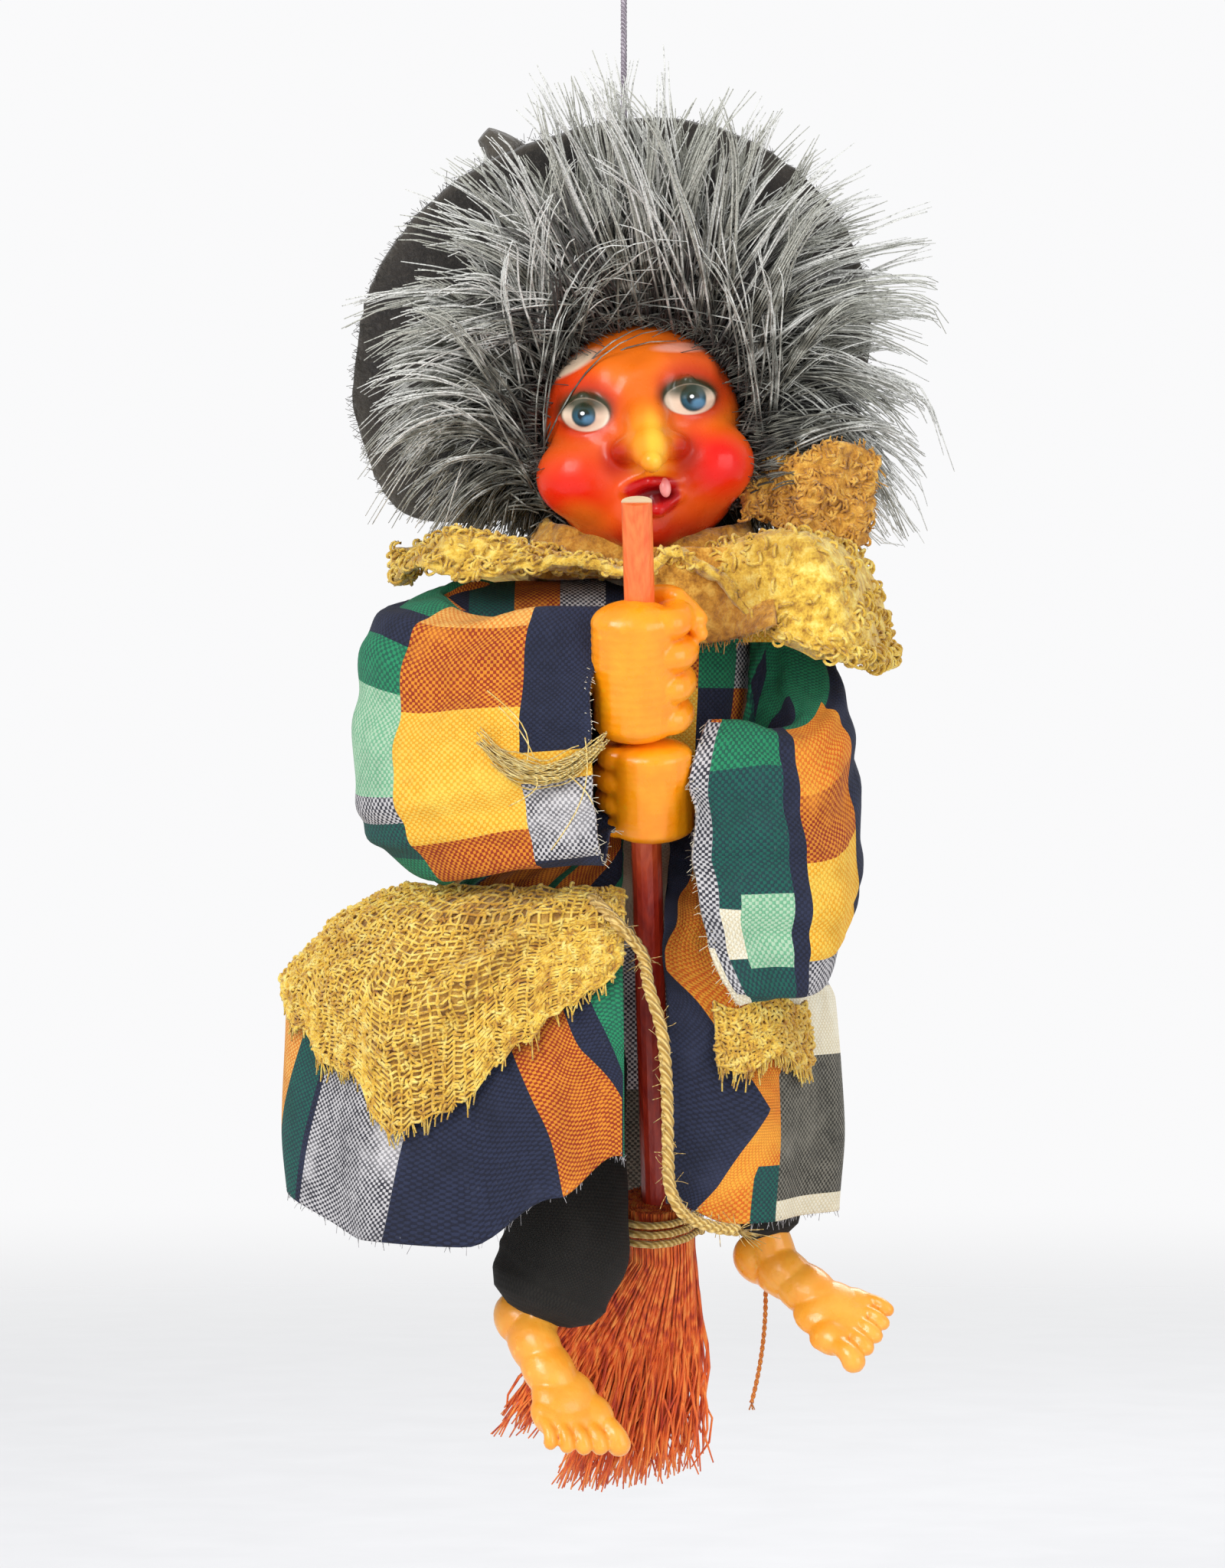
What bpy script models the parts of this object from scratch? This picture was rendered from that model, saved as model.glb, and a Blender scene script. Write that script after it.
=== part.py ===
"""A witch doll that hangs from a string and rides a broomstick, as separate sub-parts.

Metres, +Z up. The origin is under the top of the hanging loop, where a hook carries the
doll. The doll faces -Y, so its right side is at -X. Each moving piece has its origin on
its joint's axis.
"""

import math
import random

import bmesh
import bpy
from mathutils import Matrix, Vector
from mathutils.bvhtree import BVHTree

# Clearances
GAP = 0.0003
OVERRUN = 0.0020
BORE_SIDES = 16

# Hanging string and its loop
STRING_RADIUS = 0.0006
LOOP_LENGTH = 0.0120
LOOP_HALF_WIDTH = 0.0034
KNOT_HALF_HEIGHT = 0.0018
STOP_KNOT_RADIUS = 0.0017

# Head
HEAD_DROP = 0.0895
HEAD_SIDE = 0.0033
HEAD_HALF_WIDTH = 0.0180
HEAD_HALF_DEPTH = 0.0186
HEAD_HALF_HEIGHT = 0.0200
HEAD_ROLL = math.radians(-7.5)
HEAD_PITCH = math.radians(0)
HEAD_YAW = math.radians(-2)
NOSE_REACH = 0.0100
NOSE_HALF_WIDTH = 0.0046
NOSE_HALF_HEIGHT = 0.0068
TOOTH_HALF_WIDTH = 0.0008
TOOTH_HALF_HEIGHT = 0.0016

# Neck
PEG_RADIUS = 0.0042
PEG_IN_HEAD = 0.0120
PEG_IN_BODY = 0.0080
NECK_LENGTH = 0.0040

# Hat, measured in its own frame
HAT_DROP = 0.0735
HAT_SIDE = -0.0015
HAT_BACK = 0.0080
HAT_AXIS = Vector((-0.15, 0.80, 0.58)).normalized()
BRIM_RADIUS = 0.0440
BRIM_HOLE = 0.0191
FELT = 0.0013
CROWN_RADIUS = 0.0205
CROWN_LENGTH = 0.0500
CROWN_BEND = 0.0165

# Wig, a mane in front of the brim
MANE_RADIUS = 0.0480
MANE_AHEAD = 0.0080
MANE_FRONT = 0.0078
MANE_BACK = 0.0050
MANE_SPIKES = 23

# Scarf end under the hair
SCARF_END_LENGTH = 0.0215
SCARF_THICK = 0.0028

# Torso
BODY_HEIGHT = 0.0540
BODY_HALF_WIDTH = 0.0165
BODY_HALF_DEPTH = 0.0115
BODY_SIDE = 0.0043
JACKET_WALL = 0.0009
HIP_DROP = 0.0071
HIP_TAB_HALF_WIDTH = 0.0030
HIP_WIRE_RADIUS = 0.0008
HIP_REACH_RIGHT = 0.0115
HIP_REACH_LEFT = 0.0120
SHOULDER_DROP = 0.0100
SHOULDER_WIRE_RADIUS = 0.0008
SHOULDER_SOCKET = 0.0060

# Arms and sleeves
ARM_RADIUS = 0.0034
SLEEVE_WALL = 0.0009
SLEEVE_REACH = 0.0450

# Broomstick, from its top in front of the mouth to the bristles
STICK_RADIUS = 0.0025
STICK_TOP = Vector((0.0020, -0.0440, -0.1021))
STICK_FOOT = Vector((0.0055, 0.0010, -0.2180))
STICK_IN_BRISTLES = 0.0070
UPPER_FIST_SHARE = 0.230
UPPER_FIST_HEIGHT = 0.0238
LOWER_FIST_HEIGHT = 0.0172
FIST_HALF_WIDTH = 0.0080
FIST_HALF_DEPTH = 0.0072
FINGER_RELIEF = 0.0009
WRIST_RADIUS = 0.0046
WRIST_LENGTH = 0.0100

# Bristles
BRISTLE_COUNT = 300
BRISTLE_RADIUS = 0.00027
BUNDLE_RADIUS = 0.0064
BUNDLE_SLICE = 0.0100
FAN_CENTRE = Vector((-0.0080, 0.0150, -0.2685))
FAN_HALF_WIDTH = 0.0240
FAN_HALF_DEPTH = 0.0095
BINDING_RADIUS = 0.00065
BINDING_TURNS = 3
BINDING_GAP = 0.00045

# Skirt and what lies on it
SKIRT_TOP = 0.0400
SKIRT_LENGTH = 0.0690
SKIRT_HALF_WIDTH = 0.0465
SKIRT_HALF_DEPTH = 0.0350
SKIRT_SIDE = -0.0110
SKIRT_CLOTH = 0.0008
SKIRT_SLIT = 0.0078
SKIRT_FOLD = 0.0016
BURLAP = 0.0014
CORD_RADIUS = 0.0011

# Legs and feet
RIGHT_LEG_LENGTH = 0.0580
LEFT_LEG_LENGTH = 0.0470
HIP_BALL_RADIUS = 0.0062
RIGHT_HEM_RADIUS = 0.0106
LEFT_HEM_RADIUS = 0.0058
FOOT_LENGTH = 0.0330
FOOT_HALF_WIDTH = 0.0080
FOOT_HALF_HEIGHT = 0.0048
STEM_RADIUS = 0.0027
STEM_LENGTH = 0.0080
ANKLE_DROP = 0.0088
ANKLE_RADIUS = 0.0038
THREAD_RADIUS = 0.0004
THREAD_LENGTH = 0.0205

# Collar
COLLAR_RADIUS = 0.0400
COLLAR_THICK = 0.0026
COLLAR_HOLE = 0.0072

# Levels that the pieces share
HEAD_CENTRE = Vector((HEAD_SIDE, 0, -HEAD_DROP))
CHIN_LEVEL = -HEAD_DROP - HEAD_HALF_HEIGHT
BODY_TOP = CHIN_LEVEL - NECK_LENGTH
BODY_FOOT = BODY_TOP - BODY_HEIGHT
HIP_LEVEL = BODY_FOOT - HIP_DROP
SHOULDER_LEVEL = BODY_TOP - SHOULDER_DROP
HAT_CENTRE = Vector((HAT_SIDE, HAT_BACK, -HAT_DROP))
STICK_LINE = STICK_FOOT - STICK_TOP
STICK_DOWN = STICK_LINE.normalized()
SKIRT_WAIST = BODY_TOP - SKIRT_TOP

UP = Vector((0, 0, 1))
RIGHT = Vector((1, 0, 0))
FORWARD = Vector((0, -1, 0))


def clear_scene():
    for old in list(bpy.data.objects):
        bpy.data.objects.remove(old)


def make_material(name, colour, roughness, metallic=0.0):
    material = bpy.data.materials.new(name)
    material.use_nodes = True
    shader = material.node_tree.nodes["Principled BSDF"]
    shader.inputs["Base Color"].default_value = (*colour, 1)
    shader.inputs["Roughness"].default_value = roughness
    shader.inputs["Metallic"].default_value = metallic
    return material


def place(name, bm, material, origin=(0, 0, 0), smooth=True):
    """Makes an object of a mesh in world places, with its own origin."""
    bmesh.ops.recalc_face_normals(bm, faces=bm.faces)
    origin = Vector(origin)
    bmesh.ops.translate(bm, verts=bm.verts, vec=-origin)
    mesh = bpy.data.meshes.new(name)
    bm.to_mesh(mesh)
    bm.free()
    mesh.materials.append(material)
    if smooth:
        mesh.shade_smooth()
        mesh.set_sharp_from_angle(angle=math.radians(50))
    piece = bpy.data.objects.new(name, mesh)
    piece.location = origin
    bpy.context.scene.collection.objects.link(piece)
    return piece


def cutter(name, bm):
    """A shape that only cuts or joins another one."""
    bmesh.ops.recalc_face_normals(bm, faces=bm.faces)
    mesh = bpy.data.meshes.new(name)
    bm.to_mesh(mesh)
    bm.free()
    guide = bpy.data.objects.new(name, mesh)
    guide.hide_render = True
    guide.display_type = "WIRE"
    bpy.context.scene.collection.objects.link(guide)
    return guide


def combine(piece, guide, operation):
    step = piece.modifiers.new(guide.name, "BOOLEAN")
    step.operation = operation
    step.object = guide
    step.solver = "EXACT"


def cut(piece, guide):
    combine(piece, guide, "DIFFERENCE")


def join(piece, guide):
    combine(piece, guide, "UNION")


def section(centre, along, side, half_u, half_v, count, power=2.0):
    """A ring of points round a centre, square to a direction."""
    along = along.normalized()
    u = (side - side.dot(along) * along).normalized()
    v = along.cross(u)
    ring = []
    for i in range(count):
        turn = math.tau * i / count
        c, s = math.cos(turn), math.sin(turn)
        across = math.copysign(abs(c) ** (2 / power), c)
        up = math.copysign(abs(s) ** (2 / power), s)
        ring.append(centre + half_u * across * u + half_v * up * v)
    return ring


def skin(bm, rings, cap_start=True, cap_end=True):
    """Joins rings of equal count into one tube, its ends closed by fans."""
    rows = [[bm.verts.new(p) for p in ring] for ring in rings]
    count = len(rows[0])
    for low, high in zip(rows, rows[1:]):
        for i in range(count):
            j = (i + 1) % count
            bm.faces.new((low[i], low[j], high[j], high[i]))
    for row, wanted in ((rows[0], cap_start), (rows[-1], cap_end)):
        if wanted:
            middle = bm.verts.new(sum((v.co for v in row), Vector()) / count)
            for i in range(count):
                bm.faces.new((row[i], row[(i + 1) % count], middle))
    return rows


def smooth_rows(rows, steps):
    """Catmull-Rom rows between hand-placed ones."""
    rows = [tuple(row) for row in rows]
    ends = [rows[0], *rows, rows[-1]]
    out = []
    for n in range(len(rows) - 1):
        a, b, c, d = ends[n : n + 4]
        for k in range(steps):
            t = k / steps
            out.append(
                tuple(
                    0.5
                    * (
                        2 * q
                        + (r - p) * t
                        + (2 * p - 5 * q + 4 * r - s) * t * t
                        + (3 * q - p - 3 * r + s) * t**3
                    )
                    for p, q, r, s in zip(a, b, c, d)
                )
            )
    out.append(rows[-1])
    return out


def loft_rings(rows, side, count, power=2.0):
    """Rings along rows of (x, y, z, half_u, half_v)."""
    centres = [Vector(row[:3]) for row in rows]
    rings = []
    for i, row in enumerate(rows):
        before = centres[max(i - 1, 0)]
        after = centres[min(i + 1, len(rows) - 1)]
        rings.append(section(centres[i], after - before, side, row[3], row[4], count, power))
    return rings


def loft(rows, side, count, power=2.0):
    bm = bmesh.new()
    skin(bm, loft_rings(rows, side, count, power))
    return bm


def rod(start, end, radius, count=BORE_SIDES):
    """A straight round bar."""
    start, end = Vector(start), Vector(end)
    side = RIGHT if abs((end - start).normalized().x) < abs(UP.z) / 2 else UP
    rows = [(*start, radius, radius), (*end, radius, radius)]
    return loft(rows, side, count)


def bore(start, end, radius, count=BORE_SIDES):
    """A cutting bar whose flats, not its corners, lie at the radius."""
    return rod(start, end, radius / math.cos(math.pi / count), count)


def ball(centre, halves, rings=10, count=16):
    """A round body with three half sizes along X, Y and Z."""
    bm = bmesh.new()
    bmesh.ops.create_uvsphere(bm, u_segments=count, v_segments=rings, radius=1)
    bmesh.ops.scale(bm, vec=Vector(halves), verts=bm.verts)
    bmesh.ops.translate(bm, vec=Vector(centre), verts=bm.verts)
    return bm


def share_between(table, where):
    """Reads a table of (place, share) rows at a place, with eased steps."""
    for (a, low), (b, high) in zip(table, table[1:]):
        if where <= b:
            t = min(max((where - a) / (b - a), 0), 1)
            return low + (high - low) * t * t * (3 - 2 * t)
    return table[-1][1]


def cord_curve(name, points, radius, material, sides=2, steps=1, cyclic=False):
    """A round cord along points, as a bevelled curve with filled caps."""
    curve = bpy.data.curves.new(name, "CURVE")
    curve.dimensions = "3D"
    curve.bevel_depth = radius
    curve.bevel_resolution = sides
    curve.use_fill_caps = not cyclic
    smooth = smooth_rows(points, steps) if steps > 1 else points
    spline = curve.splines.new("POLY")
    spline.points.add(len(smooth) - 1)
    for point, place_at in zip(spline.points, smooth):
        point.co = (*place_at, 1)
    spline.use_cyclic_u = cyclic
    curve.materials.append(material)
    cord = bpy.data.objects.new(name, curve)
    bpy.context.scene.collection.objects.link(cord)
    return cord


# What the doll hangs from


def hanging_loop(material):
    """The loop, an egg-shaped ring of string, drawn together in a knot."""
    bm = bmesh.new()
    count = 18
    rings = []
    half = (LOOP_LENGTH + STRING_RADIUS) / 2
    for i in range(count):
        turn = math.tau * i / count
        x = LOOP_HALF_WIDTH * math.sin(turn) * (1 + math.cos(turn) / 4)
        centre = Vector((x, 0, STRING_RADIUS - half + half * math.cos(turn)))
        inward = Vector((math.sin(turn), 0, math.cos(turn)))
        along = Vector((math.cos(turn), 0, -math.sin(turn)))
        rings.append(section(centre, along, inward, STRING_RADIUS, STRING_RADIUS, 8))
    rows = skin(bm, rings, False, False)
    for i in range(8):
        j = (i + 1) % 8
        bm.faces.new((rows[-1][i], rows[-1][j], rows[0][j], rows[0][i]))
    loop = place("hanging_loop", bm, material)
    knot_at = (0, 0, -LOOP_LENGTH - KNOT_HALF_HEIGHT / 2)
    wide = KNOT_HALF_HEIGHT
    join(loop, cutter("knot", ball(knot_at, (wide, wide, KNOT_HALF_HEIGHT), 7, 10)))


def string_top():
    return -LOOP_LENGTH - KNOT_HALF_HEIGHT * 3 / 2 - GAP


def hanging_string(material, crown_level):
    """The straight string, through the crown to the stop knot inside it."""
    foot = crown_level - FELT * 2
    points = []
    for i in range(16):
        share = i / 15
        points.append((0, 0, string_top() + (foot - string_top()) * share))
    cord_curve("hanging_string", points, STRING_RADIUS, material)
    knot_at = (0, 0, foot - GAP - STOP_KNOT_RADIUS)
    place("string_stop_knot", ball(knot_at, (STOP_KNOT_RADIUS,) * 3, 7, 10), material)


# Head

FACE_FORM_SHARES = (
    # side, height, spread, relief, all as shares of the head's half sizes
    (-0.52, -0.30, 0.30, 0.15),
    (0.52, -0.30, 0.30, 0.15),
    (0.00, -0.88, 0.24, 0.16),
    (-0.42, 0.44, 0.22, 0.05),
    (0.42, 0.44, 0.22, 0.05),
    (-0.49, 0.22, 0.25, -0.12),
    (0.49, 0.22, 0.25, -0.12),
    (-0.49, 0.22, 0.16, 0.11),
    (0.49, 0.22, 0.16, 0.11),
    (0.00, -0.36, 0.13, 0.04),
    (0.00, -0.51, 0.15, -0.10),
    (0.00, -0.68, 0.13, 0.06),
)


def head_turn():
    return (
        Matrix.Rotation(HEAD_YAW, 3, "Z")
        @ Matrix.Rotation(HEAD_PITCH, 3, "X")
        @ Matrix.Rotation(HEAD_ROLL, 3, "Y")
    )


def face_point(direction):
    """The head's surface in its own frame, face towards -Y."""
    x, y, z = direction
    relief = 0.0
    if y < 0:
        for side, height, spread, share in FACE_FORM_SHARES:
            away = ((x - side) ** 2 + (z - height) ** 2) / spread**2
            relief += share * math.exp(-away)
        relief *= min(1.0, -y * 3)
    swell = 1 + relief
    return Vector(
        (
            HEAD_HALF_WIDTH * x * swell,
            HEAD_HALF_DEPTH * y * swell,
            HEAD_HALF_HEIGHT * z * (1 + relief / 2),
        )
    )


def nose_form():
    """The long pointed nose, as sections parallel to the face."""
    root = -HEAD_HALF_DEPTH * 0.72
    rows = []
    for forward, drop, wide, high in (
        (0.00, 0.00, 1.00, 1.00),
        (0.35, 0.06, 0.96, 0.90),
        (0.52, 0.22, 0.74, 0.66),
        (0.75, 0.50, 0.40, 0.40),
        (0.94, 0.74, 0.18, 0.20),
        (1.00, 0.80, 0.06, 0.07),
    ):
        reach = HEAD_HALF_DEPTH - HEAD_HALF_DEPTH * 0.72 + NOSE_REACH
        rows.append(
            (
                0,
                root - reach * forward,
                -NOSE_HALF_HEIGHT * drop,
                NOSE_HALF_WIDTH * wide,
                NOSE_HALF_HEIGHT * high,
            )
        )
    bm = loft(rows, RIGHT, 12)
    return bm


def head_shell(material):
    """The moulded head, with its nose, tooth and the neck's socket."""
    bm = bmesh.new()
    rings = []
    stages, count = 19, 26
    for n in range(1, stages):
        polar = math.pi * (n / stages) ** 1.15
        ring = []
        for i in range(count):
            turn = math.tau * i / count
            across = math.sin(polar)
            ring.append(
                face_point((across * math.cos(turn), -math.cos(polar), across * math.sin(turn)))
            )
        rings.append(ring)
    skin(bm, rings)
    turn = Matrix.Translation(HEAD_CENTRE) @ head_turn().to_4x4()
    bm.transform(turn)
    head = place("head_shell", bm, material, HEAD_CENTRE)
    nose = nose_form()
    nose.transform(turn)
    join(head, cutter("nose", nose))
    tooth_at = (
        HEAD_HALF_WIDTH * 0.12,
        -HEAD_HALF_DEPTH * 0.84,
        -HEAD_HALF_HEIGHT * 0.475,
    )
    tooth = ball(tooth_at, (TOOTH_HALF_WIDTH, HEAD_HALF_DEPTH * 0.06, TOOTH_HALF_HEIGHT), 6, 8)
    tooth.transform(turn)
    join(head, cutter("tooth", tooth))
    top = CHIN_LEVEL + PEG_IN_HEAD + GAP
    foot = CHIN_LEVEL - OVERRUN * 2
    socket = bore((HEAD_SIDE, 0, top), (HEAD_SIDE, 0, foot), PEG_RADIUS + GAP)
    cut(head, cutter("neck_socket", socket))


def hat_frame():
    up = (UP - UP.dot(HAT_AXIS) * HAT_AXIS).normalized()
    side = HAT_AXIS.cross(up)
    return side, up


def hat_point(radius, turn, depth):
    """A place by radius and turn from the top, and depth behind the brim."""
    side, up = hat_frame()
    out = math.sin(turn) * side + math.cos(turn) * up
    return HAT_CENTRE + radius * out + depth * HAT_AXIS


MANE_RIM_SHARES = (
    (-180, 0.66),
    (-150, 0.68),
    (-128, 0.84),
    (-107, 0.83),
    (-90, 0.79),
    (-55, 0.80),
    (-27, 0.95),
    (0, 1.00),
    (15, 1.08),
    (53, 1.10),
    (85, 0.94),
    (108, 0.98),
    (122, 0.88),
    (150, 0.70),
    (180, 0.66),
)

MANE_PROFILE_SHARES = (
    # radius, front, how far the spikes stand
    (0.30, -1.00, 0.00),
    (0.52, -0.95, 0.10),
    (0.72, -0.72, 0.45),
    (0.90, -0.35, 0.80),
    (1.00, 0.00, 1.00),
    (0.84, 0.50, 0.80),
    (0.62, 0.80, 0.30),
    (0.30, 1.00, 0.00),
)


def wig(material):
    """The fur wig: a spiky mane round the skull, cut free of head and hat."""
    bm = bmesh.new()
    count = MANE_SPIKES * 2
    rings = []
    for radius_share, depth_share, spike in MANE_PROFILE_SHARES:
        ring = []
        for i in range(count):
            degrees = -180 + 360 * i / count
            reach = MANE_RADIUS * share_between(MANE_RIM_SHARES, degrees)
            tuft = 1 + spike * (0.07 if i % 2 else -0.09 - 0.04 * math.sin(i * 2.3))
            thick = MANE_BACK if depth_share > 0 else MANE_FRONT
            flat = 1 if i % 2 else 1 - 0.25 * spike
            depth = thick * depth_share * flat - MANE_AHEAD
            ring.append(hat_point(reach * radius_share * tuft, math.radians(degrees), depth))
        rings.append(ring)
    skin(bm, rings)
    hair = place("wig", bm, material, HEAD_CENTRE)
    skull = ball(
        (0, 0, 0),
        (HEAD_HALF_WIDTH + GAP, HEAD_HALF_DEPTH + GAP, HEAD_HALF_HEIGHT + GAP),
        20,
        28,
    )
    swell = 1.04
    bmesh.ops.scale(skull, vec=Vector((swell,) * 3), verts=skull.verts)
    skull.transform(Matrix.Translation(HEAD_CENTRE) @ head_turn().to_4x4())
    cut(hair, cutter("skull", skull))


BRIM_RIM_SHARES = (
    (-180, 0.76),
    (-160, 0.84),
    (-132, 1.08),
    (-110, 1.04),
    (-90, 1.00),
    (0, 1.00),
    (90, 1.00),
    (110, 1.00),
    (132, 0.98),
    (160, 0.84),
    (180, 0.76),
)


def hat_brim(material):
    """The felt brim, gently waved, with the hole that the head fills."""
    bm = bmesh.new()
    count = 40
    rings = []
    radii = (0.0, 0.5, 1.0)
    for face in (-1, 1):
        order = radii if face < 0 else tuple(reversed(radii))
        for share in order:
            ring = []
            for i in range(count):
                degrees = -180 + 360 * i / count
                rim = BRIM_RADIUS * share_between(BRIM_RIM_SHARES, degrees)
                radius = BRIM_HOLE + (rim - BRIM_HOLE) * share
                wave = FELT * share * share * math.sin(math.radians(degrees * 3))
                depth = face * FELT / 2 + wave
                ring.append(hat_point(radius, math.radians(degrees), depth))
            rings.append(ring)
    rows = skin(bm, rings, False, False)
    for i in range(count):
        j = (i + 1) % count
        bm.faces.new((rows[-1][i], rows[-1][j], rows[0][j], rows[0][i]))
    place("hat_brim", bm, material, HEAD_CENTRE)


CROWN_SHARES = (
    # along the axis, bend to the doll's right, radius
    (0.00, 0.00, 1.00),
    (0.18, 0.00, 0.90),
    (0.40, 0.02, 0.68),
    (0.62, 0.10, 0.46),
    (0.82, 0.34, 0.28),
    (0.95, 0.66, 0.17),
    (1.00, 1.00, 0.10),
)


def crown_rings(inset, count):
    """Rings of the crown, straight at first, then bent and drooping."""
    side, up = hat_frame()
    start = HAT_CENTRE + HAT_AXIS * (FELT / 2 + GAP * 4 / 3)
    if inset:
        start = start - HAT_AXIS * OVERRUN
    rows = []
    for along, bend, radius in CROWN_SHARES:
        stop = CROWN_LENGTH - inset * 2
        centre = start + HAT_AXIS * stop * along - side * CROWN_BEND * bend
        centre = centre - up * CROWN_BEND * bend * 0.15
        size = max(CROWN_RADIUS * radius - inset, STRING_RADIUS)
        rows.append((*centre, size, size))
    return loft_rings(smooth_rows(rows, 2), RIGHT, count)


def hat_crown(material):
    """The hollow felt cone. Returns the level where the string enters it."""
    bm = bmesh.new()
    skin(bm, crown_rings(0, 16))
    surface = BVHTree.FromBMesh(bm)
    hit = surface.ray_cast(Vector((0, 0, 0)), -UP)[0]
    crown = place("hat_crown", bm, material, HEAD_CENTRE)
    hollow = bmesh.new()
    skin(hollow, crown_rings(FELT, 16))
    cut(crown, cutter("crown_hollow", hollow))
    hole = bore((0, 0, hit.z + FELT * 3), (0, 0, hit.z - FELT * 4), STRING_RADIUS + GAP, 8)
    cut(crown, cutter("string_hole", hole))
    return hit.z


SCARF_END_SHARES = (
    # side, back, up, half height, as shares of its length
    (0.00, 0.00, 0.00, 0.13),
    (0.30, 0.04, 0.07, 0.17),
    (0.62, 0.02, 0.10, 0.16),
    (1.00, 0.12, 0.06, 0.12),
)


def scarf_end(material):
    """The scarf's end, standing up between the hair and the shoulder."""
    start = HEAD_CENTRE + Vector(
        (HEAD_HALF_WIDTH * 0.93, HEAD_HALF_DEPTH * 0.10, -HEAD_HALF_HEIGHT * 0.50)
    )
    start.y -= HEAD_HALF_DEPTH * 0.62
    rows = []
    for side, back, up, high in SCARF_END_SHARES:
        centre = start + Vector((side, back, up)) * SCARF_END_LENGTH
        rows.append((*centre, SCARF_THICK / 2, SCARF_END_LENGTH * high))
    bm = loft(smooth_rows(rows, 2), Vector((0, 1, 0)), 10)
    place("scarf_end", bm, material, HEAD_CENTRE)


# Torso


def neck_peg(material):
    """The wooden peg between body and head."""
    top = (HEAD_SIDE, 0, CHIN_LEVEL + PEG_IN_HEAD)
    foot = (HEAD_SIDE, 0, BODY_TOP - PEG_IN_BODY)
    place("neck_peg", rod(top, foot, PEG_RADIUS), material, top)


BODY_SHARES = (
    # down, half width, half depth
    (0.00, 0.50, 0.68),
    (0.06, 0.74, 0.82),
    (0.18, 1.00, 0.94),
    (0.34, 0.98, 1.00),
    (0.52, 0.90, 0.98),
    (0.74, 0.86, 0.92),
    (0.88, 0.98, 1.00),
    (0.96, 0.92, 0.88),
    (1.00, 0.74, 0.62),
)


def body_rows(outset, first=0.0, last=1.0):
    rows = []
    for down, wide, deep in BODY_SHARES:
        if first <= down <= last:
            lean = (BODY_SIDE - HEAD_SIDE) * down
            rows.append(
                (
                    HEAD_SIDE + lean,
                    0,
                    BODY_TOP - BODY_HEIGHT * down,
                    BODY_HALF_WIDTH * wide + outset,
                    BODY_HALF_DEPTH * deep + outset,
                )
            )
    return rows


def shoulder_ends():
    reach = BODY_HALF_WIDTH + JACKET_WALL + SHOULDER_SOCKET
    right = Vector((BODY_SIDE - reach, 0, SHOULDER_LEVEL))
    left = Vector((BODY_SIDE + reach, 0, SHOULDER_LEVEL))
    return right, left


def hip_ends():
    right = Vector((BODY_SIDE - HIP_REACH_RIGHT * 3 / 2, 0, HIP_LEVEL))
    left = Vector((BODY_SIDE + HIP_REACH_LEFT * 3 / 2, 0, HIP_LEVEL))
    return right, left


def body(material):
    """The stuffed body, with bores for peg and wires and a hip tab."""
    torso = place("body", loft(body_rows(0), RIGHT, 16), material)
    tab_top = BODY_FOOT + OVERRUN
    tab_foot = HIP_LEVEL - HIP_WIRE_RADIUS * 3
    tab_deep = HIP_WIRE_RADIUS * 4
    tab = loft(
        [
            (BODY_SIDE, 0, tab_top, HIP_TAB_HALF_WIDTH, tab_deep),
            (BODY_SIDE, 0, tab_foot, HIP_TAB_HALF_WIDTH, tab_deep),
        ],
        RIGHT,
        16,
        6,
    )
    join(torso, cutter("hip_tab", tab))
    peg_foot = BODY_TOP - PEG_IN_BODY - GAP
    peg = bore((HEAD_SIDE, 0, BODY_TOP + OVERRUN), (HEAD_SIDE, 0, peg_foot), PEG_RADIUS + GAP)
    cut(torso, cutter("peg_bore", peg))
    right, left = shoulder_ends()
    cut(torso, cutter("shoulder_bore", bore(right, left, SHOULDER_WIRE_RADIUS + GAP, 10)))
    right, left = hip_ends()
    cut(torso, cutter("hip_bore", bore(right, left, HIP_WIRE_RADIUS + GAP, 10)))


def shoulder_wire(material):
    right, left = shoulder_ends()
    place("shoulder_wire", rod(right, left, SHOULDER_WIRE_RADIUS, 10), material)


def hip_wire(material):
    right, left = hip_ends()
    place("hip_wire", rod(right, left, HIP_WIRE_RADIUS, 10), material)


def jacket(material):
    """The bodice: a thin tube round the body, open above and below."""
    top_share, foot_share = 0.05, 0.75
    fit = GAP * 3 / 2
    inner_rows = body_rows(fit, top_share, foot_share)
    outer_rows = body_rows(fit + JACKET_WALL, top_share, foot_share)
    bm = bmesh.new()
    outer = loft_rings(outer_rows, RIGHT, 16)
    inner = loft_rings(inner_rows, RIGHT, 16)
    rows = skin(bm, outer + inner[::-1], False, False)
    for i in range(16):
        j = (i + 1) % 16
        bm.faces.new((rows[-1][i], rows[-1][j], rows[0][j], rows[0][i]))
    coat = place("jacket", bm, material)
    right, left = shoulder_ends()
    cut(coat, cutter("armholes", bore(right, left, SHOULDER_WIRE_RADIUS + GAP, 10)))


# Arms, sleeves and hands


def stick_point(share):
    return STICK_TOP + STICK_LINE * share


def fist_centres():
    """The middles of the two fists, one above the other on the stick."""
    upper = stick_point(UPPER_FIST_SHARE)
    step = (UPPER_FIST_HEIGHT + LOWER_FIST_HEIGHT) / 2 + GAP
    return upper, upper + STICK_DOWN * step


ARM_IN_SLEEVE_SHARE = 0.25


def wrist_line(side_name):
    """The wrist's start inside the fist, its end, and the way to the elbow."""
    upper, lower = fist_centres()
    fist = upper if side_name == "right" else lower
    out = -RIGHT if side_name == "right" else RIGHT
    start = fist + out * FIST_HALF_WIDTH / 2
    end = fist + out * (FIST_HALF_WIDTH + WRIST_LENGTH)
    end.y += WRIST_LENGTH * 0.35
    return start, end, (end - start).normalized()


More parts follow.
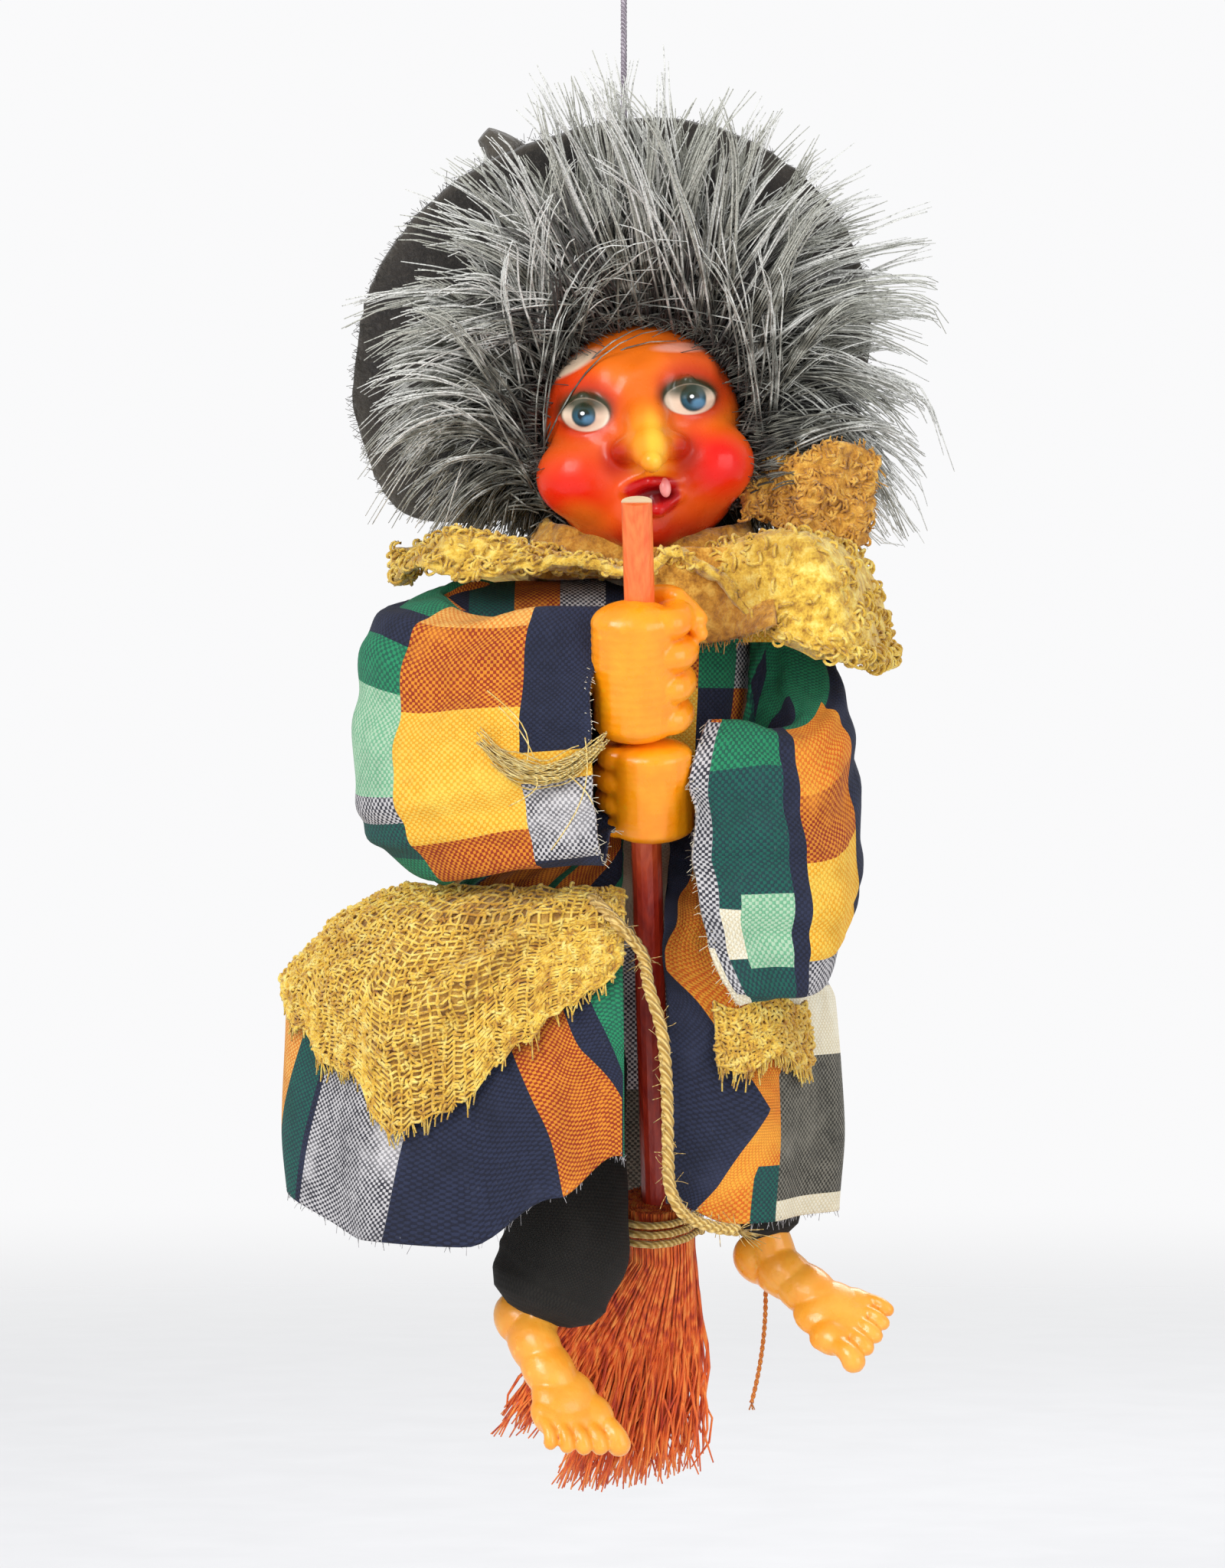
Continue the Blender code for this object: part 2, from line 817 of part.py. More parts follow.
def arm(side_name, material):
    """The padded arm, in the upper half of its sleeve, from shoulder to wrist."""
    right_end, left_end = shoulder_ends()
    out = -RIGHT if side_name == "right" else RIGHT
    sleeve_path = sleeve_rows(side_name, 0)
    start = Vector(sleeve_path[0][:3])
    route = [tuple(start), tuple(start + out * ARM_RADIUS)]
    for row in sleeve_path[1:4]:
        route.append((row[0], row[1], row[2] + row[5] * ARM_IN_SLEEVE_SHARE))
    _, wrist, direction = wrist_line(side_name)
    route.append(tuple(wrist + direction * ARM_RADIUS * 5 / 4))
    points = smooth_rows(route, 2)
    points.append(tuple(wrist + direction * GAP))
    rows = [(*p, ARM_RADIUS, ARM_RADIUS) for p in points]
    limb = place(f"{side_name}_arm", loft(rows, UP, 10), material)
    reach = RIGHT * GAP
    socket = bore(right_end - reach, left_end + reach, SHOULDER_WIRE_RADIUS + GAP, 10)
    cut(limb, cutter(f"{side_name}_shoulder_socket", socket))


SLEEVE_SHARES = {
    # centre from the shoulder and half sizes, as shares of the sleeve's reach:
    # outward, forward, down, half depth inside, half depth outside, half height
    "right": (
        (0.00, 0.00, 0.00, 0.16, 0.16, 0.16),
        (0.20, 0.02, 0.14, 0.15, 0.22, 0.30),
        (0.40, 0.16, 0.34, 0.15, 0.26, 0.44),
        (0.34, 0.42, 0.40, 0.16, 0.26, 0.48),
        (0.12, 0.60, 0.38, 0.20, 0.22, 0.46),
        (-0.12, 0.68, 0.36, 0.21, 0.21, 0.43),
    ),
    "left": (
        (0.00, 0.00, 0.00, 0.16, 0.16, 0.16),
        (0.14, 0.02, 0.18, 0.14, 0.18, 0.30),
        (0.22, 0.12, 0.54, 0.14, 0.24, 0.40),
        (0.16, 0.32, 0.78, 0.14, 0.24, 0.48),
        (-0.02, 0.46, 0.82, 0.18, 0.22, 0.49),
        (-0.16, 0.55, 0.82, 0.20, 0.21, 0.48),
    ),
}

# How far the cloth below a sleeve's middle leans outward and forward
SLEEVE_LEAN_SHARES = {"right": (0.00, 0.22), "left": (0.20, 0.42)}


def sleeve_rows(side_name, inset):
    right_end, left_end = shoulder_ends()
    sign = -1 if side_name == "right" else 1
    shoulder = right_end if side_name == "right" else left_end
    start = shoulder - RIGHT * sign * (SHOULDER_SOCKET - GAP * 5)
    rows = []
    table = SLEEVE_SHARES[side_name]
    for n, (out, forward, down, *halves) in enumerate(table):
        centre = start + Vector((sign * out, -forward, -down)) * SLEEVE_REACH
        if inset and n == 0:
            centre = centre + RIGHT * sign * SLEEVE_WALL
        rows.append((*centre, *(SLEEVE_REACH * half - inset for half in halves)))
    return rows


def sleeve(side_name, material):
    """A wide bell sleeve, open at the cuff, hanging from the arm."""
    count = 16
    outer = level_rings(side_name, smooth_rows(sleeve_rows(side_name, 0), 2), count)
    inner_rows = smooth_rows(sleeve_rows(side_name, SLEEVE_WALL), 2)
    inner = level_rings(side_name, inner_rows, count)
    bm = bmesh.new()
    outside = skin(bm, outer, True, False)
    inside = skin(bm, inner, True, False)
    for i in range(count):
        j = (i + 1) % count
        bm.faces.new((outside[-1][i], outside[-1][j], inside[-1][j], inside[-1][i]))
    cloth = place(f"{side_name}_sleeve", bm, material)
    right, left = shoulder_ends()
    hole = bore(right, left, ARM_RADIUS + GAP, 14)
    cut(cloth, cutter(f"{side_name}_armhole", hole))


def level_rings(side_name, rows, count):
    """Rings whose long side stays upright, so that cloth hangs from the arm."""
    centres = [Vector(row[:3]) for row in rows]
    sign = -1 if side_name == "right" else 1
    outward, forward = SLEEVE_LEAN_SHARES[side_name]
    lean = Vector((sign * outward, -forward, 0))
    rings = []
    for i, row in enumerate(rows):
        before = centres[max(i - 1, 0)]
        after = centres[min(i + 1, len(rows) - 1)]
        along = after - before
        along.z = 0
        inward = along.normalized().cross(UP) * sign
        ring = []
        for k in range(count):
            turn = math.tau * k / count
            fold = 1 + 0.05 * math.sin(turn * 5 + i * 0.5)
            rise = row[5] * math.sin(turn) * fold
            half = row[3] if math.cos(turn) > 0 else row[4]
            spot = centres[i] + inward * half * math.cos(turn) * fold + UP * rise
            ring.append(spot + lean * max(-rise, 0) * i / (len(rows) - 1))
        rings.append(ring)
    return rings


def fist_rings(centre, height, grip_sign, count=16):
    """A closed fist round the stick, its fingers ridged on one side."""
    side = RIGHT * grip_sign
    up = -STICK_DOWN
    u = (side - side.dot(up) * up).normalized()
    v = up.cross(u)
    stages = 9
    rings = []
    for n in range(stages + 1):
        level = n / stages
        end = min(level, 1 - level)
        round_off = math.sqrt(max(1 - (1 - min(end / 0.14, 1)) ** 2, 0.12))
        ridge = abs(math.sin(math.pi * 4 * level))
        ring = []
        for i in range(count):
            turn = math.tau * i / count
            c, s = math.cos(turn), math.sin(turn)
            across = math.copysign(abs(c) ** 0.62, c)
            deep = math.copysign(abs(s) ** 0.62, s)
            fingers = max(c, 0) * ridge * FINGER_RELIEF - max(c, 0) * FINGER_RELIEF
            point = (
                centre
                + up * height * (level - 0.5)
                + u * (FIST_HALF_WIDTH * across * round_off + fingers)
                + v * FIST_HALF_DEPTH * deep * round_off
            )
            ring.append(point)
        rings.append(ring)
    return rings


THUMB_SHARES = {
    # across the fist, towards the back, up, radius as a share of the fist's half width
    "right": (
        (-0.30, 0.95, 0.16, 0.26),
        (0.35, 1.05, 0.26, 0.28),
        (0.95, 0.62, 0.34, 0.27),
        (1.22, -0.05, 0.32, 0.20),
    ),
    "left": (
        (-0.60, 0.80, 0.02, 0.24),
        (-0.10, 1.02, 0.12, 0.27),
        (0.45, 1.00, 0.22, 0.26),
        (0.80, 0.72, 0.24, 0.18),
    ),
}


def hand(side_name, material):
    """A moulded fist with a thumb, a wrist and the stick's bore."""
    upper, lower = fist_centres()
    centre = upper if side_name == "right" else lower
    height = UPPER_FIST_HEIGHT if side_name == "right" else LOWER_FIST_HEIGHT
    grip = 1 if side_name == "right" else -1
    bm = bmesh.new()
    skin(bm, fist_rings(centre, height, grip))
    fist = place(f"{side_name}_hand", bm, material, centre)
    up = -STICK_DOWN
    side = RIGHT * grip
    back = Vector((0, 1, 0))
    thumb = []
    for across, deep, rise, size in THUMB_SHARES[side_name]:
        at = centre + side * FIST_HALF_WIDTH * across + back * FIST_HALF_DEPTH * deep
        at = at + up * height * rise
        thumb.append((*at, FIST_HALF_WIDTH * size, FIST_HALF_WIDTH * size))
    join(fist, cutter(f"{side_name}_thumb", loft(thumb, UP, 8)))
    inside, end, direction = wrist_line(side_name)
    wrist_rows = [
        (*inside, WRIST_RADIUS, WRIST_RADIUS),
        (*(end - direction * WRIST_LENGTH / 2), WRIST_RADIUS * 0.8, WRIST_RADIUS * 0.8),
        (*end, WRIST_RADIUS * 0.86, WRIST_RADIUS * 0.86),
    ]
    join(fist, cutter(f"{side_name}_wrist", loft(wrist_rows, UP, 10)))
    reach = STICK_DOWN * (height / 2 + OVERRUN)
    grip_bore = bore(centre - reach, centre + reach, STICK_RADIUS + GAP)
    cut(fist, cutter(f"{side_name}_grip", grip_bore))


# Collar

COLLAR_SHARES = (
    # degrees from the front, outer radius, rim height above the neck
    (-180, 0.62, -0.10),
    (-130, 0.80, 0.02),
    (-95, 1.08, 0.14),
    (-70, 1.00, 0.18),
    (-35, 0.66, 0.02),
    (0, 0.50, -0.04),
    (25, 0.62, -0.02),
    (50, 1.02, -0.30),
    (75, 1.08, -0.22),
    (110, 0.96, -0.02),
    (150, 0.72, -0.04),
    (180, 0.62, -0.10),
)


def collar_reading(degrees, column):
    table = [(row[0], row[column]) for row in COLLAR_SHARES]
    return share_between(table, degrees)


def collar(material):
    """The shawl round the neck: a thick ring with two wide flaps."""
    bm = bmesh.new()
    count = 38
    rings = []
    neck_level = CHIN_LEVEL - GAP * 9 / 2 - COLLAR_THICK / 2
    steps = ((0.0, 0.6), (0.35, 1.0), (0.72, 1.0), (1.0, 0.5))
    profile = [(r, t) for r, t in steps] + [(r, -t) for r, t in reversed(steps)]
    for share, thick in profile:
        ring = []
        for i in range(count):
            degrees = -180 + 360 * i / count
            turn = math.radians(degrees)
            outer = COLLAR_RADIUS * collar_reading(degrees, 1)
            rise = COLLAR_RADIUS * collar_reading(degrees, 2)
            ruffle = COLLAR_THICK * 0.35 * math.sin(turn * 9) * share
            radius = COLLAR_HOLE + (outer - COLLAR_HOLE) * share
            level = neck_level + rise * share * share + ruffle + thick * COLLAR_THICK / 2
            ring.append(
                Vector((HEAD_SIDE + radius * math.sin(turn), -radius * math.cos(turn), level))
            )
        rings.append(ring)
    rows = skin(bm, rings, False, False)
    for i in range(count):
        j = (i + 1) % count
        bm.faces.new((rows[-1][i], rows[-1][j], rows[0][j], rows[0][i]))
    place("collar", bm, material)


# Skirt and what lies on it

SKIRT_PROFILE_SHARES = (
    # down, width, depth
    (0.00, 0.00, 0.00),
    (0.10, 0.26, 0.20),
    (0.17, 0.42, 0.30),
    (0.27, 0.76, 0.68),
    (0.45, 0.98, 0.94),
    (0.75, 1.00, 1.00),
    (1.00, 0.95, 1.02),
)

SKIRT_HEM_SHARES = (
    # degrees from the front, length of the skirt there
    (-180, 0.96),
    (-110, 0.92),
    (-86, 0.90),
    (-42, 1.01),
    (-20, 1.02),
    (0, 0.90),
    (12, 0.80),
    (26, 0.92),
    (40, 0.97),
    (75, 0.96),
    (180, 0.96),
)


# How far the left sleeve presses the skirt in
SKIRT_TUCK_SHARE = 0.20


def skirt_point(degrees, down, out=0.0):
    """A place on the skirt by its angle from the front and share down."""
    turn = math.radians(degrees)
    fold = SKIRT_FOLD * math.sin(turn * 9 + 0.7) * down
    middle, half_width, half_depth = skirt_ring(down)
    tuck = SKIRT_TUCK_SHARE * math.exp(-(((degrees - 52) / 30) ** 2))
    tuck *= math.exp(-(((down - 0.22) / 0.16) ** 2))
    half_width -= half_width * tuck
    half_depth -= half_depth * tuck
    return Vector(
        (
            middle + (half_width + fold + out) * math.sin(turn),
            -(half_depth + fold + out) * math.cos(turn),
            SKIRT_WAIST - SKIRT_LENGTH * down,
        )
    )


def skirt_ring(down):
    """The skirt's middle, half width and half depth at a share of its length."""
    waist_width, waist_depth = waist_halves()
    wide = share_between([row[:2] for row in SKIRT_PROFILE_SHARES], down)
    deep = share_between([(row[0], row[2]) for row in SKIRT_PROFILE_SHARES], down)
    middle = BODY_SIDE + (SKIRT_SIDE - BODY_SIDE) * share_between(((0, 0), (0.4, 1)), down)
    half_width = waist_width + (SKIRT_HALF_WIDTH - waist_width) * wide
    return middle, half_width, waist_depth + (SKIRT_HALF_DEPTH - waist_depth) * deep


def waist_halves():
    """The half sizes of the skirt's waist, just outside the jacket."""
    rows = body_rows(GAP * 4 + JACKET_WALL + SKIRT_CLOTH / 2)
    nearest = min(rows, key=lambda row: abs(row[2] - SKIRT_WAIST))
    return nearest[3], nearest[4]


def fill_grid(bm, columns, rows, locate):
    grid = [
        [bm.verts.new(locate(c / columns, r / rows)) for c in range(columns + 1)]
        for r in range(rows + 1)
    ]
    for r in range(rows):
        for c in range(columns):
            bm.faces.new((grid[r][c], grid[r][c + 1], grid[r + 1][c + 1], grid[r + 1][c]))


def sheet(name, material, columns, rows, locate, thick):
    """A thin closed sheet: a grid of places, given a thickness."""
    bm = bmesh.new()
    fill_grid(bm, columns, rows, locate)
    cloth = place(name, bm, material)
    solid = cloth.modifiers.new("thickness", "SOLIDIFY")
    solid.thickness = thick
    solid.offset = 0
    return cloth


def slit_degrees(down):
    """The slit's two edges as angles, so that it keeps its width down the skirt."""
    middle, half_width, _ = skirt_ring(down)
    centre = (STICK_TOP.x + STICK_FOOT.x) / 2 - middle
    low = math.degrees(math.asin((centre - SKIRT_SLIT / 2) / half_width))
    high = math.degrees(math.asin((centre + SKIRT_SLIT / 2) / half_width))
    return low, high


SKIRT_COLUMNS = 38
SKIRT_ROWS = 7


def skirt_cloth_point(across, down):
    """A place on the skirt's middle surface, from slit edge to slit edge."""
    low, high = slit_degrees(down)
    degrees = high + (360 + low - high) * across
    degrees = degrees if degrees <= 180 else degrees - 360
    hem = share_between(SKIRT_HEM_SHARES, degrees)
    return skirt_point(degrees, down * hem)


def skirt(material):
    """The gathered skirt, one cloth with a slit at the front."""
    sheet("skirt", material, SKIRT_COLUMNS, SKIRT_ROWS, skirt_cloth_point, SKIRT_CLOTH)


def skirt_surface():
    """The skirt's middle surface, to lay other cloth on."""
    bm = bmesh.new()
    fill_grid(bm, SKIRT_COLUMNS, SKIRT_ROWS, skirt_cloth_point)
    surface = BVHTree.FromBMesh(bm)
    bm.free()
    return surface


def lay_on_skirt(surface, degrees, down, out):
    """A place outside the skirt's own facets, at a distance from them."""
    near, normal, _, _ = surface.find_nearest(skirt_point(degrees, down))
    turn = math.radians(degrees)
    outward = Vector((math.sin(turn), -math.cos(turn), 0))
    normal = normal if normal.dot(outward) > 0 else -normal
    return near + (normal + outward).normalized() * out


APRON_EDGE_SHARES = (
    # across from the slit to the side, lower edge as a share of the skirt
    (0.00, 0.30),
    (0.22, 0.42),
    (0.45, 0.60),
    (0.62, 0.72),
    (0.72, 0.54),
    (1.00, 0.34),
)


APRON_TURN = 84


def apron(material):
    """The burlap apron, over the skirt's right front, ragged below."""
    surface = skirt_surface()

    def locate(across, down):
        low, _ = slit_degrees(0.1)
        degrees = low - (APRON_TURN + low) * across
        top = 0.19
        foot = share_between(APRON_EDGE_SHARES, across)
        foot += 0.02 * math.sin(across * 40) * down
        share = top + (foot - top) * down
        out = (SKIRT_CLOTH + BURLAP) / 2 + GAP * 4
        out += SKIRT_FOLD / 2 * abs(math.sin(across * 9)) * down + BURLAP * (1 - down)
        return lay_on_skirt(surface, degrees, share, out)

    sheet("apron", material, 20, 6, locate, BURLAP)


def hip_patch(material):
    """The second piece of burlap, on the skirt's left front."""
    surface = skirt_surface()

    def locate(across, down):
        degrees = 34 + 34 * across
        share = 0.45 + 0.17 * down + 0.02 * math.sin(across * 9)
        return lay_on_skirt(surface, degrees, share, (SKIRT_CLOTH + BURLAP) / 2 + GAP * 4)

    sheet("hip_patch", material, 7, 4, locate, BURLAP)


FRONT_CORD_SHARES = (
    # across the slit from edge to edge, down the skirt, out in cord radii
    (-0.60, 0.19, 5.4),
    (-0.20, 0.25, 4.6),
    (0.30, 0.32, 3.2),
    (0.45, 0.40, 2.6),
    (0.70, 0.50, 2.4),
    (0.80, 0.60, 2.4),
    (0.84, 0.70, 2.4),
    (0.86, 0.80, 2.4),
    (0.92, 0.88, 2.4),
    (1.20, 0.94, 2.8),
    (1.70, 0.97, 3.2),
    (2.20, 0.98, 3.4),
)


def front_cord(material):
    """The jute cord from the waist to the hem beside the slit."""
    points = []
    for across, down, out in FRONT_CORD_SHARES:
        low, high = slit_degrees(down)
        degrees = low + (high - low) * across
        points.append(tuple(skirt_point(degrees, down, CORD_RADIUS * out)))
    cord_curve("front_cord", points, CORD_RADIUS, material)


# Legs and feet


def hips():
    right = Vector((BODY_SIDE - HIP_REACH_RIGHT, 0, HIP_LEVEL))
    left = Vector((BODY_SIDE + HIP_REACH_LEFT, 0, HIP_LEVEL))
    return right, left


LEG_SHARES = {
    # side, forward and down as shares of the leg's length, then the half width
    # as a share of the hem's radius
    "right": (
        (0.000, 0.00, 0.00, 0.62),
        (-0.010, 0.05, 0.28, 0.74),
        (-0.030, 0.11, 0.56, 0.88),
        (-0.045, 0.15, 0.86, 1.00),
        (-0.095, 0.16, 1.00, 0.96),
    ),
    "left": (
        (0.000, 0.00, 0.00, 1.05),
        (0.030, 0.02, 0.28, 1.14),
        (0.075, 0.04, 0.56, 1.10),
        (0.130, 0.06, 0.84, 1.04),
        (0.165, 0.06, 1.00, 0.98),
    ),
}


def leg_sizes(side_name):
    right, left = hips()
    if side_name == "right":
        return right, RIGHT_LEG_LENGTH, RIGHT_HEM_RADIUS
    return left, LEFT_LEG_LENGTH, LEFT_HEM_RADIUS


def leg_rows(side_name):
    hip, length, hem = leg_sizes(side_name)
    rows = []
    for side, forward, down, wide in LEG_SHARES[side_name]:
        centre = hip + Vector((side, -forward, -down)) * length
        rows.append((*centre, hem * wide, hem * wide * 0.9))
    return rows


def leg(side_name, material):
    """A stuffed leg with a round top on the hip wire and a foot's bore."""
    hip, _, _ = leg_sizes(side_name)
    rows = leg_rows(side_name)
    dome = []
    for degrees in (75, 50, 25):
        angle = math.radians(degrees)
        size = HIP_BALL_RADIUS * math.cos(angle)
        top = hip + UP * HIP_BALL_RADIUS * math.sin(angle)
        dome.append((*top, size, size))
    first = rows[0]
    rows[0] = (*first[:3], HIP_BALL_RADIUS, HIP_BALL_RADIUS)
    limb = place(f"{side_name}_leg", loft(dome + rows, RIGHT, 12), material, hip)
    right, left = hip_ends()
    reach = RIGHT * OVERRUN
    hip_bore = bore(right - reach, left + reach, HIP_WIRE_RADIUS + GAP, 10)
    cut(limb, cutter(f"{side_name}_hip_bore", hip_bore))
    start, down = stem_line(side_name)
    depth = down * (STEM_LENGTH + GAP)
    stem_bore = bore(start - depth, start + down * OVERRUN, STEM_RADIUS + GAP)
    cut(limb, cutter(f"{side_name}_stem_bore", stem_bore))


def stem_line(side_name):
    """Where the foot's stem leaves the leg, and the stem's direction."""
    rows = leg_rows(side_name)
    end = Vector(rows[-1][:3])
    down = (end - Vector(rows[-2][:3])).normalized()
    return end, down


FOOT_POSE = {
    # heel to toes, and the upper side of the foot
    "right": (Vector((0.455, -0.455, -0.767)), Vector((0.343, -0.705, 0.622))),
    "left": (Vector((0.70, -0.55, -0.46)), Vector((-0.05, -0.72, 0.70))),
}

FOOT_SHARES = (
    # along, half width, half height, lift
    (0.00, 0.22, 0.30, 0.05),
    (0.04, 0.40, 0.66, 0.04),
    (0.16, 0.52, 0.98, 0.06),
    (0.34, 0.54, 1.00, 0.10),
    (0.52, 0.66, 0.80, 0.04),
    (0.70, 0.90, 0.60, 0.00),
    (0.82, 0.96, 0.46, 0.00),
    (0.90, 0.78, 0.30, 0.00),
)

TOE_SHARES = (
    # across, how far it reaches past the ball, radius as a share of the half width
    (-0.80, 0.04, 0.130),
    (-0.44, 0.07, 0.140),
    (-0.08, 0.10, 0.150),
    (0.28, 0.12, 0.155),
    (0.70, 0.13, 0.220),
)


def foot_frame(side_name):
    """The heel's place and the foot's directions along, to the big toe and up."""
    along, upper = FOOT_POSE[side_name]
    along = along.normalized()
    upper = (upper - upper.dot(along) * along).normalized()
    inner = along.cross(upper) if side_name == "left" else upper.cross(along)
    end, down = stem_line(side_name)
    heel = end + down * ANKLE_DROP - along * FOOT_LENGTH * 0.26
    return heel, along, inner, upper


def foot(side_name, material):
    """A moulded bare foot with five toes and the stem in the leg."""
    heel, along, inner, upper = foot_frame(side_name)
    rows = []
    for share, wide, high, lift in FOOT_SHARES:
        centre = heel + along * FOOT_LENGTH * share + upper * FOOT_HALF_HEIGHT * lift
        rows.append((*centre, FOOT_HALF_WIDTH * wide, FOOT_HALF_HEIGHT * high))
    start, down = stem_line(side_name)
    piece = place(f"{side_name}_foot", loft(rows, inner, 12), material, start)
    for n, (side, reach, size) in enumerate(TOE_SHARES):
        root = heel + inner * FOOT_HALF_WIDTH * side - upper * FOOT_HALF_HEIGHT * 0.13
        thick = FOOT_HALF_WIDTH * size
        toe_rows = []
        for step, swell in ((-0.20, 0.90), (-0.02, 1.0), (0.05, 0.95), (0.09, 0.5)):
            at = root + along * FOOT_LENGTH * (0.80 + reach + step)
            toe_rows.append((*at, thick * swell, thick * swell))
        join(piece, cutter(f"{side_name}_toe_{n + 1}", loft(toe_rows, inner, 6)))
    stem_rows = []
    for step, radius in (
        (-STEM_LENGTH, STEM_RADIUS),
        (GAP, STEM_RADIUS),
        (ANKLE_DROP / 2, ANKLE_RADIUS),
        (ANKLE_DROP, ANKLE_RADIUS),
    ):
        stem_rows.append((*(start + down * step), radius, radius))
    join(piece, cutter(f"{side_name}_stem", loft(stem_rows, inner, 10)))


def foot_thread(material):
    """The loose thread that hangs from the left foot's heel."""
    heel, along, _, upper = foot_frame("left")
    sole = FOOT_HALF_HEIGHT + THREAD_RADIUS / 3
    x, y, z = heel + along * FOOT_LENGTH * 0.16 - upper * sole
    points = []
    for i in range(12):
        share = i / 11
        bow = math.sin(math.pi * share) * THREAD_RADIUS * 3
        lean = THREAD_RADIUS * 6 * share
        points.append((x - lean, y + bow, z - THREAD_LENGTH * share))
    cord_curve("foot_thread", points, THREAD_RADIUS, material)


# Broom


def broomstick(material):
    end = STICK_FOOT + STICK_DOWN * STICK_IN_BRISTLES
    stick = place("broomstick", rod(STICK_TOP, end, STICK_RADIUS, 16), material, STICK_TOP)
    return stick


def bundle_frame():
    side = (RIGHT - RIGHT.dot(STICK_DOWN) * STICK_DOWN).normalized()
    return side, STICK_DOWN.cross(side)


def broom_bristles(material):
    """Splayed fibres, each a thin tapered strand fused to the bound slice."""
    side, back = bundle_frame()
    rng = random.Random(5)
    top = STICK_FOOT
    slice_rows = [
        (*(top + STICK_DOWN * BUNDLE_SLICE * share), BUNDLE_RADIUS * size, BUNDLE_RADIUS * size)
        for share, size in ((0.0, 0.90), (0.15, 1.0), (1.0, 1.0))
    ]
    body_of_fibre = bmesh.new()
    plain_tube(body_of_fibre, loft_rings(slice_rows, side, 18))
    bundle = place("broom_bristles", body_of_fibre, material, top)
    strands = bmesh.new()
    golden = math.pi * (3 - math.sqrt(5))
    for n in range(BRISTLE_COUNT):
        radius = math.sqrt((n + 0.5) / BRISTLE_COUNT) * 0.87
        turn = n * golden
        u, v = radius * math.cos(turn), radius * math.sin(turn)
        start = top + STICK_DOWN * BUNDLE_SLICE * 0.84
        start = start + (side * u + back * v) * BUNDLE_RADIUS
        target = FAN_CENTRE + RIGHT * FAN_HALF_WIDTH * u + UP.cross(RIGHT) * FAN_HALF_DEPTH * v
        reach = 1 - 0.10 * rng.random() - 0.30 * max(-u, 0) ** 2 - 0.10 * max(u, 0) ** 2
        end = start + (target - start) * reach
        rows = [
            (*start, BRISTLE_RADIUS, BRISTLE_RADIUS),
            (*end, BRISTLE_RADIUS * 0.7, BRISTLE_RADIUS * 0.7),
        ]
        plain_tube(strands, loft_rings(rows, side, 3))
    join(bundle, cutter("strands", strands))
    bore_end = top + STICK_DOWN * (STICK_IN_BRISTLES + GAP)
    stick_bore = bore(top - STICK_DOWN * OVERRUN, bore_end, STICK_RADIUS + GAP)
    cut(bundle, cutter("stick_bore", stick_bore))


def plain_tube(bm, rings):
    """A tube whose ends are single faces."""
    rows = [[bm.verts.new(p) for p in ring] for ring in rings]
    count = len(rows[0])
    for low, high in zip(rows, rows[1:]):
        for i in range(count):
            j = (i + 1) % count
            bm.faces.new((low[i], low[j], high[j], high[i]))
    bm.faces.new(rows[0][::-1])
    bm.faces.new(rows[-1])


def broom_binding(material):
    """The cord wound round the bundle's neck, one unbroken tube."""
    side, back = bundle_frame()
    per_turn = 15
    pitch = BINDING_RADIUS * 2 + BINDING_GAP
    wound = (BUNDLE_RADIUS + GAP + BINDING_RADIUS) / math.cos(math.pi / per_turn)
    points = []
    for i in range(BINDING_TURNS * per_turn + 1):
        turn = math.tau * i / per_turn
        drop = BUNDLE_SLICE * 0.12 + pitch * i / per_turn
        out = (side * math.cos(turn) + back * math.sin(turn)) * wound
        points.append(tuple(STICK_FOOT + STICK_DOWN * drop + out))
    cord_curve("broom_binding", points, BINDING_RADIUS, material)
    least = least_self_gap([Vector(p) for p in points], BINDING_RADIUS, per_turn // 2)
    print("broom_binding: least gap to itself", round(least * 1000, 3), "mm")


def least_self_gap(points, radius, skip):
    """The least distance between a tube's own turns, surface to surface."""
    fine = [a.lerp(b, k / 6) for a, b in zip(points, points[1:]) for k in range(6)]
    far = skip * 6
    return min(
        (fine[i] - fine[j]).length - radius * 2
        for i in range(len(fine))
        for j in range(i + far, len(fine))
    )


def main():
    clear_scene()
    string = make_material("string", (0.42, 0.36, 0.40), 0.9)
    skin_paint = make_material("painted_face", (0.85, 0.16, 0.03), 0.28)
    hair = make_material("hair", (0.24, 0.25, 0.26), 0.7)
    felt = make_material("felt", (0.035, 0.027, 0.022), 0.95)
    burlap = make_material("burlap", (0.72, 0.50, 0.13), 0.95)
    wood = make_material("peg_wood", (0.62, 0.45, 0.27), 0.7)
    plaid = make_material("plaid", (0.10, 0.22, 0.24), 0.9)
    stuffing = make_material("body_cloth", (0.70, 0.62, 0.48), 0.9)
    black = make_material("black_cloth", (0.012, 0.012, 0.014), 0.9)
    plastic = make_material("orange_plastic", (0.95, 0.42, 0.02), 0.3)
    stick = make_material("painted_stick", (0.80, 0.16, 0.05), 0.45)
    fibre = make_material("bristle_fibre", (0.78, 0.17, 0.04), 0.7)
    jute = make_material("jute", (0.75, 0.52, 0.20), 0.9)
    steel = make_material("wire", (0.6, 0.6, 0.6), 0.35, 1.0)

    hanging_loop(string)
    head_shell(skin_paint)
    wig(hair)
    hat_brim(felt)
    hanging_string(string, hat_crown(felt))
    scarf_end(burlap)
    neck_peg(wood)
    body(stuffing)
    jacket(plaid)
    shoulder_wire(steel)
    hip_wire(steel)
    collar(burlap)
    for side_name in ("right", "left"):
        arm(side_name, stuffing)
        sleeve(side_name, plaid)
        hand(side_name, plastic)
        leg(side_name, black)
        foot(side_name, plastic)
    skirt(plaid)
    apron(burlap)
    hip_patch(burlap)
    front_cord(jute)
    foot_thread(jute)
    broomstick(stick)
    broom_bristles(fibre)
    broom_binding(jute)


main()
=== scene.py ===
import math
import random

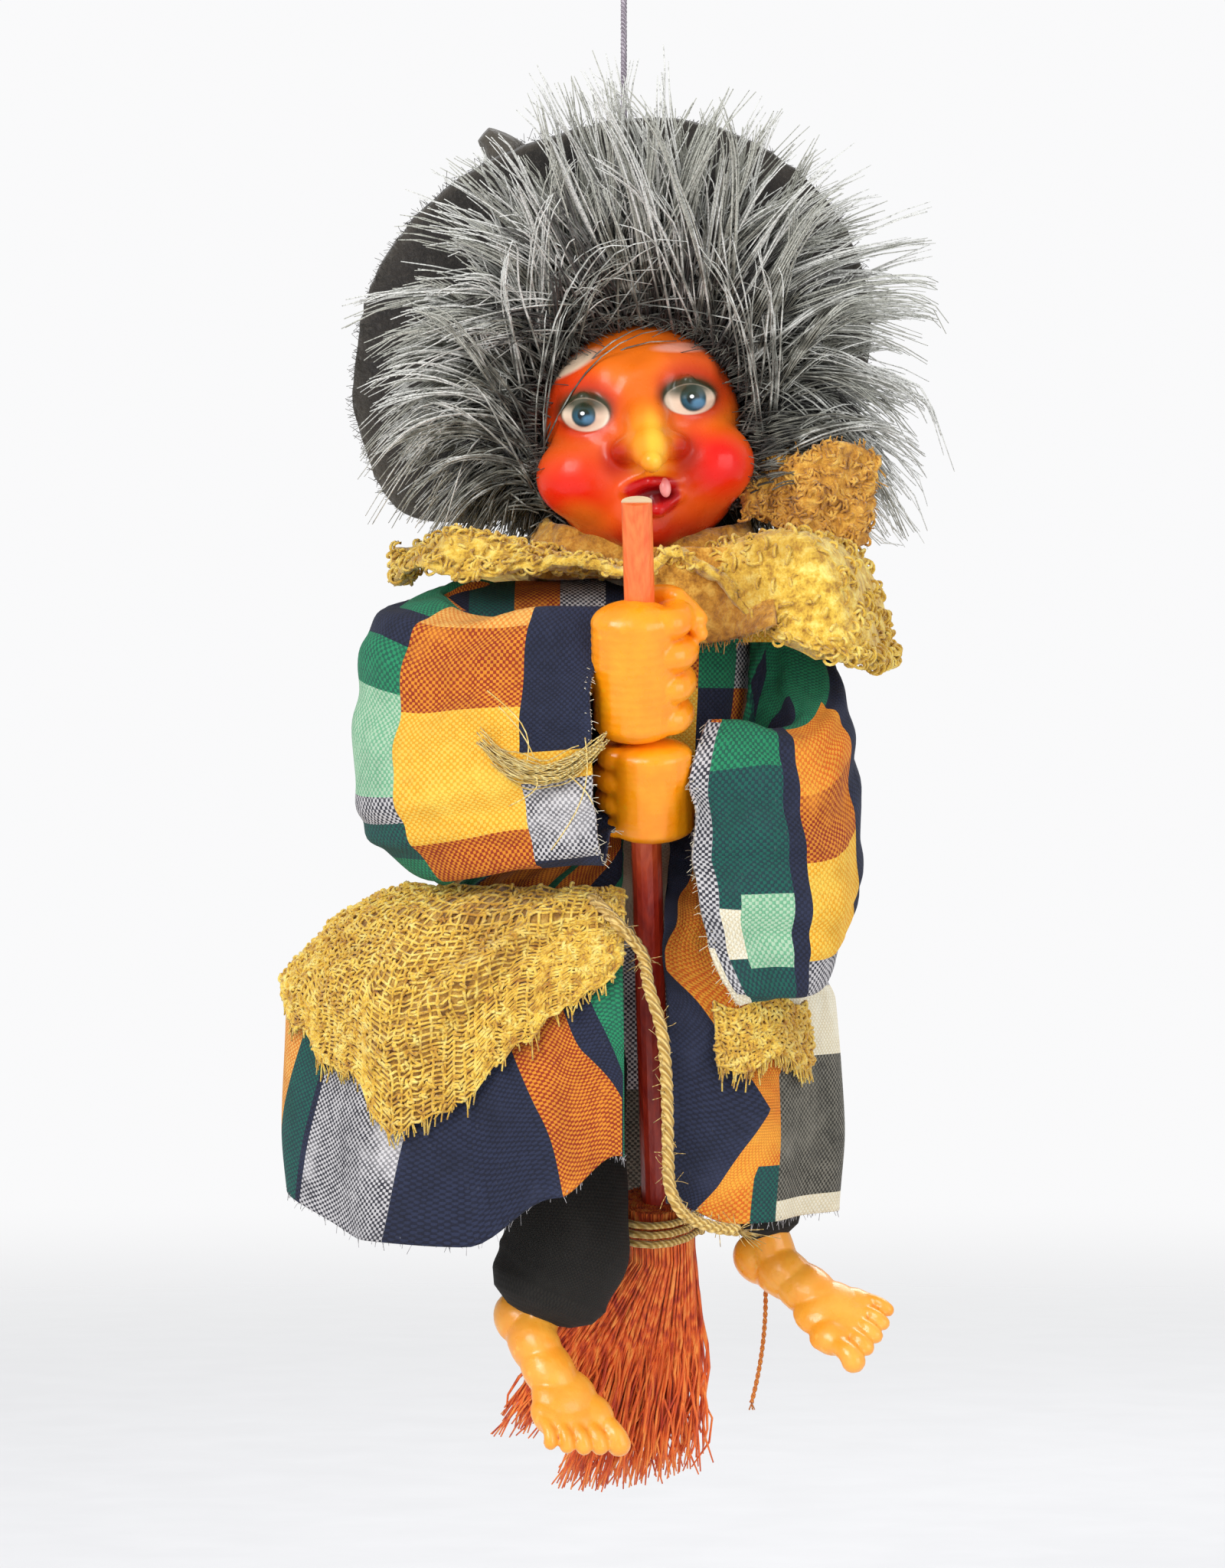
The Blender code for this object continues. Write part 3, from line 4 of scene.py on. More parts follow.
import bmesh
import bpy
import numpy as np
from mathutils import Matrix, Vector, noise
from mathutils.bvhtree import BVHTree


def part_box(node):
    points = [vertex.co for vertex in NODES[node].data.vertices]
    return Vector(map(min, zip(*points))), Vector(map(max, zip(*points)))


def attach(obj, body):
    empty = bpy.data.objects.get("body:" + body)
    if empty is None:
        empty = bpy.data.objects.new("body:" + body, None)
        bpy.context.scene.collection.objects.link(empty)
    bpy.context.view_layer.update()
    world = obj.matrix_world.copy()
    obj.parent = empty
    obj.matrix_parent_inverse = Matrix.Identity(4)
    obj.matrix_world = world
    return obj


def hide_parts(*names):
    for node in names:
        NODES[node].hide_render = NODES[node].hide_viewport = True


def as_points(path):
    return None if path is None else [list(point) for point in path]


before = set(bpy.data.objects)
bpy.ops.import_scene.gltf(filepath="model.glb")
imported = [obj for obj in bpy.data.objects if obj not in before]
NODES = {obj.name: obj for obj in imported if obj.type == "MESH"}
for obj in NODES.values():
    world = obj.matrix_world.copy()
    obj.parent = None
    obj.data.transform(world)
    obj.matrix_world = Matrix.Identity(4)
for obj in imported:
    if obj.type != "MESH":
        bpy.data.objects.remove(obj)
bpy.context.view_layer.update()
MM = 0.001
UP = Vector((0, 0, 1))
RIGHT = Vector((1, 0, 0))

# Photo: a pixel's place in the plane through the doll
PIXEL = 0.1274 * MM
PHOTO_MIDDLE = 815
PHOTO_TOP = -17.5 * MM


def photo_x(px):
    return (px - PHOTO_MIDDLE) * PIXEL


def photo_z(py):
    return PHOTO_TOP - py * PIXEL


def ease(table, where):
    """Reads a table of (place, value) rows, with eased steps."""
    for (a, low), (b, high) in zip(table, table[1:]):
        if where <= b:
            t = min(max((where - a) / (b - a), 0), 1)
            return low + (high - low) * t * t * (3 - 2 * t)
    return table[-1][1]


def smooth_rows(rows, steps):
    """Catmull-Rom rows between given ones."""
    rows = [np.array(row, float) for row in rows]
    ends = [rows[0], *rows, rows[-1]]
    out = []
    for n in range(len(rows) - 1):
        a, b, c, d = ends[n : n + 4]
        for k in range(steps):
            t = k / steps
            cubic = 2 * b + (c - a) * t + (2 * a - 5 * b + 4 * c - d) * t * t
            out.append((cubic + (3 * b - a - 3 * c + d) * t**3) / 2)
    out.append(rows[-1])
    return out


# Materials


class Shader:
    """A procedural material built node by node."""

    def __init__(self, name, roughness, **values):
        self.material = bpy.data.materials.new(name)
        self.material.use_nodes = True
        self.tree = self.material.node_tree
        self.surface = self.tree.nodes["Principled BSDF"]
        self.set(self.surface, {"Roughness": roughness, **values})
        self.coords = self.tree.nodes.new("ShaderNodeTexCoord")

    def set(self, node, values):
        for name, value in values.items():
            if hasattr(value, "links") and hasattr(value, "node"):
                self.tree.links.new(value, node.inputs[name])
            else:
                node.inputs[name].default_value = value

    def add(self, kind, values=None, **settings):
        node = self.tree.nodes.new("ShaderNode" + kind)
        for name, value in settings.items():
            setattr(node, name, value)
        self.set(node, values or {})
        return node

    def math(self, operation, a, b=0.0):
        return self.add("Math", {0: a, 1: b}, operation=operation).outputs[0]

    def times(self, a, b):
        return self.math("MULTIPLY", a, b)

    def plus(self, a, b):
        return self.math("ADD", a, b)

    def place(self, where="Object"):
        return self.coords.outputs[where]

    def noise(self, scale, detail=3.0, stretch=None):
        vector = self.place()
        if stretch:
            vector = self.add("Mapping", {"Vector": vector, "Scale": stretch}).outputs[0]
        values = {"Vector": vector, "Scale": scale, "Detail": detail, "Roughness": 0.55}
        return self.add("TexNoise", values).outputs["Fac"]

    def range(self, value, low, high, to_low=0.0, to_high=1.0):
        """The value's eased share between low and high, carried to the second pair."""
        names = {"From Min": low, "From Max": high, "To Min": to_low, "To Max": to_high}
        node = self.add("MapRange", {"Value": value, **names}, interpolation_type="SMOOTHSTEP")
        return node.outputs["Result"]

    def distance(self, centre):
        node = self.add("VectorMath", {0: self.place(), 1: tuple(centre)}, operation="DISTANCE")
        return node.outputs["Value"]

    def mix(self, share, a, b):
        node = self.add("Mix", data_type="RGBA")
        a, b = (value if hasattr(value, "links") else (*value, 1) for value in (a, b))
        self.set(node, {0: share, 6: a, 7: b})
        return node.outputs[2]

    def ramp(self, value, *stops):
        node = self.add("ValToRGB", {"Fac": value})
        marks = node.color_ramp.elements
        while len(marks) < len(stops):
            marks.new(0.5)
        for mark, (where, colour) in zip(marks, stops):
            mark.position = where
            mark.color = (*colour, 1)
        return node.outputs["Color"]

    def colour(self, value):
        self.tree.links.new(value, self.surface.inputs["Base Color"])

    def roughness(self, value):
        self.tree.links.new(value, self.surface.inputs["Roughness"])

    def bump(self, height, depth, strength=1.0):
        """Relief of the surface's normal, its depth in millimetres."""
        values = {"Height": height, "Distance": depth * MM, "Strength": strength}
        node = self.add("Bump", values)
        self.tree.links.new(node.outputs["Normal"], self.surface.inputs["Normal"])

    def ellipse(self, x, z, half_x, half_z, turn, soft):
        """1 inside an ellipse of the XZ plane, 0 outside; in mm and degrees."""
        values = {
            "Vector": self.place(),
            "Location": (x * MM, 0, z * MM),
            "Rotation": (0, math.radians(turn), 0),
            "Scale": (half_x * MM, 1000.0, half_z * MM),
        }
        mapped = self.add("Mapping", values, vector_type="TEXTURE").outputs[0]
        far = self.add("VectorMath", {0: mapped}, operation="LENGTH").outputs["Value"]
        return self.range(far, 1 - soft, 1 + soft, 1.0, 0.0)


def felt_material():
    s = Shader("hat_felt", 0.95, **{"Sheen Weight": 0.25, "Sheen Roughness": 0.6})
    cloud = s.noise(90.0, 4.0)
    fuzz = s.noise(1400.0, 3.0)
    base = s.ramp(cloud, (0.3, (0.012, 0.008, 0.006)), (0.7, (0.034, 0.025, 0.019)))
    base = s.mix(s.range(fuzz, 0.5, 0.75), base, (0.060, 0.050, 0.040))
    # Painted highlight: the brim turns paler towards its rim, where the felt's edge catches light.
    wear_and_highlight = s.range(s.distance(HAT_CENTRE), 40 * MM, 49 * MM, 0.0, 0.55)
    s.colour(s.mix(wear_and_highlight, base, (0.12, 0.105, 0.080)))
    s.bump(s.plus(s.noise(500.0, 5.0), s.times(fuzz, 0.7)), 0.6)
    return s.material


def string_material(name, dark, pale, pitch):
    """Twisted fibre: slanting strands and stray fuzz."""
    s = Shader(name, 0.9, **{"Sheen Weight": 0.2})
    wave = s.add("TexWave", {"Vector": s.place(), "Scale": pitch, "Distortion": 1.2,
                             "Detail": 2.0, "Detail Scale": 2.0}, bands_direction="DIAGONAL")
    share = s.times(wave.outputs["Fac"], s.range(s.noise(900.0), 0.2, 0.7, 0.5, 1.0))
    s.colour(s.mix(share, dark, pale))
    s.bump(wave.outputs["Fac"], 0.2)
    return s.material


def hair_material(name, dark, middle, pale, start, stop):
    """Fur that pales from start to stop, in millimetres from the head's centre."""
    s = Shader(name, 0.42, **{"Specular IOR Level": 0.5, "Sheen Weight": 0.1})
    far = s.distance(HEAD_CENTRE)
    lock = s.noise(260.0, 2.0)
    far = s.plus(far, s.range(lock, 0.25, 0.75, -10 * MM, 10 * MM))
    share = s.range(far, start * MM, stop * MM)
    strand = s.noise(2600.0, 1.0)
    base = s.ramp(share, (0.0, dark), (0.45, middle), (1.0, pale))
    s.colour(s.mix(s.range(strand, 0.45, 0.8, 0.0, 0.7), base, dark))
    s.bump(strand, 0.1)
    return s.material


def plastic_material(name, base, deep, pale):
    """Moulded plastic, with painted shade in its creases and a painted highlight on its sharp
    edges.
    """
    s = Shader(name, 0.3, **{"Coat Weight": 0.25, "Coat Roughness": 0.15,
                             "Subsurface Weight": 0.12, "Subsurface Scale": 2 * MM})
    crease_shade_edge_highlight = s.add("NewGeometry").outputs["Pointiness"]
    mottle = s.noise(180.0, 3.0)
    colour = s.mix(s.range(mottle, 0.3, 0.75, 0.0, 0.55), base, pale)
    # Painted shade: where the surface curves inward, the colour turns to the deep tone.
    colour = s.mix(s.range(crease_shade_edge_highlight, 0.40, 0.49, 1.0, 0.0), colour, deep)
    # Painted highlight: where the surface curves outward, the colour turns paler.
    s.colour(s.mix(s.range(crease_shade_edge_highlight, 0.53, 0.62, 0.0, 0.6), colour, pale))
    s.roughness(s.range(s.noise(420.0, 3.0), 0.3, 0.7, 0.24, 0.46))
    s.bump(s.noise(900.0, 2.0), 0.12, 0.6)
    return s.material


def weave_material(name, warp, weft, pitch=0.46, mottle=0.35, lint=0.3):
    """Brushed woven cloth: each thread of two colours shows at its crossings; pitch in mm."""
    s = Shader(name, 0.95, **{"Sheen Weight": 0.06 * lint, "Sheen Roughness": 0.5})
    uv = s.add("SeparateXYZ", {0: s.place("UV")})
    slip = s.math("SUBTRACT", s.noise(240.0, 3.0), 0.5)
    wobble = s.times(slip, 2.6)
    rate = math.pi / (pitch * MM)
    across = s.math("SINE", s.plus(s.times(uv.outputs[0], rate), wobble))
    along = s.math("SINE", s.plus(s.times(uv.outputs[1], rate), wobble))
    cross = s.times(across, along)
    uneven = s.times(s.math("SUBTRACT", s.noise(700.0, 3.0), 0.5), 1.2)
    over = s.range(s.plus(cross, uneven), -0.28, 0.28)
    colour = s.mix(over, warp, weft)
    cloud = s.noise(150.0, 4.0)
    dark = tuple(c * 0.45 for c in warp)
    colour = s.mix(s.range(cloud, 0.42, 0.75, 0.0, mottle), colour, dark)
    bright = tuple(min(c * 1.35 + 0.01, 0.95) for c in weft)
    colour = s.mix(s.range(s.noise(90.0, 3.0), 0.5, 0.75, 0.0, 0.4), colour, bright)
    fluff = s.noise(2200.0, 2.0, stretch=(1.0, 1.0, 0.4))
    pale = tuple(0.6 * c + 0.3 for c in weft)
    s.colour(s.mix(s.range(fluff, 0.62, 0.80, 0.0, 0.5 * lint), colour, pale))
    thread = s.math("MAXIMUM", s.math("ABSOLUTE", across), s.math("ABSOLUTE", along))
    height = s.plus(s.times(thread, 0.6), s.times(fluff, 0.5))
    s.bump(height, 0.25, 0.9)
    return s.material


def wool_material(name, deep, middle, pale):
    """Curly bouclé yarn and burlap: knobs painted pale as highlight, hollows painted deep as shade.
    """
    s = Shader(name, 0.95, **{"Sheen Weight": 0.3, "Sheen Roughness": 0.5})
    knob = s.add("TexVoronoi", {"Vector": s.place(), "Scale": 760.0}, feature="SMOOTH_F1")
    curl = s.noise(520.0, 5.0)
    fibre = s.noise(2400.0, 3.0)
    # The colour follows the curl noise that also raises the bump: painted highlight on knobs,
    # painted shade in hollows.
    share = s.plus(curl, s.times(s.math("SUBTRACT", fibre, 0.5), 0.35))
    colour = s.ramp(share, (0.30, deep), (0.50, middle), (0.68, pale))
    stain = s.noise(70.0, 2.0)
    s.colour(s.mix(s.range(stain, 0.45, 0.7, 0.0, 0.4), colour, deep))
    height = s.plus(s.times(knob.outputs["Distance"], -0.5), curl)
    s.bump(s.plus(height, s.times(fibre, 0.5)), 0.6)
    return s.material


def stick_material():
    """Coral paint on wood, darker red towards its foot as painted shade below the hands, its sawn
    top bare.
    """
    s = Shader("stick_paint", 0.42, **{"Coat Weight": 0.15, "Coat Roughness": 0.3})
    level = s.add("SeparateXYZ", {0: s.place()}).outputs["Z"]
    streak = s.noise(300.0, 3.0, stretch=(3.0, 3.0, 0.12))
    upper = s.ramp(streak, (0.3, (0.86, 0.115, 0.018)), (0.7, (0.94, 0.22, 0.05)))
    # Painted shade: below the lower fist the paint turns dark red.
    lower = s.ramp(streak, (0.3, (0.34, 0.012, 0.006)), (0.7, (0.60, 0.045, 0.015)))
    colour = s.mix(s.range(level, photo_z(1180), photo_z(1020)), lower, upper)
    cut_end = s.range(level, STICK_TOP.z - 0.5 * MM, STICK_TOP.z - 0.1 * MM)
    s.colour(s.mix(cut_end, colour, (0.86, 0.66, 0.42)))
    s.bump(streak, 0.2)
    return s.material


def wood_material():
    s = Shader("peg_wood", 0.65)
    grain = s.noise(240.0, 4.0, stretch=(4.0, 4.0, 0.2))
    s.colour(s.ramp(grain, (0.3, (0.33, 0.19, 0.09)), (0.7, (0.62, 0.43, 0.24))))
    s.bump(grain, 0.2)
    return s.material


def wire_material():
    s = Shader("steel_wire", 0.35, Metallic=1.0)
    wear_and_highlight = s.noise(600.0, 3.0)
    s.colour(s.ramp(wear_and_highlight, (0.3, (0.30, 0.29, 0.28)), (0.7, (0.62, 0.62, 0.63))))
    s.roughness(s.range(wear_and_highlight, 0.3, 0.7, 0.25, 0.5))
    return s.material


def fibre_material():
    """Dyed broom fibre, each strand a little redder or paler."""
    s = Shader("broom_fibre", 0.6, **{"Sheen Weight": 0.1})
    strand = s.noise(900.0, 2.0, stretch=(1.0, 1.0, 0.12))
    colour = s.ramp(strand, (0.32, (0.48, 0.035, 0.006)), (0.50, (0.86, 0.145, 0.012)),
                    (0.68, (0.98, 0.34, 0.06)))
    s.colour(colour)
    s.bump(s.noise(3000.0, 1.0), 0.1)
    return s.material


# Pieces


def place_new(name, data):
    """A new object in the scene."""
    thing = bpy.data.objects.new(name, data)
    bpy.context.scene.collection.objects.link(thing)
    return thing


def square_to(side, way):
    """The part of side that stands square to way, at length 1."""
    return (side - side.dot(way) * way).normalized()


def row_at(rows, share):
    """The row at a share along a list of rows."""
    where = share * (len(rows) - 1)
    n = min(int(where), len(rows) - 2)
    return rows[n] * (1 - (where - n)) + rows[n + 1] * (where - n)


def bow(first, knee, last, count):
    """Points of a curve from first to last that leans towards the knee."""
    return [first * (1 - t) ** 2 + knee * 2 * t * (1 - t) + last * t * t
            for t in np.linspace(0, 1, count)]


def scatter(rng, size):
    return Vector([rng.gauss(0, size) for _ in range(3)])


def crease_at(*place):
    """Smooth noise from -1 to 1."""
    return noise.noise(Vector(place))


def add_piece(name, points, faces, materials, body, kinds=None, uvs=None):
    """A mesh object that rides on a body; kinds are its faces' material slots."""
    mesh = bpy.data.meshes.new(name)
    mesh.from_pydata([tuple(p) for p in points], [], faces)
    for material in materials if isinstance(materials, (list, tuple)) else [materials]:
        mesh.materials.append(material)
    if kinds is not None:
        mesh.polygons.foreach_set("material_index", kinds)
    if uvs is not None:
        layer = mesh.uv_layers.new(name="weave")
        corners = np.empty(len(mesh.loops), dtype=np.int64)
        mesh.loops.foreach_get("vertex_index", corners)
        layer.data.foreach_set("uv", np.asarray(uvs)[corners].ravel())
    mesh.shade_smooth()
    mesh.update()
    piece = place_new(name, mesh)
    if body:
        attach(piece, body)
    return piece


def bake_modifiers(piece):
    """Applies a piece's modifiers to its mesh."""
    graph = bpy.context.evaluated_depsgraph_get()
    graph.update()
    done = bpy.data.meshes.new_from_object(piece.evaluated_get(graph))
    piece.modifiers.clear()
    piece.data = done


def strands(name, paths, radii, material, body, sides=3):
    """Many thin tubes of equal point count, as one piece."""
    paths = np.asarray(paths, float)
    count, steps, _ = paths.shape
    radii = np.broadcast_to(np.asarray(radii, float), (count, steps))
    along = np.gradient(paths, axis=1)
    along /= np.linalg.norm(along, axis=2, keepdims=True) + 1e-12
    mean = along.mean(axis=1)
    least = np.eye(3)[np.argmin(np.abs(mean), axis=1)]
    side = np.cross(along, least[:, None, :])
    side /= np.linalg.norm(side, axis=2, keepdims=True) + 1e-12
    over = np.cross(side, along)
    turns = np.arange(sides) * math.tau / sides
    c = np.cos(turns)[None, None, :, None]
    s = np.sin(turns)[None, None, :, None]
    rings = c * side[:, :, None, :] + s * over[:, :, None, :]
    points = paths[:, :, None, :] + radii[:, :, None, None] * rings
    first = np.arange(count)[:, None, None] * steps * sides
    low = first + np.arange(steps - 1)[None, :, None] * sides + np.arange(sides)
    step = np.roll(np.arange(sides), -1) - np.arange(sides)
    quads = np.stack([low, low + step, low + step + sides, low + sides], axis=-1)
    faces = quads.reshape(-1, 4).tolist()
    start = np.arange(count)[:, None] * steps * sides + np.arange(sides)[::-1]
    end = np.arange(count)[:, None] * steps * sides + (steps - 1) * sides + np.arange(sides)
    faces += start.tolist() + end.tolist()
    return add_piece(name, points.reshape(-1, 3), faces, material, body)


def grid_faces(columns, rows, closed=False):
    """Quads of a grid of points, row by row; closed joins the last column to the first."""
    wide = columns if closed else columns + 1
    faces = []
    for r in range(rows):
        for c in range(columns):
            d = (c + 1) % wide
            faces.append((r * wide + c, r * wide + d, (r + 1) * wide + d, (r + 1) * wide + c))
    return faces


def tube_faces(count, rows):
    """Quads of a closed tube of points, and a face over each end."""
    faces = grid_faces(count, rows, True)
    faces.append(list(range(count))[::-1])
    faces.append([rows * count + i for i in range(count)])
    return faces


def thicken(piece, thick):
    solid = piece.modifiers.new("thickness", "SOLIDIFY")
    solid.thickness = thick
    solid.offset = 0
    bake_modifiers(piece)
    piece.data.shade_smooth()


def fuse(name, forms, voxel, smooth, material, body):
    """Closed forms grown together into one moulded shape."""
    bm = bmesh.new()
    for kind, *facts in forms:
        if kind == "ball":
            centre, halves, turn = facts
            made = bmesh.ops.create_uvsphere(bm, u_segments=20, v_segments=14, radius=1)
            matrix = Matrix.Translation(centre) @ turn.to_4x4() @ Matrix.Diagonal((*halves, 1))
            bmesh.ops.transform(bm, matrix=matrix, verts=made["verts"])
        else:
            rows = smooth_rows(facts[0], 4)
            limb(bm, rows)
    mesh = bpy.data.meshes.new(name)
    bmesh.ops.recalc_face_normals(bm, faces=bm.faces)
    bm.to_mesh(mesh)
    bm.free()
    piece = place_new(name, mesh)
    grown = piece.modifiers.new("grow", "REMESH")
    grown.mode = "VOXEL"
    grown.voxel_size = voxel
    even = piece.modifiers.new("even", "SMOOTH")
    even.iterations = smooth
    even.factor = 0.5
    bake_modifiers(piece)
    piece.data.materials.clear()
    piece.data.materials.append(material)
    piece.data.shade_smooth()
    if body:
        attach(piece, body)
    return piece


def limb(bm, rows):
    """A round limb through rows of x, y, z and radius, its ends rounded."""
    count = 14
    points = [Vector(row[:3]) for row in rows]
    sizes = [row[3] for row in rows]
    rings = []
    first, last = points[1] - points[0], points[-1] - points[-2]
    spots = []
    for degrees in (80, 50, 25):
        a = math.radians(degrees)
        spots.append((points[0] - first.normalized() * sizes[0] * math.sin(a),
                      sizes[0] * math.cos(a)))
    spots += list(zip(points, sizes))
    for degrees in (25, 50, 80):
        a = math.radians(degrees)
        spots.append((points[-1] + last.normalized() * sizes[-1] * math.sin(a),
                      sizes[-1] * math.cos(a)))
    side = None
    for n, (at, size) in enumerate(spots):
        way = spots[min(n + 1, len(spots) - 1)][0] - spots[max(n - 1, 0)][0]
        way.normalize()
        if side is None:
            side = way.orthogonal()
        side = square_to(side, way)
        over = way.cross(side)
        ring = []
        for i in range(count):
            turn = math.tau * i / count
            out = side * math.cos(turn) + over * math.sin(turn)
            ring.append(bm.verts.new(at + out * size))
        rings.append(ring)
    for low, high in zip(rings, rings[1:]):
        for i in range(count):
            j = (i + 1) % count
            bm.faces.new((low[i], low[j], high[j], high[i]))
    bm.faces.new(rings[0][::-1])
    bm.faces.new(rings[-1])


# The doll's main places, as in the CAD source

HEAD_CENTRE = Vector((3.3, 0, -89.5)) * MM
HEAD_ROLL = math.radians(-7.5)
BODY_TOP = -113.5 * MM
BODY_SIDE = 4.3 * MM
BODY_HEIGHT = 54.0 * MM
SHOULDER_LEVEL = -123.5 * MM
STICK_TOP = Vector((2.0, -44.0, -102.1)) * MM
STICK_FOOT = Vector((5.5, 1.0, -218.0)) * MM
STICK_DOWN = (STICK_FOOT - STICK_TOP).normalized()
HAT_CENTRE = Vector((-1.5, 8.0, -73.5)) * MM
HAT_AXIS = Vector((-0.15, 0.80, 0.58)).normalized()
HAT_UP = square_to(UP, HAT_AXIS)
HAT_SIDE = HAT_AXIS.cross(HAT_UP)


# Camera

LENS_SPAN = 36.0
VIEW_DISTANCE = 1.05
VIEW_HEIGHT = 2048 * PIXEL
PAPER = (0.955, 0.955, 0.962)
VIEW_MIDDLE = Vector((photo_x(800), -16.0 * MM, photo_z(1024)))
LAMPS = (
    # place, width and power
    ("key", (-0.55, -0.85, 0.35), 0.55, 8.5),
    ("fill", (0.75, -0.75, -0.05), 0.70, 4.0),
    ("back", (0.30, 0.60, 0.50), 0.50, 4.0),
)
LAMPS_AIM = Vector((0, 0, -0.14))
BACKDROP = (0.92, 0.94, 0.96)
BACKDROP_POWER = 0.66
FLOOR_RADIUS = 1.7
FLOOR_LEVEL = -0.32
FLOOR_FADE = (0.35, 1.6)
FLOOR_SIDES = 48


def camera_and_light():
    data = bpy.data.cameras.new("camera")
    data.sensor_width = LENS_SPAN
    data.lens = LENS_SPAN * VIEW_DISTANCE / VIEW_HEIGHT
    camera = place_new("camera", data)
    camera.location = VIEW_MIDDLE - Vector((0, VIEW_DISTANCE, 0))
    camera.rotation_euler = (math.radians(90), 0, 0)
    bpy.context.scene.camera = camera
    for name, place, size, power in LAMPS:
        lamp = bpy.data.lights.new(name, "AREA")
        lamp.size = size
        lamp.energy = power
        light = place_new(name, lamp)
        light.location = place
        aim = LAMPS_AIM - Vector(place)
        light.rotation_euler = aim.to_track_quat("-Z", "Y").to_euler()
    world = bpy.data.worlds.new("studio")
    world.use_nodes = True
    tree = world.node_tree
    backdrop = tree.nodes["Background"]
    backdrop.inputs["Color"].default_value = (*BACKDROP, 1)
    backdrop.inputs["Strength"].default_value = BACKDROP_POWER
    paper = tree.nodes.new("ShaderNodeBackground")
    paper.inputs["Color"].default_value = (*PAPER, 1)
    rays = tree.nodes.new("ShaderNodeLightPath")
    choose = tree.nodes.new("ShaderNodeMixShader")
    tree.links.new(rays.outputs["Is Camera Ray"], choose.inputs[0])
    tree.links.new(backdrop.outputs[0], choose.inputs[1])
    tree.links.new(paper.outputs[0], choose.inputs[2])
    tree.links.new(choose.outputs[0], tree.nodes["World Output"].inputs[0])
    bpy.context.scene.world = world
    bpy.context.scene.view_settings.view_transform = "Standard"


def stage():
    """A pale round floor that fades into the backdrop's paper at its rim."""
    shader = Shader("pale_paper", 0.9)
    grain = shader.noise(40.0, 3.0)
    shader.colour(shader.ramp(grain, (0.3, (0.76, 0.755, 0.765)), (0.7, (0.79, 0.785, 0.795))))
    clear = shader.add("BsdfTransparent")
    far = shader.add("VectorMath", {0: shader.place()}, operation="LENGTH").outputs["Value"]
    choose = shader.add("MixShader", {0: shader.range(far, *FLOOR_FADE)})
    shader.tree.links.new(shader.surface.outputs[0], choose.inputs[1])
    shader.tree.links.new(clear.outputs[0], choose.inputs[2])
    output = shader.tree.nodes["Material Output"].inputs[0]
    shader.tree.links.new(choose.outputs[0], output)
    rim = [math.tau * n / FLOOR_SIDES for n in range(FLOOR_SIDES)]
    points = [(FLOOR_RADIUS * math.cos(a), FLOOR_RADIUS * math.sin(a), FLOOR_LEVEL) for a in rim]
    floor = add_piece("floor", points, [tuple(range(FLOOR_SIDES))], shader.material, None)


# Cords

STRING_RADIUS = 0.6 * MM
CORD_RADIUS = 1.1 * MM
PLY_SHARE = 0.52
STRAY_STEPS = (0, 0.35, 0.7, 1)


def twisted(name, centre, radius, plies, turns, material, body, sides=6):
    """Plies laid round a centreline, as one mesh."""
    centre = np.asarray(centre, float)
    steps = len(centre)
    along = np.gradient(centre, axis=0)
    along /= np.linalg.norm(along, axis=1, keepdims=True)
    side = np.cross(along, np.eye(3)[np.argmin(np.abs(along.mean(axis=0)))])
    side /= np.linalg.norm(side, axis=1, keepdims=True)
    over = np.cross(side, along)
    angle = np.linspace(0, turns * math.tau, steps)
    paths = []
    for n in range(plies):
        a = (angle + math.tau * n / plies)[:, None]
        paths.append(centre + radius * (1 - PLY_SHARE) * (np.cos(a) * side + np.sin(a) * over))
    return strands(name, paths, radius * PLY_SHARE, material, body, sides)


def fuzz_along(rng, centre, radius, count, length):
    """Short stray fibres that stand off a cord."""
    centre = np.asarray(centre, float)
    paths = []
    for _ in range(count):
        at = centre[rng.randrange(len(centre))]
        way = np.array([rng.gauss(0, 1) for _ in range(3)])
        way /= np.linalg.norm(way)
        bend = np.array([rng.gauss(0, 1) for _ in range(3)]) * 0.35
        reach = length * rng.uniform(0.5, 1.2)
        start = at + way * radius * 0.5
        paths.append([start + way * reach * t + bend * reach * t * t for t in STRAY_STEPS])
    return paths


def hanging_cord():
    string = string_material("string_fibre", (0.22, 0.18, 0.22), (0.56, 0.50, 0.56), 900.0)
    low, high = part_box("hanging_string")
    top, foot = high[2], low[2]
    centre = [(0, 0, top + (foot - top) * n / 119) for n in range(120)]
    cord = twisted("string", centre, STRING_RADIUS, 3, 22, string, "hanger")
    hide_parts("hanging_string")
    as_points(centre[::-1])
    for name in ("hanging_loop", "string_stop_knot"):
        finish_node(name, string)


def finish_node(name, material):
    """Gives a carried-over CAD node its material."""
    node = NODES[name]
    for slot in node.material_slots:
        slot.material = material


SKIRT_WAIST = -153.5 * MM
SKIRT_LENGTH = 69.0 * MM
SKIRT_SIDE = -11.0 * MM
SKIRT_HALF_WIDTH = 46.5 * MM
SKIRT_HALF_DEPTH = 35.0 * MM
WAIST_HALF_WIDTH = 17.45 * MM
WAIST_HALF_DEPTH = 13.43 * MM
SLIT = 7.8 * MM
SKIRT_FOLD = 1.6 * MM
# share down the skirt, and share of the way from the waist's half size to the hem's
SKIRT_WIDE = ((0, 0), (0.10, 0.26), (0.17, 0.42), (0.27, 0.76), (0.45, 0.98), (0.75, 1), (1, 0.95))
SKIRT_DEEP = ((0, 0), (0.10, 0.20), (0.17, 0.30), (0.27, 0.68), (0.45, 0.94), (0.75, 1), (1, 1.02))


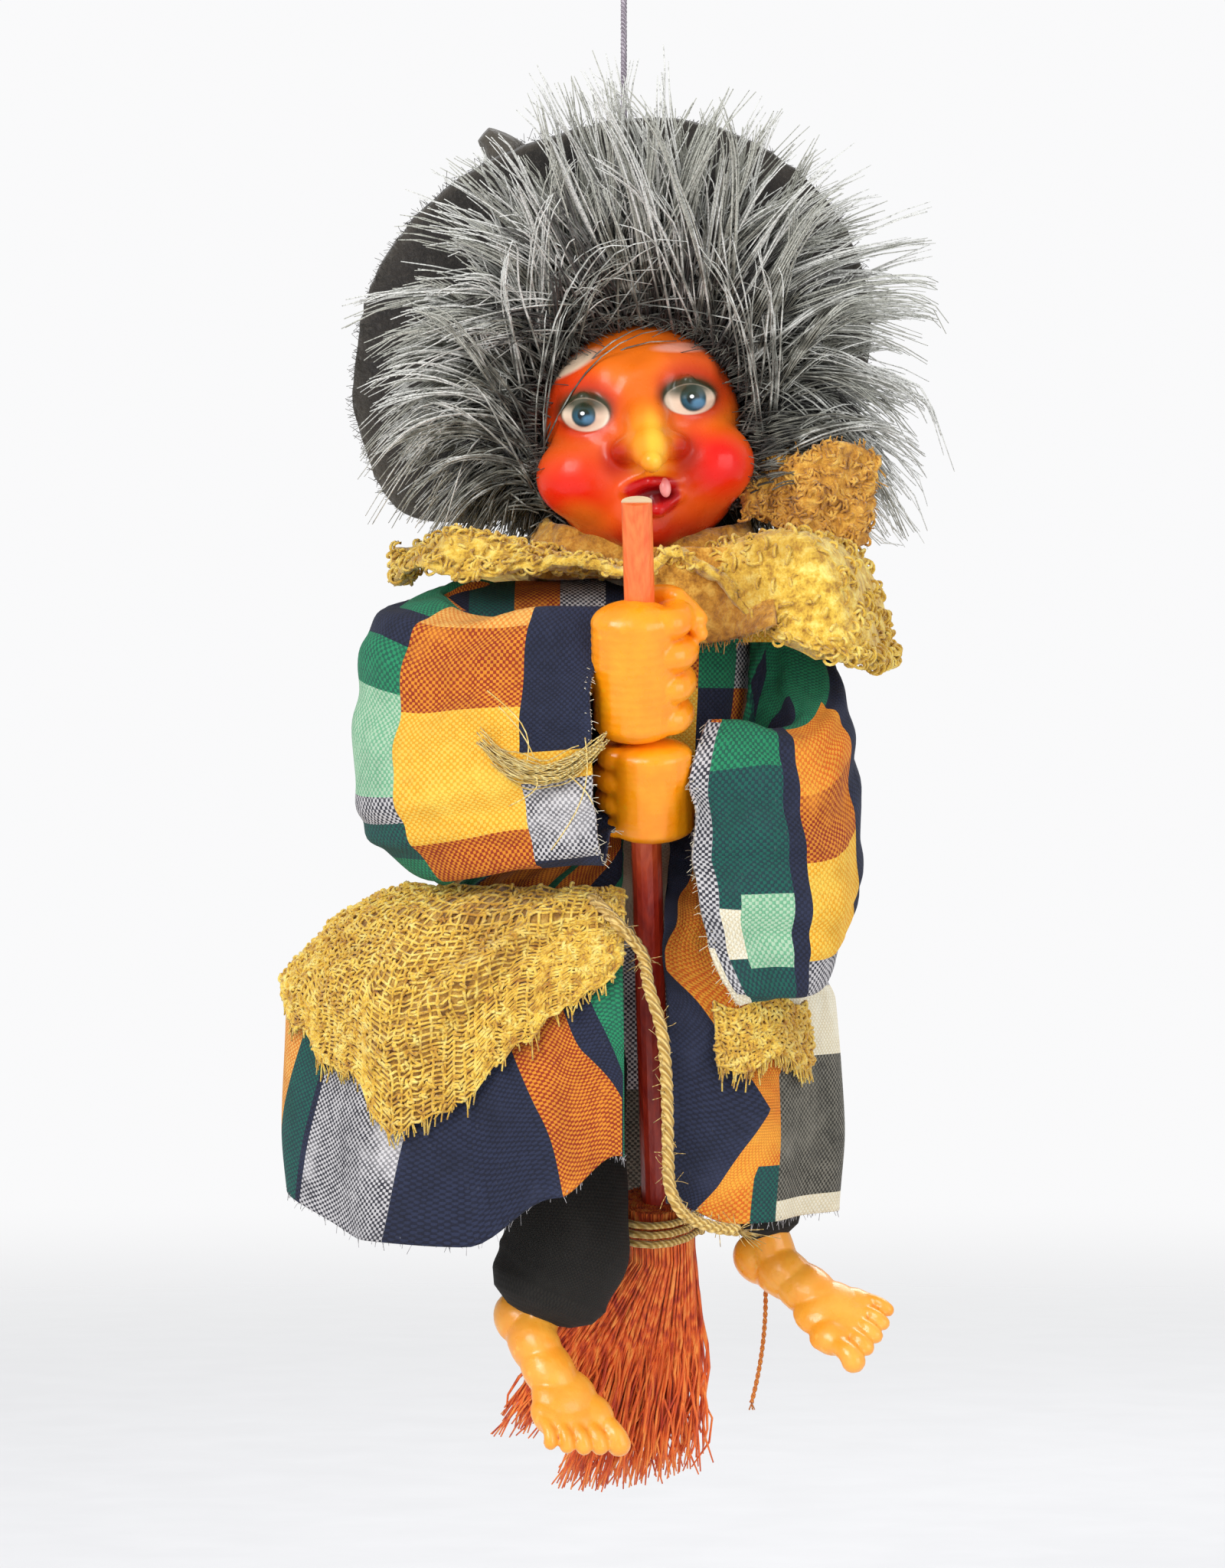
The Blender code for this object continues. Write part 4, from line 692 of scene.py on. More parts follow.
def skirt_ring(down):
    wide, deep = ease(SKIRT_WIDE, down), ease(SKIRT_DEEP, down)
    middle = BODY_SIDE + (SKIRT_SIDE - BODY_SIDE) * ease(((0, 0), (0.4, 1)), down)
    half_width = WAIST_HALF_WIDTH + (SKIRT_HALF_WIDTH - WAIST_HALF_WIDTH) * wide
    return middle, half_width, WAIST_HALF_DEPTH + (SKIRT_HALF_DEPTH - WAIST_HALF_DEPTH) * deep


def slit_degrees(down):
    middle, half_width, _ = skirt_ring(down)
    centre = (STICK_TOP.x + STICK_FOOT.x) / 2 - middle
    low = math.degrees(math.asin((centre - SLIT / 2) / half_width))
    high = math.degrees(math.asin((centre + SLIT / 2) / half_width))
    return low, high


def skirt_point(degrees, down, out=0.0):
    """A place on the skirt by its angle from the front and share down."""
    turn = math.radians(degrees)
    wave = SKIRT_FOLD * math.sin(turn * 9 + 0.7) * down
    middle, half_width, half_depth = skirt_ring(down)
    tuck = 0.20 * math.exp(-(((degrees - 52) / 30) ** 2))
    tuck *= math.exp(-(((down - 0.22) / 0.16) ** 2))
    half_width -= half_width * tuck
    half_depth -= half_depth * tuck
    return Vector(
        (
            middle + (half_width + wave + out) * math.sin(turn),
            -(half_depth + wave + out) * math.cos(turn),
            SKIRT_WAIST - SKIRT_LENGTH * down,
        )
    )


FRONT_CORD = (
    # across the slit, down the skirt, out in cord radii
    (-0.60, 0.19, 5.4), (-0.20, 0.25, 4.6), (0.30, 0.32, 3.2), (0.45, 0.40, 2.6),
    (0.70, 0.50, 2.4), (0.80, 0.60, 2.4), (0.84, 0.70, 2.4), (0.86, 0.80, 2.4),
    (0.92, 0.88, 2.4), (1.20, 0.94, 2.8), (1.70, 0.97, 3.2), (2.20, 0.98, 3.4),
)


def path_length(points):
    return sum((Vector(b) - Vector(a)).length for a, b in zip(points, points[1:]))


def front_cord(jute):
    rows = []
    for across, down, out in FRONT_CORD:
        low, high = slit_degrees(down)
        rows.append(skirt_point(low + (high - low) * across, down, CORD_RADIUS * out))
    centre = smooth_rows(rows, 14)
    cord = twisted("jute_cord", centre, CORD_RADIUS, 3, 13, jute, "torso", 7)
    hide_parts("front_cord")
    rng = random.Random(11)
    fray = fuzz_along(rng, centre, CORD_RADIUS, 170, 2.2 * MM)
    end = np.array(centre[-1])
    for _ in range(26):
        way = np.array([0.8 + rng.gauss(0, 0.35), rng.gauss(0, 0.3), -0.35 + rng.gauss(0, 0.45)])
        reach = rng.uniform(2.0 * MM, 5.5 * MM)
        fray.append([end + way * reach * t for t in STRAY_STEPS])
    lint = strands("jute_cord_fray", fray, 0.07 * MM, jute, "torso")
    tuple(centre[0])
    path_length(centre)
    [tuple(p) for p in centre]


# Head

# across, up and half size, in mm
EYES = ((-9.2, 4.1, 4.0), (8.3, 4.6, 4.3))
# where the face's surface is looked for along each ray, in mm, and in how many steps
FACE_CORE, FACE_INNER, FACE_OUTER, FACE_CASTS = 6.0, 12.0, 34.0, 60


def capsule(p, a, b, ra, rb):
    a, b = np.array(a, float), np.array(b, float)
    t = np.clip(((p - a) @ (b - a)) / ((b - a) @ (b - a)), 0, 1)
    near = a + t[:, None] * (b - a)
    return np.linalg.norm(p - near, axis=1) - (ra + (rb - ra) * t)


def oval(p, centre, halves):
    halves = np.array(halves, float)
    q = (p - np.array(centre, float)) / halves
    return (np.linalg.norm(q, axis=1) - 1) * halves.min()


def union(a, b, k):
    h = np.clip(0.5 + 0.5 * (b - a) / k, 0, 1)
    return b + (a - b) * h - k * h * (1 - h)


def carve(a, b, k):
    return -union(-a, b, k)


def face_field(p):
    """Distance to the face, in millimetres, below 0 inside."""
    d = oval(p, (0, 0.6, 2.2), (17.0, 18.0, 17.4))
    d = union(d, oval(p, (-0.4, -2.5, -8.6), (15.2, 14.0, 10.8)), 3.0)
    d = union(d, oval(p, (-10.9, -9.6, -5.6), (7.9, 7.6, 7.2)), 2.6)
    d = union(d, oval(p, (9.9, -9.8, -6.2), (7.9, 7.6, 7.2)), 2.6)
    d = union(d, oval(p, (-1.6, -10.4, -14.6), (5.6, 5.2, 4.9)), 2.6)
    d = union(d, capsule(p, (-11.0, -8.6, 9.6), (-4.6, -12.4, 10.2), 1.7, 2.4), 4.0)
    d = union(d, capsule(p, (10.6, -8.6, 9.8), (4.4, -12.4, 10.2), 1.7, 2.4), 4.0)
    for x, z, size in EYES:
        lean = 1 if x > 0 else -1
        d = carve(d, oval(p, (x - lean, -19.2, z), (4.4, 3.4, 3.2)), 2.4)
        d = union(d, oval(p, (x, -11.4, z), (size, 5.0, size * 0.74)), 1.0)
        lid = [(x - 4.1, -13.6, z + 0.2), (x, -16.2, z + 3.0), (x + 4.1, -13.6, z + 0.4)]
        d = union(d, capsule(p, lid[0], lid[1], 0.6, 0.8), 1.4)
        d = union(d, capsule(p, lid[1], lid[2], 0.8, 0.6), 1.4)
    d = union(d, capsule(p, (1.0, -14.6, 8.6), (0.8, -18.6, 1.4), 1.9, 2.7), 3.2)
    d = union(d, capsule(p, (0.8, -18.4, 1.4), (0.6, -22.6, -3.0), 2.7, 3.1), 2.6)
    d = union(d, capsule(p, (0.6, -22.6, -3.2), (0.5, -26.4, -5.4), 2.9, 1.9), 1.8)
    d = union(d, oval(p, (-3.3, -18.4, -2.6), (2.5, 3.2, 2.2)), 2.0)
    d = union(d, oval(p, (4.6, -18.4, -2.9), (2.5, 3.2, 2.2)), 2.0)
    d = union(d, capsule(p, (-4.2, -16.2, -9.2), (-0.4, -18.0, -8.4), 0.7, 1.0), 1.4)
    d = union(d, capsule(p, (0.4, -18.0, -8.4), (4.6, -16.2, -8.8), 1.0, 0.7), 1.4)
    d = union(d, capsule(p, (-3.2, -16.2, -12.0), (0.8, -17.4, -13.0), 0.8, 1.1), 1.4)
    d = union(d, capsule(p, (0.8, -17.4, -13.0), (4.2, -16.0, -11.4), 1.1, 0.8), 1.4)
    return carve(d, oval(p, (0.3, -19.0, -10.6), (3.6, 2.4, 1.5)), 0.7)


def head():
    stages, count = 170, 220
    polar = math.pi * ((np.arange(stages) + 0.5) / stages) ** 1.35
    turn = np.arange(count) * math.tau / count
    ray = np.stack(
        [
            np.sin(polar)[:, None] * np.cos(turn)[None, :],
            -np.cos(polar)[:, None] * np.ones(count)[None, :],
            np.sin(polar)[:, None] * np.sin(turn)[None, :],
        ],
        axis=-1,
    ).reshape(-1, 3)
    near, far = np.full(len(ray), FACE_CORE), np.full(len(ray), FACE_OUTER)
    for reach in np.linspace(FACE_OUTER, FACE_INNER, FACE_CASTS):
        hit = (face_field(ray * reach) < 0) & (near == FACE_CORE)
        near[hit] = reach
        far[hit] = reach + (FACE_OUTER - FACE_INNER) / (FACE_CASTS - 1)
    for _ in range(14):
        middle = (near + far) / 2
        inside = face_field(ray * middle[:, None]) < 0
        near[inside] = middle[inside]
        far[~inside] = middle[~inside]
    points = ray * near[:, None] * MM
    piece = add_piece("face", points, tube_faces(count, stages - 1), face_material(), None)
    piece.matrix_world = (Matrix.Translation(HEAD_CENTRE)
                          @ Matrix.Rotation(HEAD_ROLL, 4, "Y"))
    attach(piece, "head")
    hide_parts("head_shell")
    tooth_material = Shader("tooth_enamel", 0.3)
    tint = tooth_material.noise(500.0)
    tooth_material.colour(tooth_material.ramp(tint, (0.3, (0.80, 0.20, 0.20)),
                                              (0.7, (0.90, 0.36, 0.33))))
    tooth = fuse("tooth", [("ball", Vector((2.3, -17.9, -9.6)) * MM,
                            Vector((1.0, 0.9, 1.7)) * MM, Matrix.Identity(3))],
                 0.2 * MM, 3, tooth_material.material, None)
    tooth.matrix_world = piece.matrix_world.copy()
    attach(tooth, "head")


def face_material():
    """Glossy airbrushed paint: cheeks, brows, eyes, nose and mouth."""
    s = Shader("face_paint", 0.4, **{"Coat Weight": 0.10, "Coat Roughness": 0.12,
                                     "Specular IOR Level": 0.28})
    deep, orange = (0.46, 0.020, 0.004), (0.80, 0.155, 0.008)
    cloud = s.noise(120.0, 3.0)
    colour = s.mix(s.range(cloud, 0.3, 0.7, 0.0, 0.6), (0.80, 0.10, 0.008), (0.74, 0.065, 0.008))
    for x, z, wide, high, turn, tone, soft in (
        (0.0, 13.0, 9.5, 9.0, 0, orange, 0.7),
        (10.5, 10.0, 5.0, 4.0, 0, (0.82, 0.12, 0.02), 0.7),
        (-12.5, 9.5, 5.5, 4.0, 0, (0.82, 0.055, 0.006), 0.7),
        (14.5, -1.0, 4.5, 4.5, 0, orange, 0.7),
        (-14.0, -1.0, 5.0, 3.2, 0, (0.72, 0.10, 0.01), 0.7),
        (-14.0, -8.6, 6.5, 5.6, 0, (0.76, 0.014, 0.002), 0.75),
        (11.6, -6.6, 5.6, 5.2, 0, (0.74, 0.006, 0.001), 0.6),
        (-2.0, -3.0, 4.0, 5.0, 0, (0.58, 0.03, 0.004), 0.7),
        (6.5, -4.5, 3.0, 4.0, 0, (0.60, 0.02, 0.004), 0.7),
        (-9.2, 5.2, 6.2, 5.0, 0, (0.60, 0.035, 0.004), 0.35),
        (8.6, 5.6, 6.4, 5.0, 0, (0.60, 0.045, 0.006), 0.35),
        # Painted shade: the chin's underside darker.
        (0.0, -18.5, 14.0, 4.0, 0, deep, 0.6),
        (1.0, 3.6, 2.2, 6.0, 0, (0.80, 0.14, 0.01), 0.6),
        (0.6, -1.6, 5.4, 6.6, 0, (0.86, 0.17, 0.010), 0.6),
        (0.7, -2.4, 3.2, 5.6, 0, (0.92, 0.32, 0.015), 0.6),
        # The nose's yellow paint; this narrowest, brightest stripe is a painted highlight.
        (1.5, -2.8, 1.3, 4.6, 0, (0.98, 0.52, 0.04), 0.7),
        (-5.2, -3.8, 2.2, 2.6, 0, (0.50, 0.02, 0.004), 0.7),
        (6.4, -4.2, 2.0, 2.4, 0, (0.50, 0.02, 0.004), 0.7),
        # Painted highlight: a paler orange patch low on the left cheek.
        (-11.6, -13.0, 3.6, 2.4, 30, (0.84, 0.16, 0.012), 0.8),
    ):
        colour = s.mix(s.ellipse(x, z, wide, high, turn, soft), colour, tone)
    for x, z, wide, high, turn in ((-10.6, 13.2, 4.8, 1.3, -19), (8.6, 13.6, 4.8, 0.9, 3)):
        tone = (0.94, 0.70, 0.50) if x < 0 else (0.92, 0.36, 0.24)
        colour = s.mix(s.ellipse(x, z, wide, high, turn, 0.35), colour, tone)
    for x, z, wide, high, turn, ix, iz, size in (
        (-9.2, 4.2, 3.9, 2.7, 12, -9.55, 4.25, 2.0),
        (8.3, 4.5, 4.2, 2.5, 4, 8.9, 4.65, 2.2),
    ):
        colour = s.mix(s.ellipse(x, z + 1.0, wide + 0.9, high + 0.7, turn, 0.25), colour,
                       (0.20, 0.045, 0.015))
        colour = s.mix(s.ellipse(x, z + 0.7, wide + 0.4, high + 0.4, turn, 0.12), colour,
                       (0.035, 0.035, 0.016))
        colour = s.mix(s.ellipse(x, z, wide, high, turn, 0.07), colour, (0.72, 0.56, 0.42))
        inside = s.ellipse(x, z, wide, high, turn, 0.07)
        for radius, tone, soft in (
            (1.0, (0.010, 0.040, 0.050), 0.10),
            (0.80, (0.018, 0.080, 0.125), 0.25),
            (0.50, (0.004, 0.010, 0.016), 0.14),
        ):
            ring = s.ellipse(ix, iz, size * radius, size * radius, 0, soft)
            colour = s.mix(s.times(ring, inside), colour, tone)
        glow = s.ellipse(ix + size * 0.35, iz - size * 0.45, size * 0.5, size * 0.35, 0, 0.5)
        colour = s.mix(s.times(glow, inside), colour, (0.08, 0.21, 0.34))
        shade = s.ellipse(x, z + high * 0.92, wide * 1.10, high * 0.75, turn, 0.5)
        shade = s.times(shade, inside)
        colour = s.mix(s.times(shade, 0.92), colour, (0.022, 0.034, 0.016))
        spark = s.ellipse(ix - size * 0.08, iz + size * 0.12, 0.34, 0.30, 0, 0.3)
        colour = s.mix(spark, colour, (0.85, 0.90, 0.92))
    for x, z, wide, high, turn in ((0.0, -9.4, 4.6, 2.0, 0), (1.4, -11.6, 3.4, 2.4, -20)):
        colour = s.mix(s.ellipse(x, z, wide, high, turn, 0.14), colour, (0.50, 0.004, 0.004))
    colour = s.mix(s.ellipse(0.4, -10.8, 3.4, 1.3, 0, 0.4), colour, (0.16, 0.0, 0.002))
    depth = s.add("SeparateXYZ", {0: s.place()}).outputs["Y"]
    s.colour(s.mix(s.range(depth, -5.5 * MM, -2.0 * MM), colour, (0.42, 0.075, 0.012)))
    s.roughness(s.range(s.noise(300.0, 3.0), 0.3, 0.7, 0.22, 0.40))
    s.bump(s.noise(700.0, 2.0), 0.1, 0.5)
    return s.material


# Hat

BRIM_RADIUS = 44.0 * MM
BRIM_HOLE = 19.1 * MM
FELT = 1.3 * MM
# degrees round the brim, share of its radius
BRIM_RIM = ((-180, 0.76), (-160, 0.84), (-132, 1.08), (-110, 1.04), (-90, 1.0), (90, 1.0),
            (110, 1.0), (132, 0.98), (160, 0.84), (180, 0.76))
CROWN_RADIUS = 20.5 * MM
CROWN_LENGTH = 50.0 * MM
CROWN_BEND = 16.5 * MM
# share along the crown, share of its bend, share of its radius
CROWN = ((0.0, 0.0, 1.0), (0.18, 0.0, 0.90), (0.40, 0.02, 0.68), (0.62, 0.10, 0.46),
         (0.82, 0.34, 0.28), (0.95, 0.66, 0.17), (1.0, 1.0, 0.10))


def hat_point(radius, turn, depth):
    out = math.sin(turn) * HAT_SIDE + math.cos(turn) * HAT_UP
    return HAT_CENTRE + out * float(radius) + HAT_AXIS * float(depth)


def hat(felt):
    count, steps = 160, 22
    points = []
    for share in np.linspace(0, 1, steps + 1):
        for i in range(count):
            degrees = -180 + 360 * i / count
            rim = BRIM_RADIUS * ease(BRIM_RIM, degrees)
            radius = BRIM_HOLE + (rim - BRIM_HOLE) * share
            radius += 0.5 * MM * share * crease_at(i * 0.9, 3.0, 0)
            wave = FELT * share * share * math.sin(math.radians(degrees * 3))
            wave += 0.9 * MM * share * crease_at(i * 0.09, share * 2.0, 7.0)
            points.append(hat_point(radius, math.radians(degrees), wave))
    brim = add_piece("felt_brim", points, grid_faces(count, steps, True), felt, None)
    thicken(brim, FELT)
    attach(brim, "head")
    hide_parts("hat_brim")
    rows = []
    start = HAT_CENTRE + HAT_AXIS * (FELT / 2 + 0.4 * MM)
    for along, bend, radius in CROWN:
        centre = start + HAT_AXIS * CROWN_LENGTH * along - HAT_SIDE * CROWN_BEND * bend
        centre = centre + HAT_UP * CROWN_BEND * bend * 0.70
        rows.append((*centre, CROWN_RADIUS * radius))
    rows = smooth_rows(rows, 9)
    sides = 96
    points = []
    for n, row in enumerate(rows):
        at = Vector(row[:3])
        way = Vector(rows[min(n + 1, len(rows) - 1)][:3]) - Vector(rows[max(n - 1, 0)][:3])
        way.normalize()
        u = square_to(RIGHT, way)
        v = way.cross(u)
        for i in range(sides):
            turn = math.tau * i / sides
            crease = crease_at(math.cos(turn) * 1.6, math.sin(turn) * 1.6, n * 0.10)
            ring = math.sin(n * 0.55 + crease * 2.0) * 0.35 * MM
            size = row[3] * (1 + 0.07 * crease) - 0.9 * MM * min(1, row[3] / (4 * MM)) + ring
            points.append(at + (u * math.cos(turn) + v * math.sin(turn)) * max(size, 0.8 * MM))
    faces = grid_faces(sides, len(rows) - 1, True)
    faces.append([(len(rows) - 1) * sides + i for i in range(sides)])
    crown = add_piece("felt_crown", points, faces, felt, None)
    thicken(crown, FELT * 0.8)
    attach(crown, "head")
    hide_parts("hat_crown")
    hat_fuzz(felt)


def hat_fuzz(felt):
    """Felt fibres that stand off the brim's edge."""
    rng = random.Random(4)
    paths = []
    for _ in range(900):
        degrees = rng.uniform(-180, 180)
        turn = math.radians(degrees)
        rim = BRIM_RADIUS * ease(BRIM_RIM, degrees)
        at = hat_point(rim - 0.3 * MM, turn, rng.uniform(-0.6, 0.6) * MM)
        way = hat_point(rim + 1 * MM, turn + rng.gauss(0, 0.02), rng.gauss(0, 0.8) * MM) - at
        reach = rng.uniform(0.4, 1.3)
        paths.append([at + way * reach * t for t in STRAY_STEPS])
    strands("felt_fuzz", paths, 0.05 * MM, felt, "head")


# Hair

# degrees round the face from its top, clockwise as seen, and how far the tips reach in mm
HAIR_REACH = ((-180, 24), (-135, 30), (-121, 33), (-106, 41), (-89, 44), (-76, 45), (-50, 48),
              (-29, 53), (-13, 58), (0, 57), (12, 59), (24, 57), (36, 60), (47, 59), (56, 52),
              (71, 47), (83, 46), (99, 46), (112, 46), (128, 36), (150, 26), (180, 24))
FACE_RIM = 18.2 * MM
HAIR_AHEAD = 4.5 * MM
HAIR_FLOOR = -104.5 * MM
HAIR_BEHIND = 16 * MM
HAIR_SIDE = 51 * MM
SIDE_SQUEEZE = 0.62
FRINGE_RIM = 19.4 * MM


def hair_depth(x, z, ahead):
    """How far forward the hair lies, in front of the tilted brim."""
    n = HAT_AXIS
    return HAT_CENTRE.y + (-ahead - (x - HAT_CENTRE.x) * n.x - (z - HAT_CENTRE.z) * n.z) / n.y


def lock_path(rng, degrees, layer, reach, steps, wild):
    """One guide from the scalp to its tip; layer 0 is at the face and 1 at the brim."""
    turn = math.radians(degrees)
    size = FACE_RIM + (rng.uniform(-0.6, 3.0) - 2.6 * layer + 1.2 * math.cos(turn)) * MM
    root = HEAD_CENTRE + Vector((math.sin(turn), 0, math.cos(turn))) * size
    root.y = (-6.0 + 12.0 * layer) * MM
    swing = math.radians(degrees + rng.gauss(0, wild) + 6 * math.sin(turn))
    far = reach * ease(HAIR_REACH, degrees) * MM
    tip = HEAD_CENTRE + Vector((math.sin(swing), 0, math.cos(swing))) * far
    ahead = HAIR_AHEAD + (10.0 * (1 - layer) * rng.uniform(0.4, 1.1) + 1.5) * MM
    tip.y = hair_depth(tip.x, tip.z, ahead)
    tip.y = min(tip.y, HAIR_BEHIND)
    tip.z = max(tip.z, HAIR_FLOOR)
    length = (tip - root).length
    lift = Vector((math.sin(turn) * 0.10, -0.30 + 0.2 * layer, 0.10 + 0.12 * abs(math.sin(turn))))
    knee = root.lerp(tip, 0.45) + lift * length
    droop = Vector((0, 0, -1)) * length * 0.14 * abs(math.sin(turn)) * rng.uniform(0.2, 2.0)
    out = []
    for k in range(steps):
        t = k / (steps - 1)
        spot = root * (1 - t) ** 2 + knee * 2 * t * (1 - t) + tip * t * t
        out.append(spot + droop * t**3)
        out[-1].z = max(out[-1].z, HAIR_FLOOR - 2.0 * MM * t)
    return np.array(out)


def fur(name, seed, locks, each, steps, spread, radius, material, short, layers=(0, 1),
        wild=14, open_tip=0.9, span=(-126, 126)):
    """Locks of hairs round the face, over a span of degrees from its top."""
    rng = random.Random(seed)
    paths, radii = [], []
    for n in range(locks):
        degrees = span[0] + (span[1] - span[0]) * ((n + rng.random()) / locks)
        layer = rng.uniform(*layers)
        reach = short * (1.06 - 0.40 * rng.random() ** 1.4)
        guide = lock_path(rng, degrees, layer, reach, steps, wild)
        t = np.linspace(0, 1, steps)
        curl = rng.uniform(0.4, 2.0)
        phase = rng.uniform(0, math.tau)
        for _ in range(each):
            shift = np.array([rng.gauss(0, 1) for _ in range(3)]) * spread
            splay = np.array([rng.gauss(0, 1), rng.gauss(0, 0.7), rng.gauss(0, 1)]) * spread
            own = rng.uniform(0.78, 1.0)
            wave = curl * 0.55 * MM * np.sin(phase + t * 9 + rng.uniform(0, 1.2)) * t
            path = guide + shift * (1 - 0.8 * t[:, None]) + splay * open_tip * (t[:, None] ** 2)
            path[:, 0] += wave
            path[:, 2] += wave * 0.6
            end = (steps - 1) * own
            low = np.minimum((t * end).astype(int), steps - 2)
            share = (t * end - low)[:, None]
            path = path[low] * (1 - share) + path[low + 1] * share
            path[:, 0] -= SIDE_SQUEEZE * np.maximum(path[:, 0] - HAIR_SIDE, 0)
            paths.append(path)
            radii.append(radius * rng.uniform(0.8, 1.25) * (1 - 0.55 * t**3))
    strands(name, paths, np.array(radii), material, "head")


def wig_base(material):
    """The dark mass of short fur that the long hairs stand in."""
    count, profile = 150, 18
    points = []
    for p in range(profile + 1):
        a = math.pi * p / profile
        for i in range(count):
            degrees = -180 + 360 * i / count
            turn = math.radians(degrees)
            far = ease(HAIR_REACH, degrees) * 0.66
            inner = ease(((-75, 15.2), (-42, 17.4), (0, 17.8), (42, 17.4), (75, 15.2)), degrees)
            middle, half = (far + inner) / 2, (far - inner) / 2
            rough = crease_at(i * 0.55, p * 0.6, 2.0)
            radius = middle - half * math.cos(a) + 1.6 * rough * math.sin(a)
            x = HEAD_CENTRE.x + math.sin(turn) * radius * MM
            z = HEAD_CENTRE.z + math.cos(turn) * radius * MM
            y = hair_depth(x, z, HAIR_AHEAD + 3.2 * MM)
            y = min(y, 10 * MM)
            points.append((x, y - (3.6 + 1.4 * rough) * math.sin(a) * MM, z))
    back = []
    for p in range(1, profile):
        a = math.pi * p / profile
        for i in range(count):
            front = points[(profile - p) * count + i]
            back.append((front[0], front[1] + 6.4 * math.sin(a) * MM, front[2]))
    points += back
    rows = profile + profile
    faces = []
    for r in range(rows):
        for i in range(count):
            j = (i + 1) % count
            low, high = r * count, ((r + 1) % rows) * count
            faces.append((low + i, low + j, high + j, high + i))
    piece = add_piece("wig_fur_base", points, faces, material, "head")
    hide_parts("wig")


def wig():
    dark, middle, pale = (0.030, 0.028, 0.022), (0.17, 0.165, 0.130), (0.52, 0.52, 0.46)
    base = hair_material("fur_base", (0.012, 0.011, 0.010), (0.045, 0.042, 0.038),
                         (0.13, 0.125, 0.115), 16, 50)
    grey = hair_material("fur_grey", dark, middle, pale, 16, 46)
    silver = hair_material("fur_silver", (0.07, 0.068, 0.055), (0.34, 0.34, 0.30),
                           (0.76, 0.76, 0.72), 14, 44)
    wig_base(base)
    fur("wig_undercoat", 21, 230, 8, 6, 1.1 * MM, 0.20 * MM, base, 0.76)
    fur("wig_grey", 22, 330, 7, 8, 1.0 * MM, 0.17 * MM, grey, 1.0, (0, 1), 18)
    fur("wig_silver", 23, 230, 5, 9, 1.1 * MM, 0.19 * MM, silver, 1.03, (0, 0.9), 24, 0.8)
    fur("wig_stray", 24, 210, 3, 9, 2.0 * MM, 0.17 * MM, silver, 0.86, (0, 0.5), 46, 1.2)
    fur("wig_over_scarf", 25, 26, 6, 9, 1.2 * MM, 0.17 * MM, grey, 0.84, (-0.3, 0.0), 8, 0.6,
        (84, 112))
    fringe(grey)
    back_hair(base, grey)


def back_hair(base, grey):
    """Short fur over the back of the skull, under the hat's brim."""
    centre = HEAD_CENTRE + Vector((0, 3.5, -0.5)) * MM
    halves = Vector((18.2, 15.6, 20.0)) * MM
    columns, rows = 90, 46
    points = []
    for r in range(rows + 1):
        rise = math.pi * (r + 0.5) / (rows + 1)
        for c in range(columns):
            turn = math.tau * c / columns
            way = Vector((math.sin(rise) * math.sin(turn), math.sin(rise) * math.cos(turn),
                          math.cos(rise)))
            grow = 1 + 0.035 * noise.noise(way * 9) + 0.02 * noise.noise(way * 23)
            points.append(tuple(centre + way * halves * grow))
    add_piece("wig_skull_cap", points, tube_faces(columns, rows), base, "head")
    rng = random.Random(27)
    paths = []
    while len(paths) < 1500:
        turn, rise = rng.uniform(-1.75, 1.75), rng.uniform(-0.95, 0.9)
        way = Vector((math.sin(turn) * math.cos(rise), math.cos(turn) * math.cos(rise),
                      math.sin(rise)))
        root = centre + way * halves * 0.97
        if root.y < -1.5 * MM or root.y > hair_depth(root.x, root.z, 1.2 * MM):
            continue
        fall = way * 0.5 + Vector((0, -0.05, -0.9))
        fall += scatter(rng, 0.22)
        reach = rng.uniform(5.0, 10.5) * MM
        path = []
        for t in np.linspace(0, 1, 6):
            spot = root + (way * 0.75 * t * (1 - t) + fall * t * (0.6 + 0.4 * t)) * reach
            spot.y = min(spot.y, hair_depth(spot.x, spot.z, 1.2 * MM))
            spot.z = max(spot.z, HAIR_FLOOR - (1 + t) * MM)
            path.append(spot)
        paths.append(path)
    strands("wig_back", paths, 0.17 * MM, grey, "head")


def fringe(material):
    """Short hairs that fall over the edge of the face."""
    rng = random.Random(31)
    paths = []
    for _ in range(420):
        degrees = rng.uniform(-118, 118)
        turn = math.radians(degrees)
        start = Vector((math.sin(turn), 0, math.cos(turn))) * FRINGE_RIM + HEAD_CENTRE
        start.y = rng.uniform(-9, -3) * MM
        inward = 0.90 + 0.10 * rng.random()
        tip = Vector((math.sin(turn + rng.gauss(0, 0.2)), 0, math.cos(turn)))
        tip = tip * FRINGE_RIM * inward + HEAD_CENTRE
        tip.y = start.y - rng.uniform(3.5, 5.5) * MM
        knee = start.lerp(tip, 0.5) + Vector((math.sin(turn), -1.0, math.cos(turn))) * 1.8 * MM
        paths.append(bow(start, knee, tip, 6))
    strands("wig_fringe", paths, 0.08 * MM, material, "head")


# Hands

